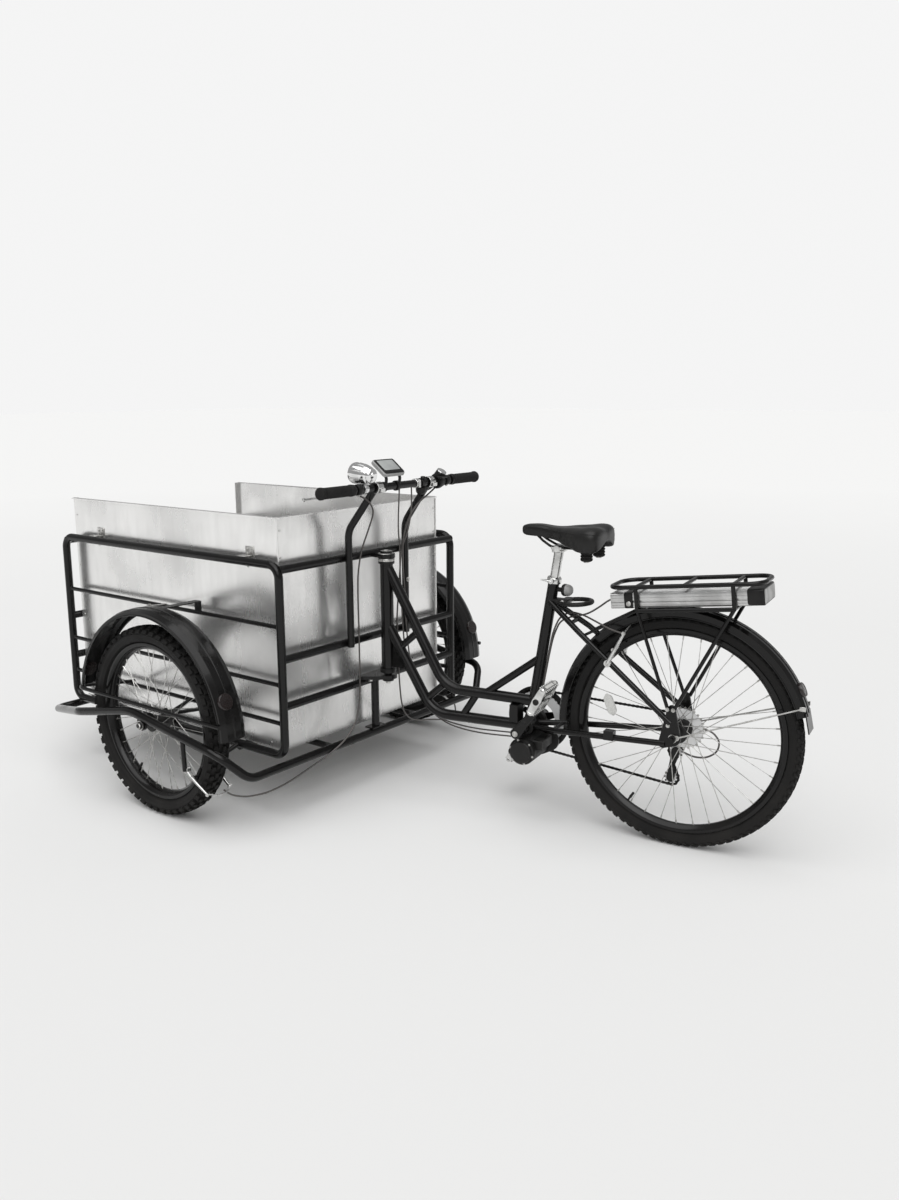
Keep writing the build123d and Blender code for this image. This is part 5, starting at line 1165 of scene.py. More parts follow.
def build_fasteners():
    """Bolts and nuts of the cage, the pivot, the axles and the rear frame."""
    cage = [
        ((23.2, -RISER_Y, 650), (-1, 0, 0)), ((23.2, -RISER_Y, 520), (-1, 0, 0)),
        ((93.0, -340, 212), (-1, 0, 0))
    ]
    for z in (746.0, 486.0, 347.0):
        cage.append(((FRONT_X, -(CAGE_Y + 12.6), z), (0, -1, 0)))
    bolts("cage_bolts", cage, *ON_CARGO, "bright_steel", COATS["steel"], 5.0, 4.2, 6, 7.5)
    axle = []
    for side in (-1, 1):
        axle.append(((FRONT_X, side * 627.4, FRONT_R), (0, side, 0)))
    bolts("front_axle_nuts", axle, *ON_CARGO, "bright_steel", COATS["steel"], 9.5, 8.0, 6, 14.0)
    pivot = [
        ((0, 0, 359.5 - 9), (0, 0, -1)), ((40, 40, 359.0), (0, 0, -1)), ((40, -40, 359.0), (0, 0, -1)),
    ]
    bolts("pivot_nuts", pivot, *ON_CARGO, "bright_steel", COATS["steel"], 9.0, 9.0, 6, 15.0)
    crown = Form()
    crown.lathe(
        [(0.0, 0.0), (18.5, 0.0), (18.5, 6.0), (17.0, 9.2), (9.0, 9.8), (8.2, 12.0), (0.0, 12.6)],
        (0, 0, 750.8), UP, 6
    )
    crown.lathe(
        [(17.0, -1.2), (24.0, -1.2), (25.0, 0.0), (24.0, 1.2), (17.0, 1.2)], (0, 0, 751.8), UP, 32,
        closed=True
    )
    crown.lathe(
        [(13.0, -4.6), (24.6, -4.6), (25.6, -3.0), (25.6, 3.0), (24.6, 4.6), (13.0, 4.6)], (0, 0, 732.6), UP,
        40, closed=True
    )
    piece("pivot_crown", crown, *ON_CARGO, "bright_steel", COATS["steel"])
    cups = Form()
    for z in (385.0, 727.0):
        cups.lathe(
            [(20.3, -6), (24.6, -6), (25.2, -4), (25.2, 4), (24.6, 6), (20.3, 6)], (0, 0, z), UP, 40,
            closed=True
        )
    piece("head_cups", cups, *ON_REAR, "black_paint", COATS["plastic"])
    rear = []
    for side in (-1, 1):
        rear.append(((REAR_X, side * 72.6, REAR_R), (0, side, 0)))
    bolts("rear_axle_nuts", rear, *ON_REAR, "bright_steel", COATS["steel"], 8.5, 9.0, 6, 12.0)
    small = []
    for side in (-1, 1):
        small.append(((REAR_X + 14, side * 72.6, REAR_R + 34), (0, side, 0)))
        small.append(((REAR_X - 2, side * 84.4, REAR_R + 82), (0, side, 0)))
        small.append(((REAR_X + 14, side * 84.4, REAR_R + 82), (0, side, 0)))
    bolts("rear_small_bolts", small, *ON_REAR, "bright_steel", COATS["steel"], 3.8, 3.2, 6, 5.4)
    welds = Form()
    for x in (57.0, 1094.0):
        for side in (-1, 1):
            for z in (748.0, 487.0, 348.0):
                welds.lathe([(11.6, -1.6), (12.4, 0.0), (11.6, 1.8)], (x, side * 380.6, z), LEFT, 20)
    for side in (-1, 1):
        for z in (583.0, 412.0, 297.0):
            for x, turn in ((70.4, 1), (1080.6, -1)):
                welds.lathe([(6.2, 0.0), (8.0, 0.8), (6.2, 3.4)], (x, side * CAGE_Y, z), AHEAD * turn, 16)
    piece("cage_welds", welds, *ON_CARGO, "black_paint", COATS["paint"])


# ---------------------------------------------------------------- handlebar controls
def build_grips():
    """Ribbed grips and the collars beside them."""
    grips = Form()
    rings = Form()
    for side in (-1, 1):
        start = side * (BAR_HALF - 126.0)
        profile = [(BAR_BORE, 0.0), (16.4, 0.0), (17.2, 1.2), (17.2, 6.0), (16.0, 7.4)]
        along = 10.0
        while along < 110.0:
            profile += [(14.6, along), (15.9, along + 0.8), (16.0, along + 3.6), (14.6, along + 4.4)]
            along += 5.2
        profile += [(15.6, 116.0), (17.6, 118.0), (17.9, 123.0), (16.6, 126.6), (12.0, 127.4), (0.0, 127.6)]
        grips.lathe([(r, side * y) for r, y in profile], (BAR_X, start, BAR_Z), LEFT, 36)
        rings.lathe(
            [(BAR_BORE, -4.0), (15.6, -4.0), (16.2, -3.0), (16.2, 3.0), (15.6, 4.0), (BAR_BORE, 4.0)],
            (BAR_X, start - side * 5.0, BAR_Z), LEFT, 32, closed=True,
        )
    piece("grips_dressed", grips, *ON_CARGO, "grip_rubber", COATS["rubber"], ("grips",), smooth=32.0)
    piece("grip_collars", rings, *ON_CARGO, "black_plastic", COATS["plastic"])


def build_levers():
    """Lever bodies, blades and their bolts."""
    blades = Form()
    bodies = Form()
    spots = []
    for side in (-1, 1):
        y = side * (BAR_HALF - GRIP_LENGTH - 26.0)
        bodies.bored(15.5, BAR_BORE, (BAR_X, y, BAR_Z), LEFT, 9.0, 32)
        bodies.tube(
            rounded(
                [
                    (BAR_X + 10, y, BAR_Z - 3), (BAR_X + 30, y, BAR_Z - 9),
                    (BAR_X + 38, y - side * 16, BAR_Z - 11)
                ],
                14
            ),
            [9.5, 9.4, 9.2, 9.0, 8.8, 8.2, 7.6, 7.2, 6.4], 16,
        )
        bodies.rod(
            (BAR_X + 36, y - side * 8, BAR_Z - 10), (BAR_X + 40, y - side * 27, BAR_Z - 12), 5.2, 4.2, 16, 0.8
        )
        route = rounded(
            [
                (BAR_X + 27, y + side * 2, BAR_Z - 9), (BAR_X + 46, y + side * 14, BAR_Z - 12),
                (BAR_X + 52, y + side * 60, BAR_Z - 15), (BAR_X + 42, y + side * 120, BAR_Z - 16),
                (BAR_X + 40, side * 376.0, BAR_Z - 16),
            ],
            26, 5,
        )
        count = len(route)
        radii = [7.2 - 2.6 * min(1.0, k / (count * 0.5)) for k in range(count)]
        radii[-1] = 4.8
        blades.tube(route, radii, 14, flat=0.62)
        blades.lathe([(0, -5.4), (3.6, -4.4), (5.6, 0), (3.6, 4.4), (0, 5.4)], route[-1], LEFT, 18)
        spots.append(((BAR_X + 31, y + side * 2, BAR_Z - 1.5), (0.2, 0, 1)))
        spots.append(((BAR_X - 2, y, BAR_Z - 15.6), (0, 0, -1)))
    piece("lever_blades", blades, *ON_CARGO, "bright_alloy", COATS["alloy"], ("brake_levers",), smooth=50.0)
    piece("lever_bodies", bodies, *ON_CARGO, "black_plastic", COATS["plastic"], smooth=45.0)
    bolts("lever_bolts", spots, *ON_CARGO, "bright_steel", COATS["steel"], 3.4, 3.0, 12, 4.4)


def build_bar_controls():
    """Gear dial, bell, bar clamps, lamp and readout on the bar."""
    y = -(BAR_HALF - GRIP_LENGTH - 64.0)
    dial = Form()
    dial.lathe(
        [
            (BAR_BORE, -15), (17.0, -15), (19.5, -12), (19.5, -4), (22.5, -2), (23.5, 2), (23.5, 10),
            (22.0, 13), (15.0, 15), (BAR_BORE, 15)
        ],
        (BAR_X, y, BAR_Z), LEFT, 40, closed=True,
    )
    dial.rod((BAR_X - 4, y + 2, BAR_Z + 12), (BAR_X - 16, y + 2, BAR_Z + 30), 17.5, 15.5, 36, 2.2)
    dial.box((BAR_X - 26, y + 12, BAR_Z + 14), (20, 30, 6), 1.6)
    dial.tube(
        rounded(
            [
                (BAR_X + 6, y + 8, BAR_Z - 12), (BAR_X + 20, y + 20, BAR_Z - 24),
                (BAR_X + 22, y + 44, BAR_Z - 30)
            ],
            16
        ),
        3.6, 10
    )
    piece("gear_dial", dial, *ON_CARGO, "black_plastic", COATS["plastic"], ("shifter",), smooth=35.0)
    face = Form()
    way = Vector((-12.0, 0.0, 18.0)).normalized()
    at = Vector((BAR_X - 16, y + 2, BAR_Z + 30))
    face.lathe([(0.0, 0.0), (13.6, 0.0), (13.6, 1.2), (12.6, 2.0), (0.0, 2.4)], at, way, 36)
    face.lathe([(13.8, -0.6), (15.2, -0.6), (15.2, 1.4), (13.8, 1.4)], at, way, 36, closed=True)
    piece("gear_dial_window", face, *ON_CARGO, "chrome", COATS["chrome"], smooth=35.0)
    bell = Form()
    bell.bored(14.5, BAR_BORE, (BAR_X, BELL_Y, BAR_Z), LEFT, 7.0, 28)
    bell.lathe(
        [
            (0.0, -13.5), (11.0, -13.5), (15.6, -16.0), (16.4, -20.0), (15.6, -27.0), (12.4, -32.5),
            (7.0, -35.6), (0.0, -36.6)
        ],
        (BAR_X, BELL_Y, BAR_Z), UP, 40,
    )
    bell.rod((BAR_X - 8, BELL_Y, BAR_Z + 12), (BAR_X - 8, BELL_Y, BAR_Z + 20), 8.0, 7.0, 24, 1.2)
    piece("bell", bell, *ON_CARGO, "black_plastic", COATS["plastic"], smooth=40.0)
    clamps = Form()
    for side in (-1, 1):
        at = side * RISER_Y * 0.94
        clamps.bored(17.0, BAR_BORE, (BAR_X, at - side * 2, BAR_Z), LEFT, 12.0, 32)
        clamps.box((BAR_X - 17, at - side * 2, BAR_Z - 6), (14, 20, 12), 1.6)
    clamps.bored(14.4, 11.05, (BAR_X, -55, BAR_Z), LEFT, 8.0, 32)
    clamps.rod((BAR_X - 15, -55, BAR_Z - 12), (BAR_X - 15, -55, BAR_Z + 12), 4.0, None, 16, 0.8)
    piece("bar_clamps", clamps, *ON_CARGO, "bright_alloy", COATS["alloy"], smooth=35.0)
    build_headlight()
    build_readout()


def build_headlight():
    """The domed lamp, its lens and bulb."""
    y = 176.0
    lean = Matrix.Translation((BAR_X + 6, y, BAR_Z + 42)) @ Matrix.Rotation(math.radians(84.0), 4, "Y")
    shell = Form(lean)
    shell.lathe(
        [
            (0.0, -47.4), (7.0, -46.8), (12.0, -45.6), (12.6, -43.0), (17.0, -41.0), (21.0, -37.0),
            (22.0, -33.0),
            (24.4, -27.0), (25.2, -26.2), (26.6, -14.0), (28.4, -2.0), (29.6, 8.0), (30.6, 20.0),
            (31.0, 24.0),
            (30.4, 27.0), (29.0, 30.6), (27.0, 30.8), (27.0, 25.0), (22.0, 14.0), (12.0, 6.0), (0.0, 3.0),
        ],
        (0, 0, 0), UP, 48,
    )
    for k in range(8):
        a = 2 * math.pi * (k + 0.5) / 8
        shell.tube(
            [(24.6 * math.cos(a), 24.6 * math.sin(a), -25.0), (28.6 * math.cos(a), 28.6 * math.sin(a), -3.0),
             (30.9 * math.cos(a), 30.9 * math.sin(a), 20.0)], [1.8, 2.4, 1.4], 8,
        )
    shell.place = Matrix.Identity(4)
    shell.bored(14.5, BAR_BORE, (BAR_X, y, BAR_Z), LEFT, 8.0, 28)
    shell.box((BAR_X, y, BAR_Z + 17), (14, 14, 10), 1.4)
    piece("headlight_shell", shell, *ON_CARGO, "chrome", COATS["chrome"], ("headlight",), smooth=45.0)
    lens = Form(lean)
    lens.lathe(
        [
            (28.6, 27.0), (28.6, 30.0), (25.0, 34.0), (16.0, 37.4), (0.0, 39.0), (0.0, 37.2), (16.0, 35.6),
            (24.0, 32.0), (26.8, 27.0)
        ],
        (0, 0, 0), UP, 48
    )
    piece("headlight_lens", lens, *ON_CARGO, "chrome", COATS["lens"], smooth=50.0)
    lamp = Form(lean)
    lamp.lathe([(0.0, 3.2), (5.0, 4.0), (5.4, 9.0), (4.0, 12.6), (0.0, 14.0)], (0, 0, 0), UP, 20)
    piece("headlight_bulb", lamp, *ON_CARGO, "chrome", COATS["clear_reflector"], smooth=50.0)


def build_readout():
    """The tilted readout on its two arms."""
    y = 66.0
    tilt = Matrix.Translation((BAR_X + 4, y, BAR_Z + 54)) @ Matrix.Rotation(math.radians(-38.0), 4, "Y")

    def slab(form, x, wide, low, high, corner, edge):
        points = []
        for sx in (-1, 1):
            for sy in (-1, 1):
                for k in range(7):
                    a = math.pi / 2 * k / 6
                    for z, inset in ((low, edge), (low + edge, 0.0), (high - edge, 0.0), (high, edge)):
                        r = corner - inset
                        points.append((
                            sx * (x / 2 - corner + r * math.cos(a)),
                            sy * (wide / 2 - corner + r * math.sin(a)), z,
                        ))
        form.hull(points)

    rim = Form(tilt)
    slab(rim, 66.0, 92.0, -7.0, 5.4, 9.0, 2.4)
    piece("readout_case", rim, *ON_CARGO, "bright_alloy", COATS["grey_plastic"], ("display",), smooth=35.0)
    bezel = Form(tilt)
    slab(bezel, 61.0, 87.0, 5.0, 7.0, 7.0, 0.9)
    for k in (-1, 0, 1):
        bezel.box((-24.0, k * 16.0, 7.2), (5.0, 10.0, 1.6), 0.5)
    piece("readout_bezel", bezel, *ON_CARGO, "black_plastic", COATS["plastic"], smooth=35.0)
    glass = Form(tilt)
    glass.place = tilt @ Matrix.Translation((4.0, 0.0, 0.0))
    slab(glass, 42.0, 68.0, 6.6, 7.6, 3.0, 0.4)
    piece("readout_glass", glass, *ON_CARGO, "black_plastic", COATS["screen"], smooth=35.0)
    mount = Form()
    for side in (-1, 1):
        at = y + side * 30
        mount.bored(15.0, BAR_BORE, (BAR_X, at, BAR_Z), LEFT, 6.0, 28)
        mount.tube(
            rounded(
                [(BAR_X - 12, at, BAR_Z + 6), (BAR_X - 15, at, BAR_Z + 26), (BAR_X + 2, at, BAR_Z + 50)], 12
            ), 5.2, 12, flat=0.8
        )
    piece("readout_mount", mount, *ON_CARGO, "black_plastic", COATS["plastic"], smooth=40.0)


# ---------------------------------------------------------------- brakes and drive
def seat_axis(z):
    """The seat tube's centre line at a height."""
    return Vector((CRANK_X - 0.15888 * (z - CRANK_Z), 0.0, z))


def build_front_brakes():
    """Arms, pads, lugs and bolts of both front brakes."""
    slope = math.radians(212.0)
    out = Vector((math.cos(slope), 0.0, math.sin(slope)))
    turn = Vector((-out.z, 0.0, out.x))
    axle = Vector((FRONT_X, 0.0, FRONT_R))
    boss = axle + out * (FRONT_RIM_R - 34.0)
    tip = axle + out * (FRONT_R + 16.0)
    for side, label in ((1, "left"), (-1, "right")):
        arms = Form()
        pads = Form()
        lugs = Form()
        spots = []
        for reach in (-40.0, 40.0):
            shift = Vector((0.0, side * FRONT_Y + reach, 0.0))
            mid = (boss + tip) / 2
            bow = Vector((0.0, math.copysign(3.0, reach), 0.0))
            arms.tube([boss + shift, boss + (mid - boss) * 0.5 + shift + bow, mid + shift + bow, tip + shift],
                      [8.6, 7.4, 6.2, 4.8], 16, flat=0.72)
            arms.rod(boss + shift - LEFT * 7.5, boss + shift + LEFT * 7.5, 9.5, sides=24, edge=1.0)
            arms.rod(tip + shift - turn * 6, tip + shift + turn * 6, 5.0, sides=14, edge=0.8)
            grip = axle + out * (FRONT_RIM_R - 5.5)
            way = math.copysign(1.0, reach)
            hold = Vector((grip.x, side * FRONT_Y, grip.z))
            arms.rod(hold + LEFT * way * 26, hold + LEFT * way * 47, 4.4, sides=14, edge=0.8)
            frame_turn = Matrix((turn, LEFT, out)).transposed()
            pads.box(hold + LEFT * way * 22.4, (54, 9.5, 9.5), 2.0, frame_turn)
            spots.append((hold + LEFT * way * 46.5, LEFT * way))
            spots.append((boss + shift + LEFT * way * 7.5, LEFT * way))
        centre = tip + Vector((0.0, side * FRONT_Y, 0.0))
        arms.tube(
            rounded(
                [
                    centre - LEFT * 38, centre - LEFT * 20 + out * 16, centre + LEFT * 14 + out * 14,
                    centre + LEFT * 38
                ],
                16, 5
            ),
            2.2, 10,
        )
        inner = Vector((boss.x, side * (FRONT_Y - 48.0), boss.z))
        lugs.rod((boss.x + 9, side * (CAGE_Y + 9.5), 199.0), inner, 7.0, 6.6, 18)
        outer = Vector((boss.x, side * (FRONT_Y + 48.0), boss.z))
        lugs.rod((boss.x, side * 611.4, 267.5), outer, 7.0, 6.8, 18)
        node = f"front_brake_{label}"
        piece(f"{node}_arms", arms, *ON_CARGO, "bright_alloy", COATS["alloy"], (node,), smooth=40.0)
        piece(f"{node}_pads", pads, *ON_CARGO, "grip_rubber", COATS["rubber"])
        piece(f"{node}_lugs", lugs, *ON_CARGO, "black_paint", COATS["paint"])
        bolts(f"{node}_bolts", spots, *ON_CARGO, "bright_steel", COATS["steel"], 3.6, 3.2, 6, 5.4)


def build_rear_brake():
    """Arms, pads and bolts of the rear brake."""
    arms = Form()
    pads = Form()
    spots = []
    foot = Vector((-740.6, 0.0, 509.4))
    tip = Vector((-784.6, 0.0, 599.4))
    out = (tip - foot).normalized()
    hub = Vector((REAR_X, 0.0, REAR_R))
    for side in (-1, 1):
        low = foot + LEFT * side * 64.3
        high = tip + LEFT * side * 61.0
        mid = (low + high) / 2 + LEFT * side * 2
        arms.tube([low, low.lerp(mid, 0.5), mid, high], [9.0, 7.8, 6.6, 5.0], 16, flat=0.75)
        arms.rod(low - LEFT * side * 4.5, low + LEFT * side * 6, 10.0, sides=24, edge=1.0)
        grip = foot + (tip - foot) * 0.4
        radial = (grip - hub).normalized()
        hold = hub + radial * (REAR_RIM_R - 5.0)
        turn = Vector((-radial.z, 0.0, radial.x))
        arms.rod(hold + LEFT * side * 25, hold + LEFT * side * 66, 4.0, sides=14, edge=0.8)
        pads.box(hold + LEFT * side * 21.5, (52, 9.0, 9.0), 2.0, Matrix((turn, LEFT, radial)).transposed())
        spots.append((hold + LEFT * side * 65.5, LEFT * side))
        spots.append((low + LEFT * side * 6, LEFT * side))
        spots.append((high + LEFT * side * 3.6 - out * 3, LEFT * side))
    arms.tube(
        rounded(
            [
                tip + LEFT * 60, tip + LEFT * 30 + out * 20, tip - LEFT * 4 + out * 21,
                tip - LEFT * 60 + out * 4
            ],
            22, 6
        ), 2.2, 10
    )
    piece("rear_brake_arms", arms, *ON_REAR, "bright_alloy", COATS["alloy"], ("rear_brake",), smooth=40.0)
    piece("rear_brake_pads", pads, *ON_REAR, "grip_rubber", COATS["rubber"])
    bolts("rear_brake_bolts", spots, *ON_REAR, "bright_steel", COATS["steel"], 3.6, 3.2, 6, 5.4)


def toothed(name, place, body, coat, rings):
    """Flat wheels with teeth: rows of (radius, teeth, y, thickness, bore)."""
    plates = Form()
    parts = []
    for radius, teeth, y, thick, bore in rings:
        half = thick / 2
        plates.lathe(
            [(bore, y - half), (radius - 1.2, y - half), (radius - 1.2, y + half), (bore, y + half)],
            sides=96, closed=True
        )
        width = 2 * math.pi * radius / teeth * 0.56
        tooth = Form()
        points = []
        for sx in (-1, 1):
            for sy in (-1, 1):
                points += [
                    (sx * width / 2, sy * half, -2.4), (sx * width * 0.4, sy * half, 1.6),
                    (sx * width * 0.2, sy * half * 0.4, 4.4)
                ]
        tooth.hull(points)
        item = item_object(tooth)
        values = {
            "Item": item, "Count": teeth, "Radius": radius / 1000, "Offset": y / 1000, "Lean": 0.0,
            "Start": 0.0,
            "Size": 1.0, "Material": coat,
        }
        parts.append(baked("teeth", "ring", values))
        drop(item)
    flat = bpy.data.objects.new("plates", mesh_of(plates, Matrix.Scale(0.001, 4)))
    bpy.context.scene.collection.objects.link(flat)
    whole = united(name, parts + [flat])
    whole.data.transform(place @ Matrix.Scale(1000.0, 4))
    return settle(whole, body, None, smooth=28.0)


def build_crankset():
    """Crank arms, chainring and guard disc."""
    place = REAR @ Matrix.Translation((CRANK_X, 0.0, CRANK_Z))
    arms = Form()
    spots = []
    for side in (-1, 1):
        pin = Vector(
            (side * CRANK_LENGTH * math.cos(CRANK_ANGLE), 0.0, side * CRANK_LENGTH * math.sin(CRANK_ANGLE))
        )
        way = pin.normalized()
        y = side * CRANK_Y
        knee = way * 40
        arms.plate([(0.0, 0.0, 16.0), (knee.x, knee.z, 12.5)], y - 7, y + 7, 3.0, 28)
        arms.plate([(knee.x, knee.z, 12.5), (pin.x, pin.z, 11.5)], y - 6.5, y + 6.5, 3.4, 28)
        arms.rod((pin.x, y - side * 6, pin.z), (pin.x, y + side * 14, pin.z), 7.5, sides=24, edge=1.0)
        spots.append(((0.0, y + side * 7.0, 0.0), (0, side, 0)))
    arms.rod((0.0, -CRANK_Y + 4, 0.0), (0.0, -70.0, 0.0), 16.0, 22.0, sides=28)
    arms.rod((0.0, CRANK_Y - 4, 0.0), (0.0, 36.0, 0.0), 13.0, 15.0, sides=28)
    ring_bolts = []
    for k in range(5):
        a = CRANK_ANGLE + math.pi + 2 * math.pi * k / 5
        spoke = Vector((math.cos(a), 0.0, math.sin(a)))
        end = spoke * 62
        arms.plate([(spoke.x * 14, spoke.z * 14, 13.0), (end.x, end.z, 8.0)], -66.0, -71.0, 1.4, 20)
        ring_bolts.append((end - LEFT * 71.0, (0, -1, 0)))
    piece("crank_arms", arms, place, "crank", "black_paint", COATS["paint"], ("crankset",), smooth=38.0)
    bolts("crank_end_bolts", spots, place, "crank", "bright_steel", COATS["steel"], 5.2, 2.4, 6, 8.5)
    bolts("chainring_bolts", ring_bolts, place, "crank", "bright_steel", COATS["steel"], 4.2, 2.2, 6, 5.6)
    toothed("chainring", place, "crank", COATS["dark_steel"], [(84.6, 44, CHAIN_Y, 2.4, 54.0)])
    disc = Form()
    disc.lathe(
        [(66.0, -61.2), (96.4, -61.2), (98.0, -62.0), (98.0, -63.4), (96.6, -64.2),
         (92.0, -64.6), (88.0, -63.6), (70.0, -63.6),
         (66.0, -63.2)],
        sides=96, closed=True,
    )
    for k in range(5):
        a = CRANK_ANGLE + math.pi + 2 * math.pi * k / 5
        disc.plate(
            [(58 * math.cos(a), 58 * math.sin(a), 9.0), (78 * math.cos(a), 78 * math.sin(a), 13.0)], -61.4,
            -64.6, 0.6, 20
        )
    piece("chain_guard_disc", disc, place, "crank", "black_plastic", COATS["plastic"], smooth=32.0)


def build_pedals():
    """Both pedals with their caps and reflectors."""
    for side, label in ((1, "left"), (-1, "right")):
        at = Vector((
            CRANK_X + side * CRANK_LENGTH * math.cos(CRANK_ANGLE), side * 158.0,
            CRANK_Z + side * CRANK_LENGTH * math.sin(CRANK_ANGLE),
        ))
        place = Matrix.Translation(at) @ Matrix.Rotation(math.radians(62.0), 4, "Y")
        cage = Form(place)
        for end in (-1, 1):
            x = end * 40.2
            cage.box((x, 0.0, 0.0), (2.6, 84.0, 15.0), 0.8)
            cage.box((x - end * 5.0, 0.0, 9.2), (12.0, 84.0, 2.2), 0.7)
            cage.box((x - end * 5.0, 0.0, -9.2), (12.0, 84.0, 2.2), 0.7)
            for k in range(8):
                for face in (-1, 1):
                    cage.box((x, -38.0 + k * 10.9, face * 9.4), (2.6, 5.4, 6.6), 0.9)
            cage.plate([(-26.0, 0.0, 6.0), (26.0, 0.0, 6.0)], end * 43.4, end * 46.8, 0.8, 20)
            cage.plate([(0.0, 0.0, 12.0), (end * 35.0, 0.0, 9.6)], 44.0, 47.0, 0.8, 20)
            cage.plate([(0.0, 0.0, 12.0), (end * 35.0, 0.0, 9.6)], -44.0, -47.0, 0.8, 20)
            cage.tube(rounded([(end * 35.0, 45.0, 0), (x, 43.0, 0), (x, 38.0, 0)], 5), 6.0, 12)
            cage.tube(rounded([(end * 35.0, -45.0, 0), (x, -43.0, 0), (x, -38.0, 0)], 5), 6.0, 12)
        cage.lathe(
            [
                (5.4, -47.4), (11.5, -47.4), (12.4, -44), (12.4, -30), (9.8, -24), (9.4, 0), (9.8, 24),
                (12.4, 30), (12.4, 44), (11.5, 47.4), (5.4, 47.4)
            ],
            axis=LEFT, sides=32, closed=True,
        )
        cage.box((20.0, 0.0, 0.0), (42.0, 6.0, 9.0), 1.2)
        cage.box((-20.0, 0.0, 0.0), (42.0, 6.0, 9.0), 1.2)
        node = f"pedal_{label}"
        body = "pedal_l" if side > 0 else "pedal_r"
        piece(f"{node}_cage", cage, REAR, body, "bright_alloy", COATS["alloy"], (node,), smooth=38.0)
        caps = Form(place)
        caps.lathe(
            [(0.0, 47.0), (8.6, 47.0), (8.6, 49.0), (6.4, 51.0), (0.0, 51.6)], axis=LEFT * side, sides=24
        )
        piece(f"{node}_cap", caps, REAR, body, "black_plastic", COATS["plastic"])
        flash = Form(place)
        for end in (-1, 1):
            flash.box((end * 42.0, 0.0, 0.0), (2.4, 44.0, 9.0), 0.6)
        piece(f"{node}_reflectors", flash, REAR, body, "reflector", COATS["clear_reflector"])


STATIONS = (
    (CRANK_X, CRANK_Z, 89.0, 1), (REAR_X, REAR_R, 30.0, 1), (-906.0, 249.0, 21.0, -1),
    (-894.0, 169.0, 21.0, 1)
)


def straight_run(a, b):
    """Ends of the straight run from one wheel to the next: stations of (x, z, radius, turn)."""
    length = math.hypot(b[0] - a[0], b[1] - a[1])
    heading = math.atan2(b[1] - a[1], b[0] - a[0])
    angle = heading - math.acos((a[2] * a[3] - b[2] * b[3]) / length)
    return [
        (s[0] + s[2] * s[3] * math.cos(angle), s[1] + s[2] * s[3] * math.sin(angle)) for s in (a, b)
    ]


def chain_path():
    """The chain's closed centre line."""
    count = len(STATIONS)
    runs = [straight_run(STATIONS[i], STATIONS[(i + 1) % count]) for i in range(count)]
    path = []
    for i in range(count):
        x, z, radius, turn = STATIONS[i]
        before, after = runs[i - 1][1], runs[i][0]
        start = math.atan2(before[1] - z, before[0] - x)
        end = math.atan2(after[1] - z, after[0] - x)
        whole = (end - start) % (2 * math.pi) if turn > 0 else -((start - end) % (2 * math.pi))
        for k in range(25):
            a = start + whole * k / 24
            path.append(Vector((x + radius * math.cos(a), CHAIN_Y, z + radius * math.sin(a))))
    return path


def build_chain():
    """The links along the closed path."""
    path = chain_path()
    length = sum((path[i] - path[i - 1]).length for i in range(len(path)))
    count = 2 * round(length / CHAIN_PITCH / 2)
    half = CHAIN_PITCH / 2
    links = []
    for low, high, wide in ((1.7, 2.35, 3.7), (2.4, 3.0, 3.4)):
        link = Form()
        for side in (-1, 1):
            link.plate([(-half, 0.0, wide), (0.0, 0.0, wide * 0.66)], side * low, side * high, 0.12, 12)
            link.plate([(half, 0.0, wide), (0.0, 0.0, wide * 0.66)], side * low, side * high, 0.12, 12)
            if low < 2:
                link.rod((side * half, -1.7, 0.0), (side * half, 1.7, 0.0), 3.5, sides=12)
            else:
                link.rod((side * half, -3.4, 0.0), (side * half, 3.4, 0.0), 1.7, sides=10)
        links.append(item_object(link))
    mesh = bpy.data.meshes.new("line")
    mesh.from_pydata(
        [tuple(p / 1000) for p in path], [(i, (i + 1) % len(path)) for i in range(len(path))], []
    )
    values = {
        "Item": links[0], "Other Item": links[1], "Count": count, "Across": (0.0, 1.0, 0.0),
        "Material": COATS["dark_steel"]
    }
    made = baked("chain_links", "path", values, mesh)
    drop(*links)
    made.data.transform(REAR @ Matrix.Scale(1000.0, 4))
    settle(made, "rear_frame", None, ("chain",), smooth=30.0)


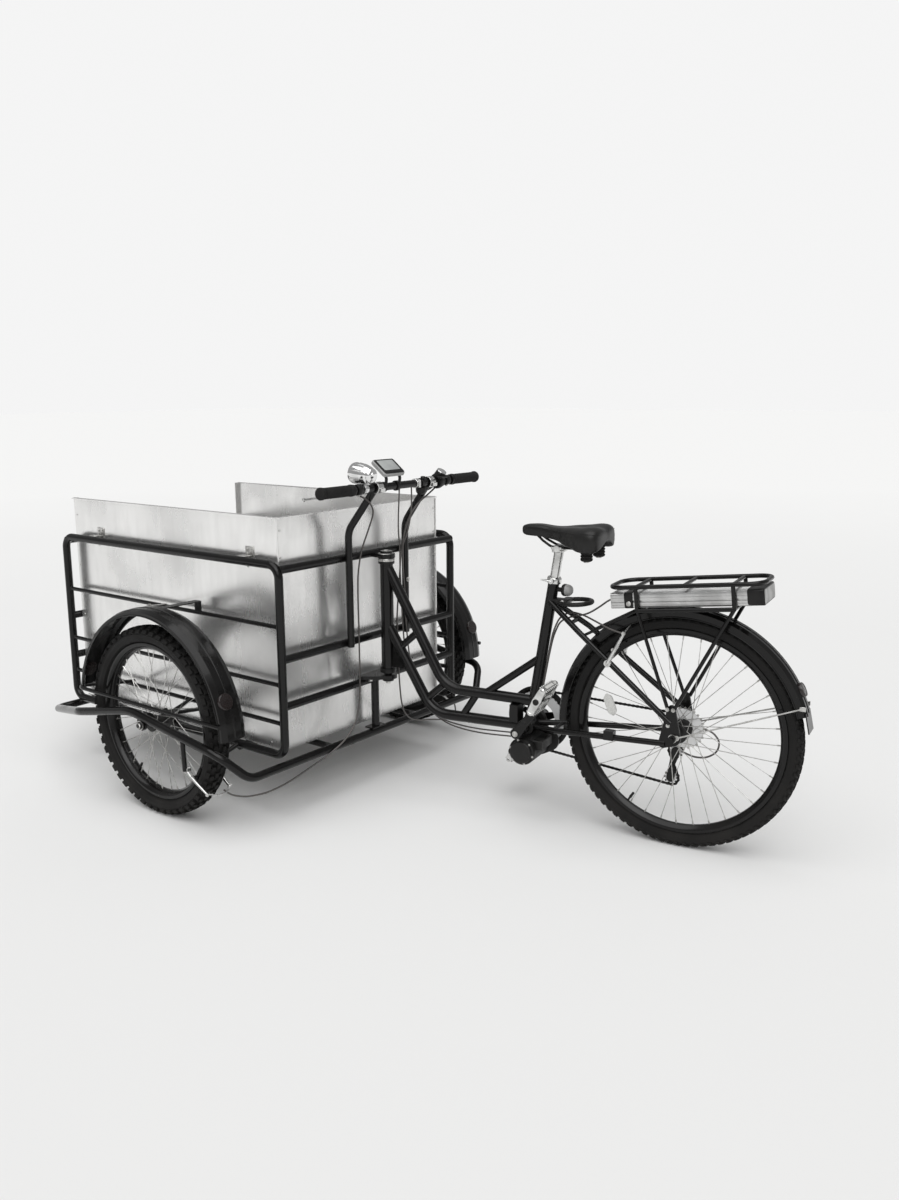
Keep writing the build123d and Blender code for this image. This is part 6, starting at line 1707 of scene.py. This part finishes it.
def build_cassette():
    """Sprockets, their core, and the changer below."""
    place = REAR @ Matrix.Translation((REAR_X, 0.0, REAR_R))
    rings = []
    for k in range(7):
        radius = 25.4 + k / 6 * 31.0
        rings.append((radius, 11 + round(k * 2.6), CHAIN_Y + k * 4.4, 1.9, 17.0))
    made = toothed("sprockets", place, "wheel_rear", COATS["steel"], rings)
    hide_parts("cassette")
    core = Form()
    core.lathe(
        [
            (7.0, -60.6), (17.0, -60.6), (18.4, -59.0), (18.4, -30.6), (24.0, -29.6), (24.0, -28.2),
            (12.0, -28.2), (7.0, -40.0)
        ], sides=36, closed=True
    )
    for k in range(7):
        core.bored(21.0 + k * 1.6, 17.6, (0, CHAIN_Y + 2.2 + (k - 0.5) * 4.4 - 0.2, 0), LEFT, 1.0, 32)
    piece("cassette_core", core, place, "wheel_rear", "dark_steel", COATS["dark_steel"])
    plates = Form()
    upper, lower = STATIONS[2], STATIONS[3]
    for y0, y1 in ((CHAIN_Y - 5.5, CHAIN_Y - 3.9), (CHAIN_Y + 3.9, CHAIN_Y + 5.5)):
        plates.plate(
            [(upper[0], upper[1], 12.5), ((upper[0] + lower[0]) / 2 + 4, (upper[1] + lower[1]) / 2, 7.5)], y0,
            y1, 0.5
        )
        plates.plate(
            [(lower[0], lower[1], 12.5), ((upper[0] + lower[0]) / 2 + 4, (upper[1] + lower[1]) / 2, 7.5)], y0,
            y1, 0.5
        )
    plates.plate(
        [(REAR_X + 2, REAR_R - 30, 9.0), (REAR_X + 8, REAR_R - 52, 8.0)], CHAIN_Y - 6, CHAIN_Y - 16, 1.4
    )
    plates.plate(
        [(REAR_X + 8, REAR_R - 52, 9.0), (upper[0] - 4, upper[1], 12.0)], CHAIN_Y - 8, CHAIN_Y - 18, 1.8
    )
    plates.rod(
        (upper[0] - 3, CHAIN_Y - 4, upper[1]), (upper[0] - 3, CHAIN_Y - 19, upper[1]), 11.0, 10.0, 28, 1.2
    )
    piece("changer_cage", plates, *ON_REAR, "black_plastic", COATS["plastic"], ("derailleur",), smooth=32.0)
    for station, name in ((upper, "upper"), (lower, "lower")):
        wheel_place = REAR @ Matrix.Translation((station[0], 0.0, station[1]))
        toothed(
            f"jockey_{name}", wheel_place, "rear_frame", COATS["plastic"], [(17.0, 10, CHAIN_Y, 2.4, 3.0)]
        )


def build_motor():
    """The ribbed can, its cover and screws."""
    can = Form()
    profile = [(0.0, -33.0), (38.0, -33.0), (40.0, -30.0)]
    along = -24.0
    while along < 60.0:
        profile += [(40.0, along), (38.4, along + 0.8), (38.4, along + 2.6), (40.0, along + 3.4)]
        along += 9.0
    profile += [
        (40.0, 72.0), (38.6, 76.4), (35.0, 78.0), (33.4, 78.6), (32.6, 84.0), (30.4, 86.0), (0.0, 86.0)
    ]
    can.lathe(profile, (MOTOR_X, 0, MOTOR_Z), LEFT, 72)
    piece("motor_can", can, *ON_REAR, "black_paint", COATS["cast"], ("mid_motor",), smooth=30.0)
    cover = Form()
    for a, b in (
        ((CRANK_X, CRANK_Z, 35.5), (MOTOR_X, MOTOR_Z, 43.5)),
        ((MOTOR_X, MOTOR_Z, 43.5), (MOTOR_X - 34, MOTOR_Z + 6, 33.5))
    ):
        cover.plate([a, b], -33.4, -47.0, 2.6, 40)
    cover.box((MOTOR_X - 40, 20.0, MOTOR_Z + 19), (31, 78, 29), 2.4)
    cover.plate([(CRANK_X, CRANK_Z, 24.0), (CRANK_X, CRANK_Z - 1, 24.0)], 33.4, 39.0, 1.4, 32)
    piece("motor_cover", cover, *ON_REAR, "black_paint", COATS["cast"], smooth=30.0)
    spots = []
    for k in range(6):
        a = math.radians(15 + 60 * k)
        spots.append(((MOTOR_X + 35.6 * math.cos(a), 77.6, MOTOR_Z + 35.6 * math.sin(a)), (0, 1, 0)))
    for x, z in (
        (CRANK_X - 22, CRANK_Z + 20), (CRANK_X + 24, CRANK_Z + 10), (MOTOR_X + 36, MOTOR_Z - 6),
        (MOTOR_X - 20, MOTOR_Z - 34), (MOTOR_X - 58, MOTOR_Z + 8)
    ):
        spots.append(((x, -47.2, z), (0, -1, 0)))
    bolts("motor_screws", spots, *ON_REAR, "bright_steel", COATS["steel"], 2.6, 2.0, 12, 3.4)


# ---------------------------------------------------------------- seat, rack load and lamps
def build_seatpost():
    """The post with its clamp, and the collar below."""
    way = (seat_axis(806.0) - seat_axis(709.0)).normalized()
    low = seat_axis(709.0)
    post = Form()
    post.tube([seat_axis(690.0), seat_axis(804.0)], 13.6, 40)
    top = seat_axis(806.0)
    post.rod(top - LEFT * 25.5, top + LEFT * 25.5, 10.6, sides=32, edge=1.6)
    post.box(top + UP * 2.0, (33, 50, 9.0), 1.6)
    post.box(top - UP * 7.0, (30, 44, 7.0), 1.6)
    post.rod(top - UP * 11.0 - AHEAD * 9, top + UP * 9.0 - AHEAD * 9, 3.4, sides=14, edge=0.6)
    piece("seat_post", post, *ON_REAR, "bright_alloy", COATS["alloy"], ("seatpost",), smooth=35.0)
    collar = Form()
    collar.lathe(
        [
            (14.2, -3.0), (19.6, -3.0), (20.6, -1.6), (20.6, 11.0), (19.4, 13.0), (16.6, 14.6), (14.2, 14.8)
        ], low, way, 40, closed=True
    )
    collar.rod(low + Vector((-2, -25, 5)), low + Vector((-2, 26, 5)), 4.4, sides=18, edge=0.8)
    collar.rod(low + Vector((-2, -31, 5)), low + Vector((-2, -24, 5)), 7.4, 6.6, 20, 0.9)
    collar.rod(low + Vector((-2, 20, 5)), low + Vector((-2, 31, 5)), 7.4, sides=20, edge=0.9)
    collar.tube(
        rounded(
            [low + Vector((-4, 27, 6)), low + Vector((12, 31, 8)), low + Vector((27, 33, 9))], 9
        ), [5.4, 5.2, 5.0, 4.8, 4.6, 4.6, 4.8, 5.4, 3.0], 14, flat=0.55
    )
    piece("seat_collar", collar, *ON_REAR, "bright_alloy", COATS["alloy"], smooth=35.0)


def between(rows, t):
    """A smooth value at t from rows of (t, value)."""
    for (t0, v0), (t1, v1) in zip(rows, rows[1:]):
        if t <= t1:
            s = (t - t0) / (t1 - t0)
            return v0 + (v1 - v0) * s * s * (3 - 2 * s)
    return rows[-1][1]


HALF_WIDTHS = [
    (0.0, 10.0), (0.05, 18.0), (0.15, 23.0), (0.32, 27.0), (0.47, 38.0), (0.62, 62.0), (0.76, 82.0),
    (0.88, 89.0),
    (0.96, 82.0), (1.0, 66.0),
]
TOPS = [
    (0.0, 862.0), (0.06, 869.0), (0.2, 871.0), (0.42, 866.0), (0.7, 872.0), (0.88, 877.5), (0.96, 875.0),
    (1.0, 866.0)
]
SKIRTS = [
    (0.0, 846.0), (0.06, 838.0), (0.26, 837.0), (0.42, 832.0), (0.6, 818.0), (0.78, 806.0), (0.92, 805.0),
    (1.0, 816.0)
]


def build_saddle():
    """The padded cover, its lobes and skirts, worked up by subdivision from a coarse shell."""
    rows = 21
    form = Form()
    rings = []
    for i in range(rows):
        t = i / (rows - 1)
        x = SADDLE_NOSE_X - SADDLE_LENGTH * t
        w, top, low = between(HALF_WIDTHS, t), between(TOPS, t), between(SKIRTS, t)
        tall = top - low
        groove = 9.0 * math.exp(-(((t - 0.84) / 0.26) ** 2))
        under = low + 0.34 * tall
        half = [
            (0.0, top - groove), (0.26, top - groove * 0.35), (0.52, top), (0.78, top - 0.07 * tall),
            (0.93, top - 0.2 * tall), (1.0, top - 0.44 * tall), (0.99, low + 0.24 * tall),
            (0.93, low + 0.05 * tall),
            (0.84, low), (0.74, low + 0.1 * tall), (0.6, under), (0.25, under + 2.0),
        ]
        ring = [(x, w * y, z) for y, z in half] + [(x, 0.0, under + 2.0)]
        ring += [(x, -w * y, z) for y, z in half[:0:-1]]
        rings.append(ring)
    form.skin(rings)
    source = bpy.data.objects.new("saddle_shell", mesh_of(form, REAR))
    bpy.context.scene.collection.objects.link(source)
    smooth = source.modifiers.new("smooth", "SUBSURF")
    smooth.levels = 3
    smooth.render_levels = 3
    graph = bpy.context.evaluated_depsgraph_get()
    made = bpy.data.meshes.new_from_object(
        source.evaluated_get(graph), preserve_all_data_layers=True, depsgraph=graph
    )
    drop(source)
    obj = bpy.data.objects.new("saddle_cover", made)
    bpy.context.scene.collection.objects.link(obj)
    settle(obj, "rear_frame", COATS["leather"], ("saddle",), smooth=60.0)
    seam = Form()
    for side in (-1, 1):
        line = []
        for i in range(29):
            t = 0.06 + 0.9 * i / 28
            top, low = between(TOPS, t), between(SKIRTS, t)
            line.append(
                (
                    SADDLE_NOSE_X - SADDLE_LENGTH * t, side * between(HALF_WIDTHS, t) * 0.925,
                    top - 0.24 * (top - low)
                )
            )
        seam.tube(line, 1.3, 8)
    piece("saddle_seams", seam, *ON_REAR, "saddle_cover", COATS["leather"], smooth=60.0)


def build_saddle_rails():
    """Rails, springs and clamp under the saddle."""
    rails = Form()
    springs = Form()
    caps = Form()
    tail = -668.0
    for side in (-1, 1):
        route = [
            (-504.0, side * 10, 842.0), (-526.0, side * 16, 826.0), (-552.0, side * 21, 812.0),
            (-600.0, side * 21, 810.0), (-636.0, side * 28, 811.0), (tail, side * 42, 816.0),
        ]
        rails.tube(rounded(route, 24, 5), 3.5, 12)
        profile = [(0.0, -24.0), (12.0, -24.0), (15.6, -22.0)]
        for k in range(4):
            z = -20.0 + k * 8.0
            profile += [(16.8, z), (17.0, z + 3.6), (14.8, z + 5.2), (14.8, z + 6.6)]
        profile += [(16.4, 12.4), (13.0, 13.4), (0.0, 13.4)]
        springs.lathe(profile, (tail, side * 48, 806.0), UP, 36)
        caps.lathe(
            [(0.0, -27.0), (8.0, -27.0), (8.4, -25.0), (8.4, -23.0), (0.0, -23.0)], (tail, side * 48, 806.0),
            UP, 6
        )
    rails.tube(
        rounded([(-504.0, -10, 842.0), (-500.0, -6, 844.0), (-500.0, 6, 844.0), (-504.0, 10, 842.0)], 4), 3.5,
        12
    )
    rails.box((tail, 0.0, 815.0), (16, 104, 3.0), 0.8)
    piece(
        "saddle_frame", rails, *ON_REAR, "bright_steel", COATS["dark_steel"], ("saddle_rails",), smooth=40.0
    )
    piece("saddle_springs", springs, *ON_REAR, "grip_rubber", COATS["rubber"], smooth=32.0)
    piece("saddle_spring_nuts", caps, *ON_REAR, "bright_steel", COATS["steel"], smooth=30.0)


def battery_section(half_w, height):
    """Outline across the battery, with grooves along its sides and top."""
    low, high = -height / 2, height / 2
    corner = 6.5
    side_steps = [
        (low + 8.0, 0.0), (low + 8.4, 1.6), (low + 10.0, 1.6), (low + 10.4, 0.0), (low + 15.6, 0.0),
        (low + 16.2, 5.0),
        (low + 20.6, 5.0), (low + 21.2, 0.0), (low + 28.0, 0.0), (low + 28.4, 1.4), (low + 29.6, 1.4),
        (low + 30.0, 0.0),
    ]
    points = []

    def rounded_corner(y, z, start):
        for k in range(5):
            a = math.radians(start + 90 * k / 4)
            points.append((y + corner * math.cos(a), z + corner * math.sin(a)))

    rounded_corner(-half_w + corner, low + corner, 180)
    rounded_corner(half_w - corner, low + corner, 270)
    points.extend((half_w - deep, z) for z, deep in side_steps)
    rounded_corner(half_w - corner, high - corner, 0)
    for k in range(11):
        for shift, deep in ((3.0, 0.0), (2.2, 1.4), (-2.2, 1.4), (-3.0, 0.0)):
            points.append((half_w - corner - 6.0 - k * 9.6 + shift, high - deep))
    rounded_corner(-half_w + corner, high - corner, 90)
    points.extend((deep - half_w, z) for z, deep in reversed(side_steps))
    return points


def slab(form, x0, x1, half_w, z0, z1, corner, edge):
    """A block along x with rounded long corners and softened ends."""
    points = []
    for sy in (-1, 1):
        for upper in (False, True):
            for k in range(6):
                a = math.pi / 2 * k / 5
                for x, inset in ((x0, edge), (x0 + edge, 0.0), (x1 - edge, 0.0), (x1, edge)):
                    r = corner - inset
                    y = sy * (half_w - corner + r * math.cos(a))
                    z = (z1 - corner + r * math.sin(a)) if upper else (z0 + corner - r * math.sin(a))
                    points.append((x, y, z))
    form.hull(points)


def build_battery():
    """The case, its caps, end plate, lock and rail."""
    body = Form(RACK)
    outline = battery_section(62.0, 42.0)
    body.skin([[(x, y, z) for y, z in outline] for x in (-168.0, 202.0)])
    piece("battery_case", body, *ON_REAR, "sheet_aluminium", COATS["battery"], ("battery",), smooth=25.0)
    dark = Form(RACK)
    slab(dark, 140.0, 164.0, 63.8, -21.4, 22.4, 8.0, 1.4)
    slab(dark, -203.0, -160.0, 63.8, -20.4, 23.6, 9.0, 2.0)
    slab(dark, 200.0, 204.0, 56.0, -16.0, 16.0, 6.0, 1.2)
    piece("battery_caps", dark, *ON_REAR, "black_plastic", COATS["plastic"], smooth=32.0)
    face = Form(RACK)
    slab(face, -204.0, -202.0, 60.0, -17.0, 20.0, 7.0, 0.8)
    piece("battery_end_plate", face, *ON_REAR, "sheet_aluminium", COATS["grey_plastic"], smooth=32.0)
    trim = Form(RACK)
    trim.lathe(
        [(0.0, 0.0), (6.6, 0.0), (6.6, 1.8), (5.8, 2.4), (3.2, 2.6), (2.8, 1.6), (0.0, 1.6)],
        (152.0, 63.4, -8.0), LEFT, 28
    )
    piece("battery_lock", trim, *ON_REAR, "bright_steel", COATS["steel"], smooth=32.0)
    seat = Form(RACK)
    seat.box((16.0, 0.0, -23.0), (350.0, 60.0, 3.0), 0.6)
    piece("battery_rail", seat, *ON_REAR, "black_plastic", COATS["plastic"])


def build_rear_lamps():
    """The tail lamp and what hangs from the rear guard."""
    at = seat_axis(684.0)
    shell = Form()
    shell.rod((at.x - 14, 0, 688), (at.x - 36, 0, 688), 6.6, sides=20)
    shell.lathe(
        [
            (0.0, 28.0), (9.0, 28.0), (15.0, 31.0), (17.4, 35.0), (17.6, 40.0), (16.6, 41.0), (0.0, 41.0)
        ], (at.x, 0, 688), -AHEAD, 40
    )
    piece("tail_lamp_shell", shell, *ON_REAR, "black_plastic", COATS["plastic"], ("tail_lamp",), smooth=35.0)
    face = Form()
    face.lathe(
        [
            (0.0, 40.0), (16.6, 40.0), (16.8, 44.0), (16.0, 50.0), (13.4, 55.4), (9.0, 59.2), (4.0, 61.2),
            (0.0, 61.6)
        ],
        (at.x, 0, 688), -AHEAD, 40,
    )
    piece("tail_lamp_face", face, *ON_REAR, "reflector", COATS["grey_plastic"], smooth=50.0)
    lock = Form()
    centre = Vector((seat_axis(658.0).x - 76, 0, 657))
    lean = Matrix.Rotation(math.radians(3.0), 3, "Y")
    path = [
        centre + lean @ Vector((44 * math.cos(math.radians(a)), 44 * math.sin(math.radians(a)), 0))
        for a in range(0, 360, 6)
    ]
    lock.tube(path, 6.5, 16, closed=True)
    lock.box((seat_axis(658.0).x - 26, 0, 655.5), (32, 23, 16), 2.4)
    lock.box(centre + Vector((30, 0, 1.0)), (26, 62, 12.4), 3.4)
    piece("ring_lock_loop", lock, *ON_REAR, "black_plastic", COATS["plastic"], ("ring_lock",), smooth=40.0)
    key = Form()
    key.lathe(
        [(0.0, 0.0), (6.0, 0.0), (6.0, 1.6), (5.2, 2.2), (0.0, 2.2)], centre + Vector((30, 30.6, 1.0)), LEFT,
        24
    )
    piece("ring_lock_cylinder", key, *ON_REAR, "bright_steel", COATS["steel"], smooth=35.0)


# ---------------------------------------------------------------- carried finishes, stage and camera
def build_frame_finishes():
    """The finishes of every frame part that is shown as packed."""
    for coat, nodes in CARRIED.items():
        for node in nodes:
            for slot in frame["nodes"][node].material_slots:
                slot.material = COATS[coat]


def floor_finish(looks):
    """A pale floor, painted a little lighter far from the tricycle as painted light, where it meets the pale
    room.
    """
    coat_of = bpy.data.materials.new("studio_floor")
    coat_of.use_nodes = True
    coat_of.node_tree.nodes.clear()
    n = Nodes(coat_of.node_tree)
    where = n.add("ShaderNodeTexCoord").outputs["Object"]
    reach = n.add("ShaderNodeVectorMath", {0: where}, operation="LENGTH").outputs["Value"]
    cloud = n.add("ShaderNodeTexNoise", {"Vector": where, "Scale": 0.5, "Detail": 2.0}).outputs[0]
    # Painted light: the floor colour is painted lighter with distance, standing in for the brighter far
    # studio; the noise adds uneven floor tone.
    spread = n.span(n.maths("ADD", reach, n.maths("MULTIPLY", cloud, 2.0)), 4.0, 12.0)
    near = tuple(looks.ground_colour)
    tone = n.mixed(spread, (*near, 1.0), (*[c * looks.far_floor_painted_light for c in near], 1.0))
    shader = n.add("ShaderNodeBsdfDiffuse", {"Color": tone})
    n.add("ShaderNodeOutputMaterial", {"Surface": shader.outputs[0]})
    return coat_of


def build_stage(looks):
    """Pale floor, soft even lamps, room light and the camera."""
    reach = 60.0
    mesh = bpy.data.meshes.new("studio_floor")
    corners = [(-reach, -reach, 0.0), (reach, -reach, 0.0), (reach, reach, 0.0), (-reach, reach, 0.0)]
    mesh.from_pydata(corners, [], [(0, 1, 2, 3)])
    floor = bpy.data.objects.new("studio_floor", mesh)
    bpy.context.scene.collection.objects.link(floor)
    mesh.materials.append(floor_finish(looks))
    world = bpy.data.worlds.new("studio")
    world.use_nodes = True
    world.node_tree.nodes.clear()
    n = Nodes(world.node_tree)
    shown = n.add("ShaderNodeLightPath").outputs["Is Camera Ray"]
    level = n.span(shown, 0.0, 1.0, looks.ambient, 0.91)
    back = n.add("ShaderNodeBackground", {"Color": (1.0, 1.0, 1.0, 1.0), "Strength": level})
    n.add("ShaderNodeOutputWorld", {"Surface": back.outputs[0]})
    bpy.context.scene.world = world
    lamps = (
        ("top", (-0.15, 0.35, 1.0), 70.0, 0.74), ("camera_side", (-1.0, 1.1, 1.2), 50.0, 0.26),
    )
    for name, way, spread, share in lamps:
        data = bpy.data.lights.new(name, "SUN")
        data.angle = math.radians(spread)
        data.energy = looks.lamp_power * share
        lamp = bpy.data.objects.new(name, data)
        lamp.rotation_euler = (-Vector(way)).to_track_quat("-Z", "Y").to_euler()
        lamp.location = Vector(way) * 4.0
        bpy.context.scene.collection.objects.link(lamp)
    lens = bpy.data.cameras.new("camera")
    lens.lens = 31.12
    lens.sensor_width = 36.0
    eye = bpy.data.objects.new("camera", lens)
    look = Vector((0.5978, -0.777, -0.1975)).normalized()
    turn = look.to_track_quat("-Z", "Y").to_matrix() @ Matrix.Rotation(-0.0054, 3, "Z")
    eye.matrix_world = Matrix.Translation((-1.99, 2.369, 1.237)) @ turn.to_4x4()
    bpy.context.scene.collection.objects.link(eye)
    bpy.context.scene.camera = eye
    bpy.context.scene.view_settings.view_transform = "Standard"


# ---------------------------------------------------------------- commands, panel and run
class TRICYCLE_OT_finishes(bpy.types.Operator):
    """Makes every finish the pieces use"""

    bl_idname = "tricycle.finishes"
    bl_label = "Finishes"

    def execute(self, context):
        make_finishes(context.scene.tricycle_looks)
        return {"FINISHED"}


class TRICYCLE_OT_frame(bpy.types.Operator):
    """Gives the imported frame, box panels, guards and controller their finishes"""

    bl_idname = "tricycle.frame"
    bl_label = "Frame"

    def execute(self, context):
        build_frame_finishes()
        return {"FINISHED"}


class TRICYCLE_OT_wheels(bpy.types.Operator):
    """Builds rims, hubs, laced spokes and the spoke reflector"""

    bl_idname = "tricycle.wheels"
    bl_label = "Wheels"

    def execute(self, context):
        build_wheels(context.scene.tricycle_looks)
        return {"FINISHED"}


class TRICYCLE_OT_tyres(bpy.types.Operator):
    """Builds the three tyres with their tread blocks"""

    bl_idname = "tricycle.tyres"
    bl_label = "Tyres"

    def execute(self, context):
        build_tyres(context.scene.tricycle_looks)
        return {"FINISHED"}


class TRICYCLE_OT_guards(bpy.types.Operator):
    """Builds rolled edges, reflectors, straps and stays of the mudguards"""

    bl_idname = "tricycle.guards"
    bl_label = "Mudguard trim"

    def execute(self, context):
        build_guard_trim()
        return {"FINISHED"}


class TRICYCLE_OT_box(bpy.types.Operator):
    """Builds the box's hooks, seams and rivets"""

    bl_idname = "tricycle.box"
    bl_label = "Box trim"

    def execute(self, context):
        build_box_trim()
        return {"FINISHED"}


class TRICYCLE_OT_fasteners(bpy.types.Operator):
    """Builds bolts, nuts, head cups and weld beads"""

    bl_idname = "tricycle.fasteners"
    bl_label = "Fasteners"

    def execute(self, context):
        build_fasteners()
        return {"FINISHED"}


class TRICYCLE_OT_grips(bpy.types.Operator):
    """Builds the ribbed grips and their collars"""

    bl_idname = "tricycle.grips"
    bl_label = "Grips"

    def execute(self, context):
        build_grips()
        return {"FINISHED"}


class TRICYCLE_OT_levers(bpy.types.Operator):
    """Builds lever bodies and blades"""

    bl_idname = "tricycle.levers"
    bl_label = "Brake levers"

    def execute(self, context):
        build_levers()
        return {"FINISHED"}


class TRICYCLE_OT_bar(bpy.types.Operator):
    """Builds the gear dial, bell, clamps, lamp and readout"""

    bl_idname = "tricycle.bar"
    bl_label = "Bar controls"

    def execute(self, context):
        build_bar_controls()
        return {"FINISHED"}


class TRICYCLE_OT_front_brakes(bpy.types.Operator):
    """Builds both front rim brakes"""

    bl_idname = "tricycle.front_brakes"
    bl_label = "Front brakes"

    def execute(self, context):
        build_front_brakes()
        return {"FINISHED"}


class TRICYCLE_OT_rear_brake(bpy.types.Operator):
    """Builds the rear rim brake"""

    bl_idname = "tricycle.rear_brake"
    bl_label = "Rear brake"

    def execute(self, context):
        build_rear_brake()
        return {"FINISHED"}


class TRICYCLE_OT_cranks(bpy.types.Operator):
    """Builds crank arms, chainring and guard disc"""

    bl_idname = "tricycle.cranks"
    bl_label = "Cranks"

    def execute(self, context):
        build_crankset()
        return {"FINISHED"}


class TRICYCLE_OT_pedals(bpy.types.Operator):
    """Builds both cage pedals"""

    bl_idname = "tricycle.pedals"
    bl_label = "Pedals"

    def execute(self, context):
        build_pedals()
        return {"FINISHED"}


class TRICYCLE_OT_chain(bpy.types.Operator):
    """Builds the chain link by link"""

    bl_idname = "tricycle.chain"
    bl_label = "Chain"

    def execute(self, context):
        build_chain()
        return {"FINISHED"}


class TRICYCLE_OT_cassette(bpy.types.Operator):
    """Builds the sprockets and the changer"""

    bl_idname = "tricycle.cassette"
    bl_label = "Sprockets"

    def execute(self, context):
        build_cassette()
        return {"FINISHED"}


class TRICYCLE_OT_motor(bpy.types.Operator):
    """Builds the mid motor and its cover"""

    bl_idname = "tricycle.motor"
    bl_label = "Motor"

    def execute(self, context):
        build_motor()
        return {"FINISHED"}


class TRICYCLE_OT_seatpost(bpy.types.Operator):
    """Builds the seat post and its collar"""

    bl_idname = "tricycle.seatpost"
    bl_label = "Seat post"

    def execute(self, context):
        build_seatpost()
        return {"FINISHED"}


class TRICYCLE_OT_saddle(bpy.types.Operator):
    """Builds the padded saddle cover"""

    bl_idname = "tricycle.saddle"
    bl_label = "Saddle"

    def execute(self, context):
        build_saddle()
        return {"FINISHED"}


class TRICYCLE_OT_saddle_rails(bpy.types.Operator):
    """Builds the saddle's rails and rubber springs"""

    bl_idname = "tricycle.saddle_rails"
    bl_label = "Saddle springs"

    def execute(self, context):
        build_saddle_rails()
        return {"FINISHED"}


class TRICYCLE_OT_battery(bpy.types.Operator):
    """Builds the ribbed battery with its caps"""

    bl_idname = "tricycle.battery"
    bl_label = "Battery"

    def execute(self, context):
        build_battery()
        return {"FINISHED"}


class TRICYCLE_OT_rear_lamps(bpy.types.Operator):
    """Builds the tail lamp and the ring lock"""

    bl_idname = "tricycle.rear_lamps"
    bl_label = "Rear lamp and lock"

    def execute(self, context):
        build_rear_lamps()
        return {"FINISHED"}


class TRICYCLE_OT_stage(bpy.types.Operator):
    """Builds floor, room light, lamps and camera"""

    bl_idname = "tricycle.stage"
    bl_label = "Stage"

    def execute(self, context):
        build_stage(context.scene.tricycle_looks)
        return {"FINISHED"}


OPERATORS = [
    TRICYCLE_OT_finishes, TRICYCLE_OT_frame, TRICYCLE_OT_wheels, TRICYCLE_OT_tyres, TRICYCLE_OT_guards,
    TRICYCLE_OT_box, TRICYCLE_OT_fasteners, TRICYCLE_OT_grips, TRICYCLE_OT_levers, TRICYCLE_OT_bar,
    TRICYCLE_OT_front_brakes, TRICYCLE_OT_rear_brake, TRICYCLE_OT_cranks, TRICYCLE_OT_pedals,
    TRICYCLE_OT_chain, TRICYCLE_OT_cassette, TRICYCLE_OT_motor, TRICYCLE_OT_seatpost, TRICYCLE_OT_saddle,
    TRICYCLE_OT_saddle_rails, TRICYCLE_OT_battery, TRICYCLE_OT_rear_lamps, TRICYCLE_OT_stage,
]


class TRICYCLE_PT_panel(bpy.types.Panel):
    """Lists every builder of the tricycle"""

    bl_label = "Cargo tricycle"
    bl_idname = "TRICYCLE_PT_panel"
    bl_space_type = "VIEW_3D"
    bl_region_type = "UI"
    bl_category = "Tricycle"

    def draw(self, context):
        looks = context.scene.tricycle_looks
        for name in TRICYCLE_PG_looks.__annotations__:
            self.layout.prop(looks, name)
        for operator in OPERATORS:
            self.layout.operator(operator.bl_idname)


def register():
    for kind in (TRICYCLE_PG_looks, *OPERATORS, TRICYCLE_PT_panel):
        bpy.utils.register_class(kind)
    bpy.types.Scene.tricycle_looks = bpy.props.PointerProperty(type=TRICYCLE_PG_looks)


def unregister():
    del bpy.types.Scene.tricycle_looks
    for kind in (TRICYCLE_PT_panel, *reversed(OPERATORS), TRICYCLE_PG_looks):
        bpy.utils.unregister_class(kind)


def main():
    register()
    for operator in OPERATORS:
        group, name = operator.bl_idname.split(".")
        getattr(getattr(bpy.ops, group), name)()


if __name__ == "__main__":
    main()
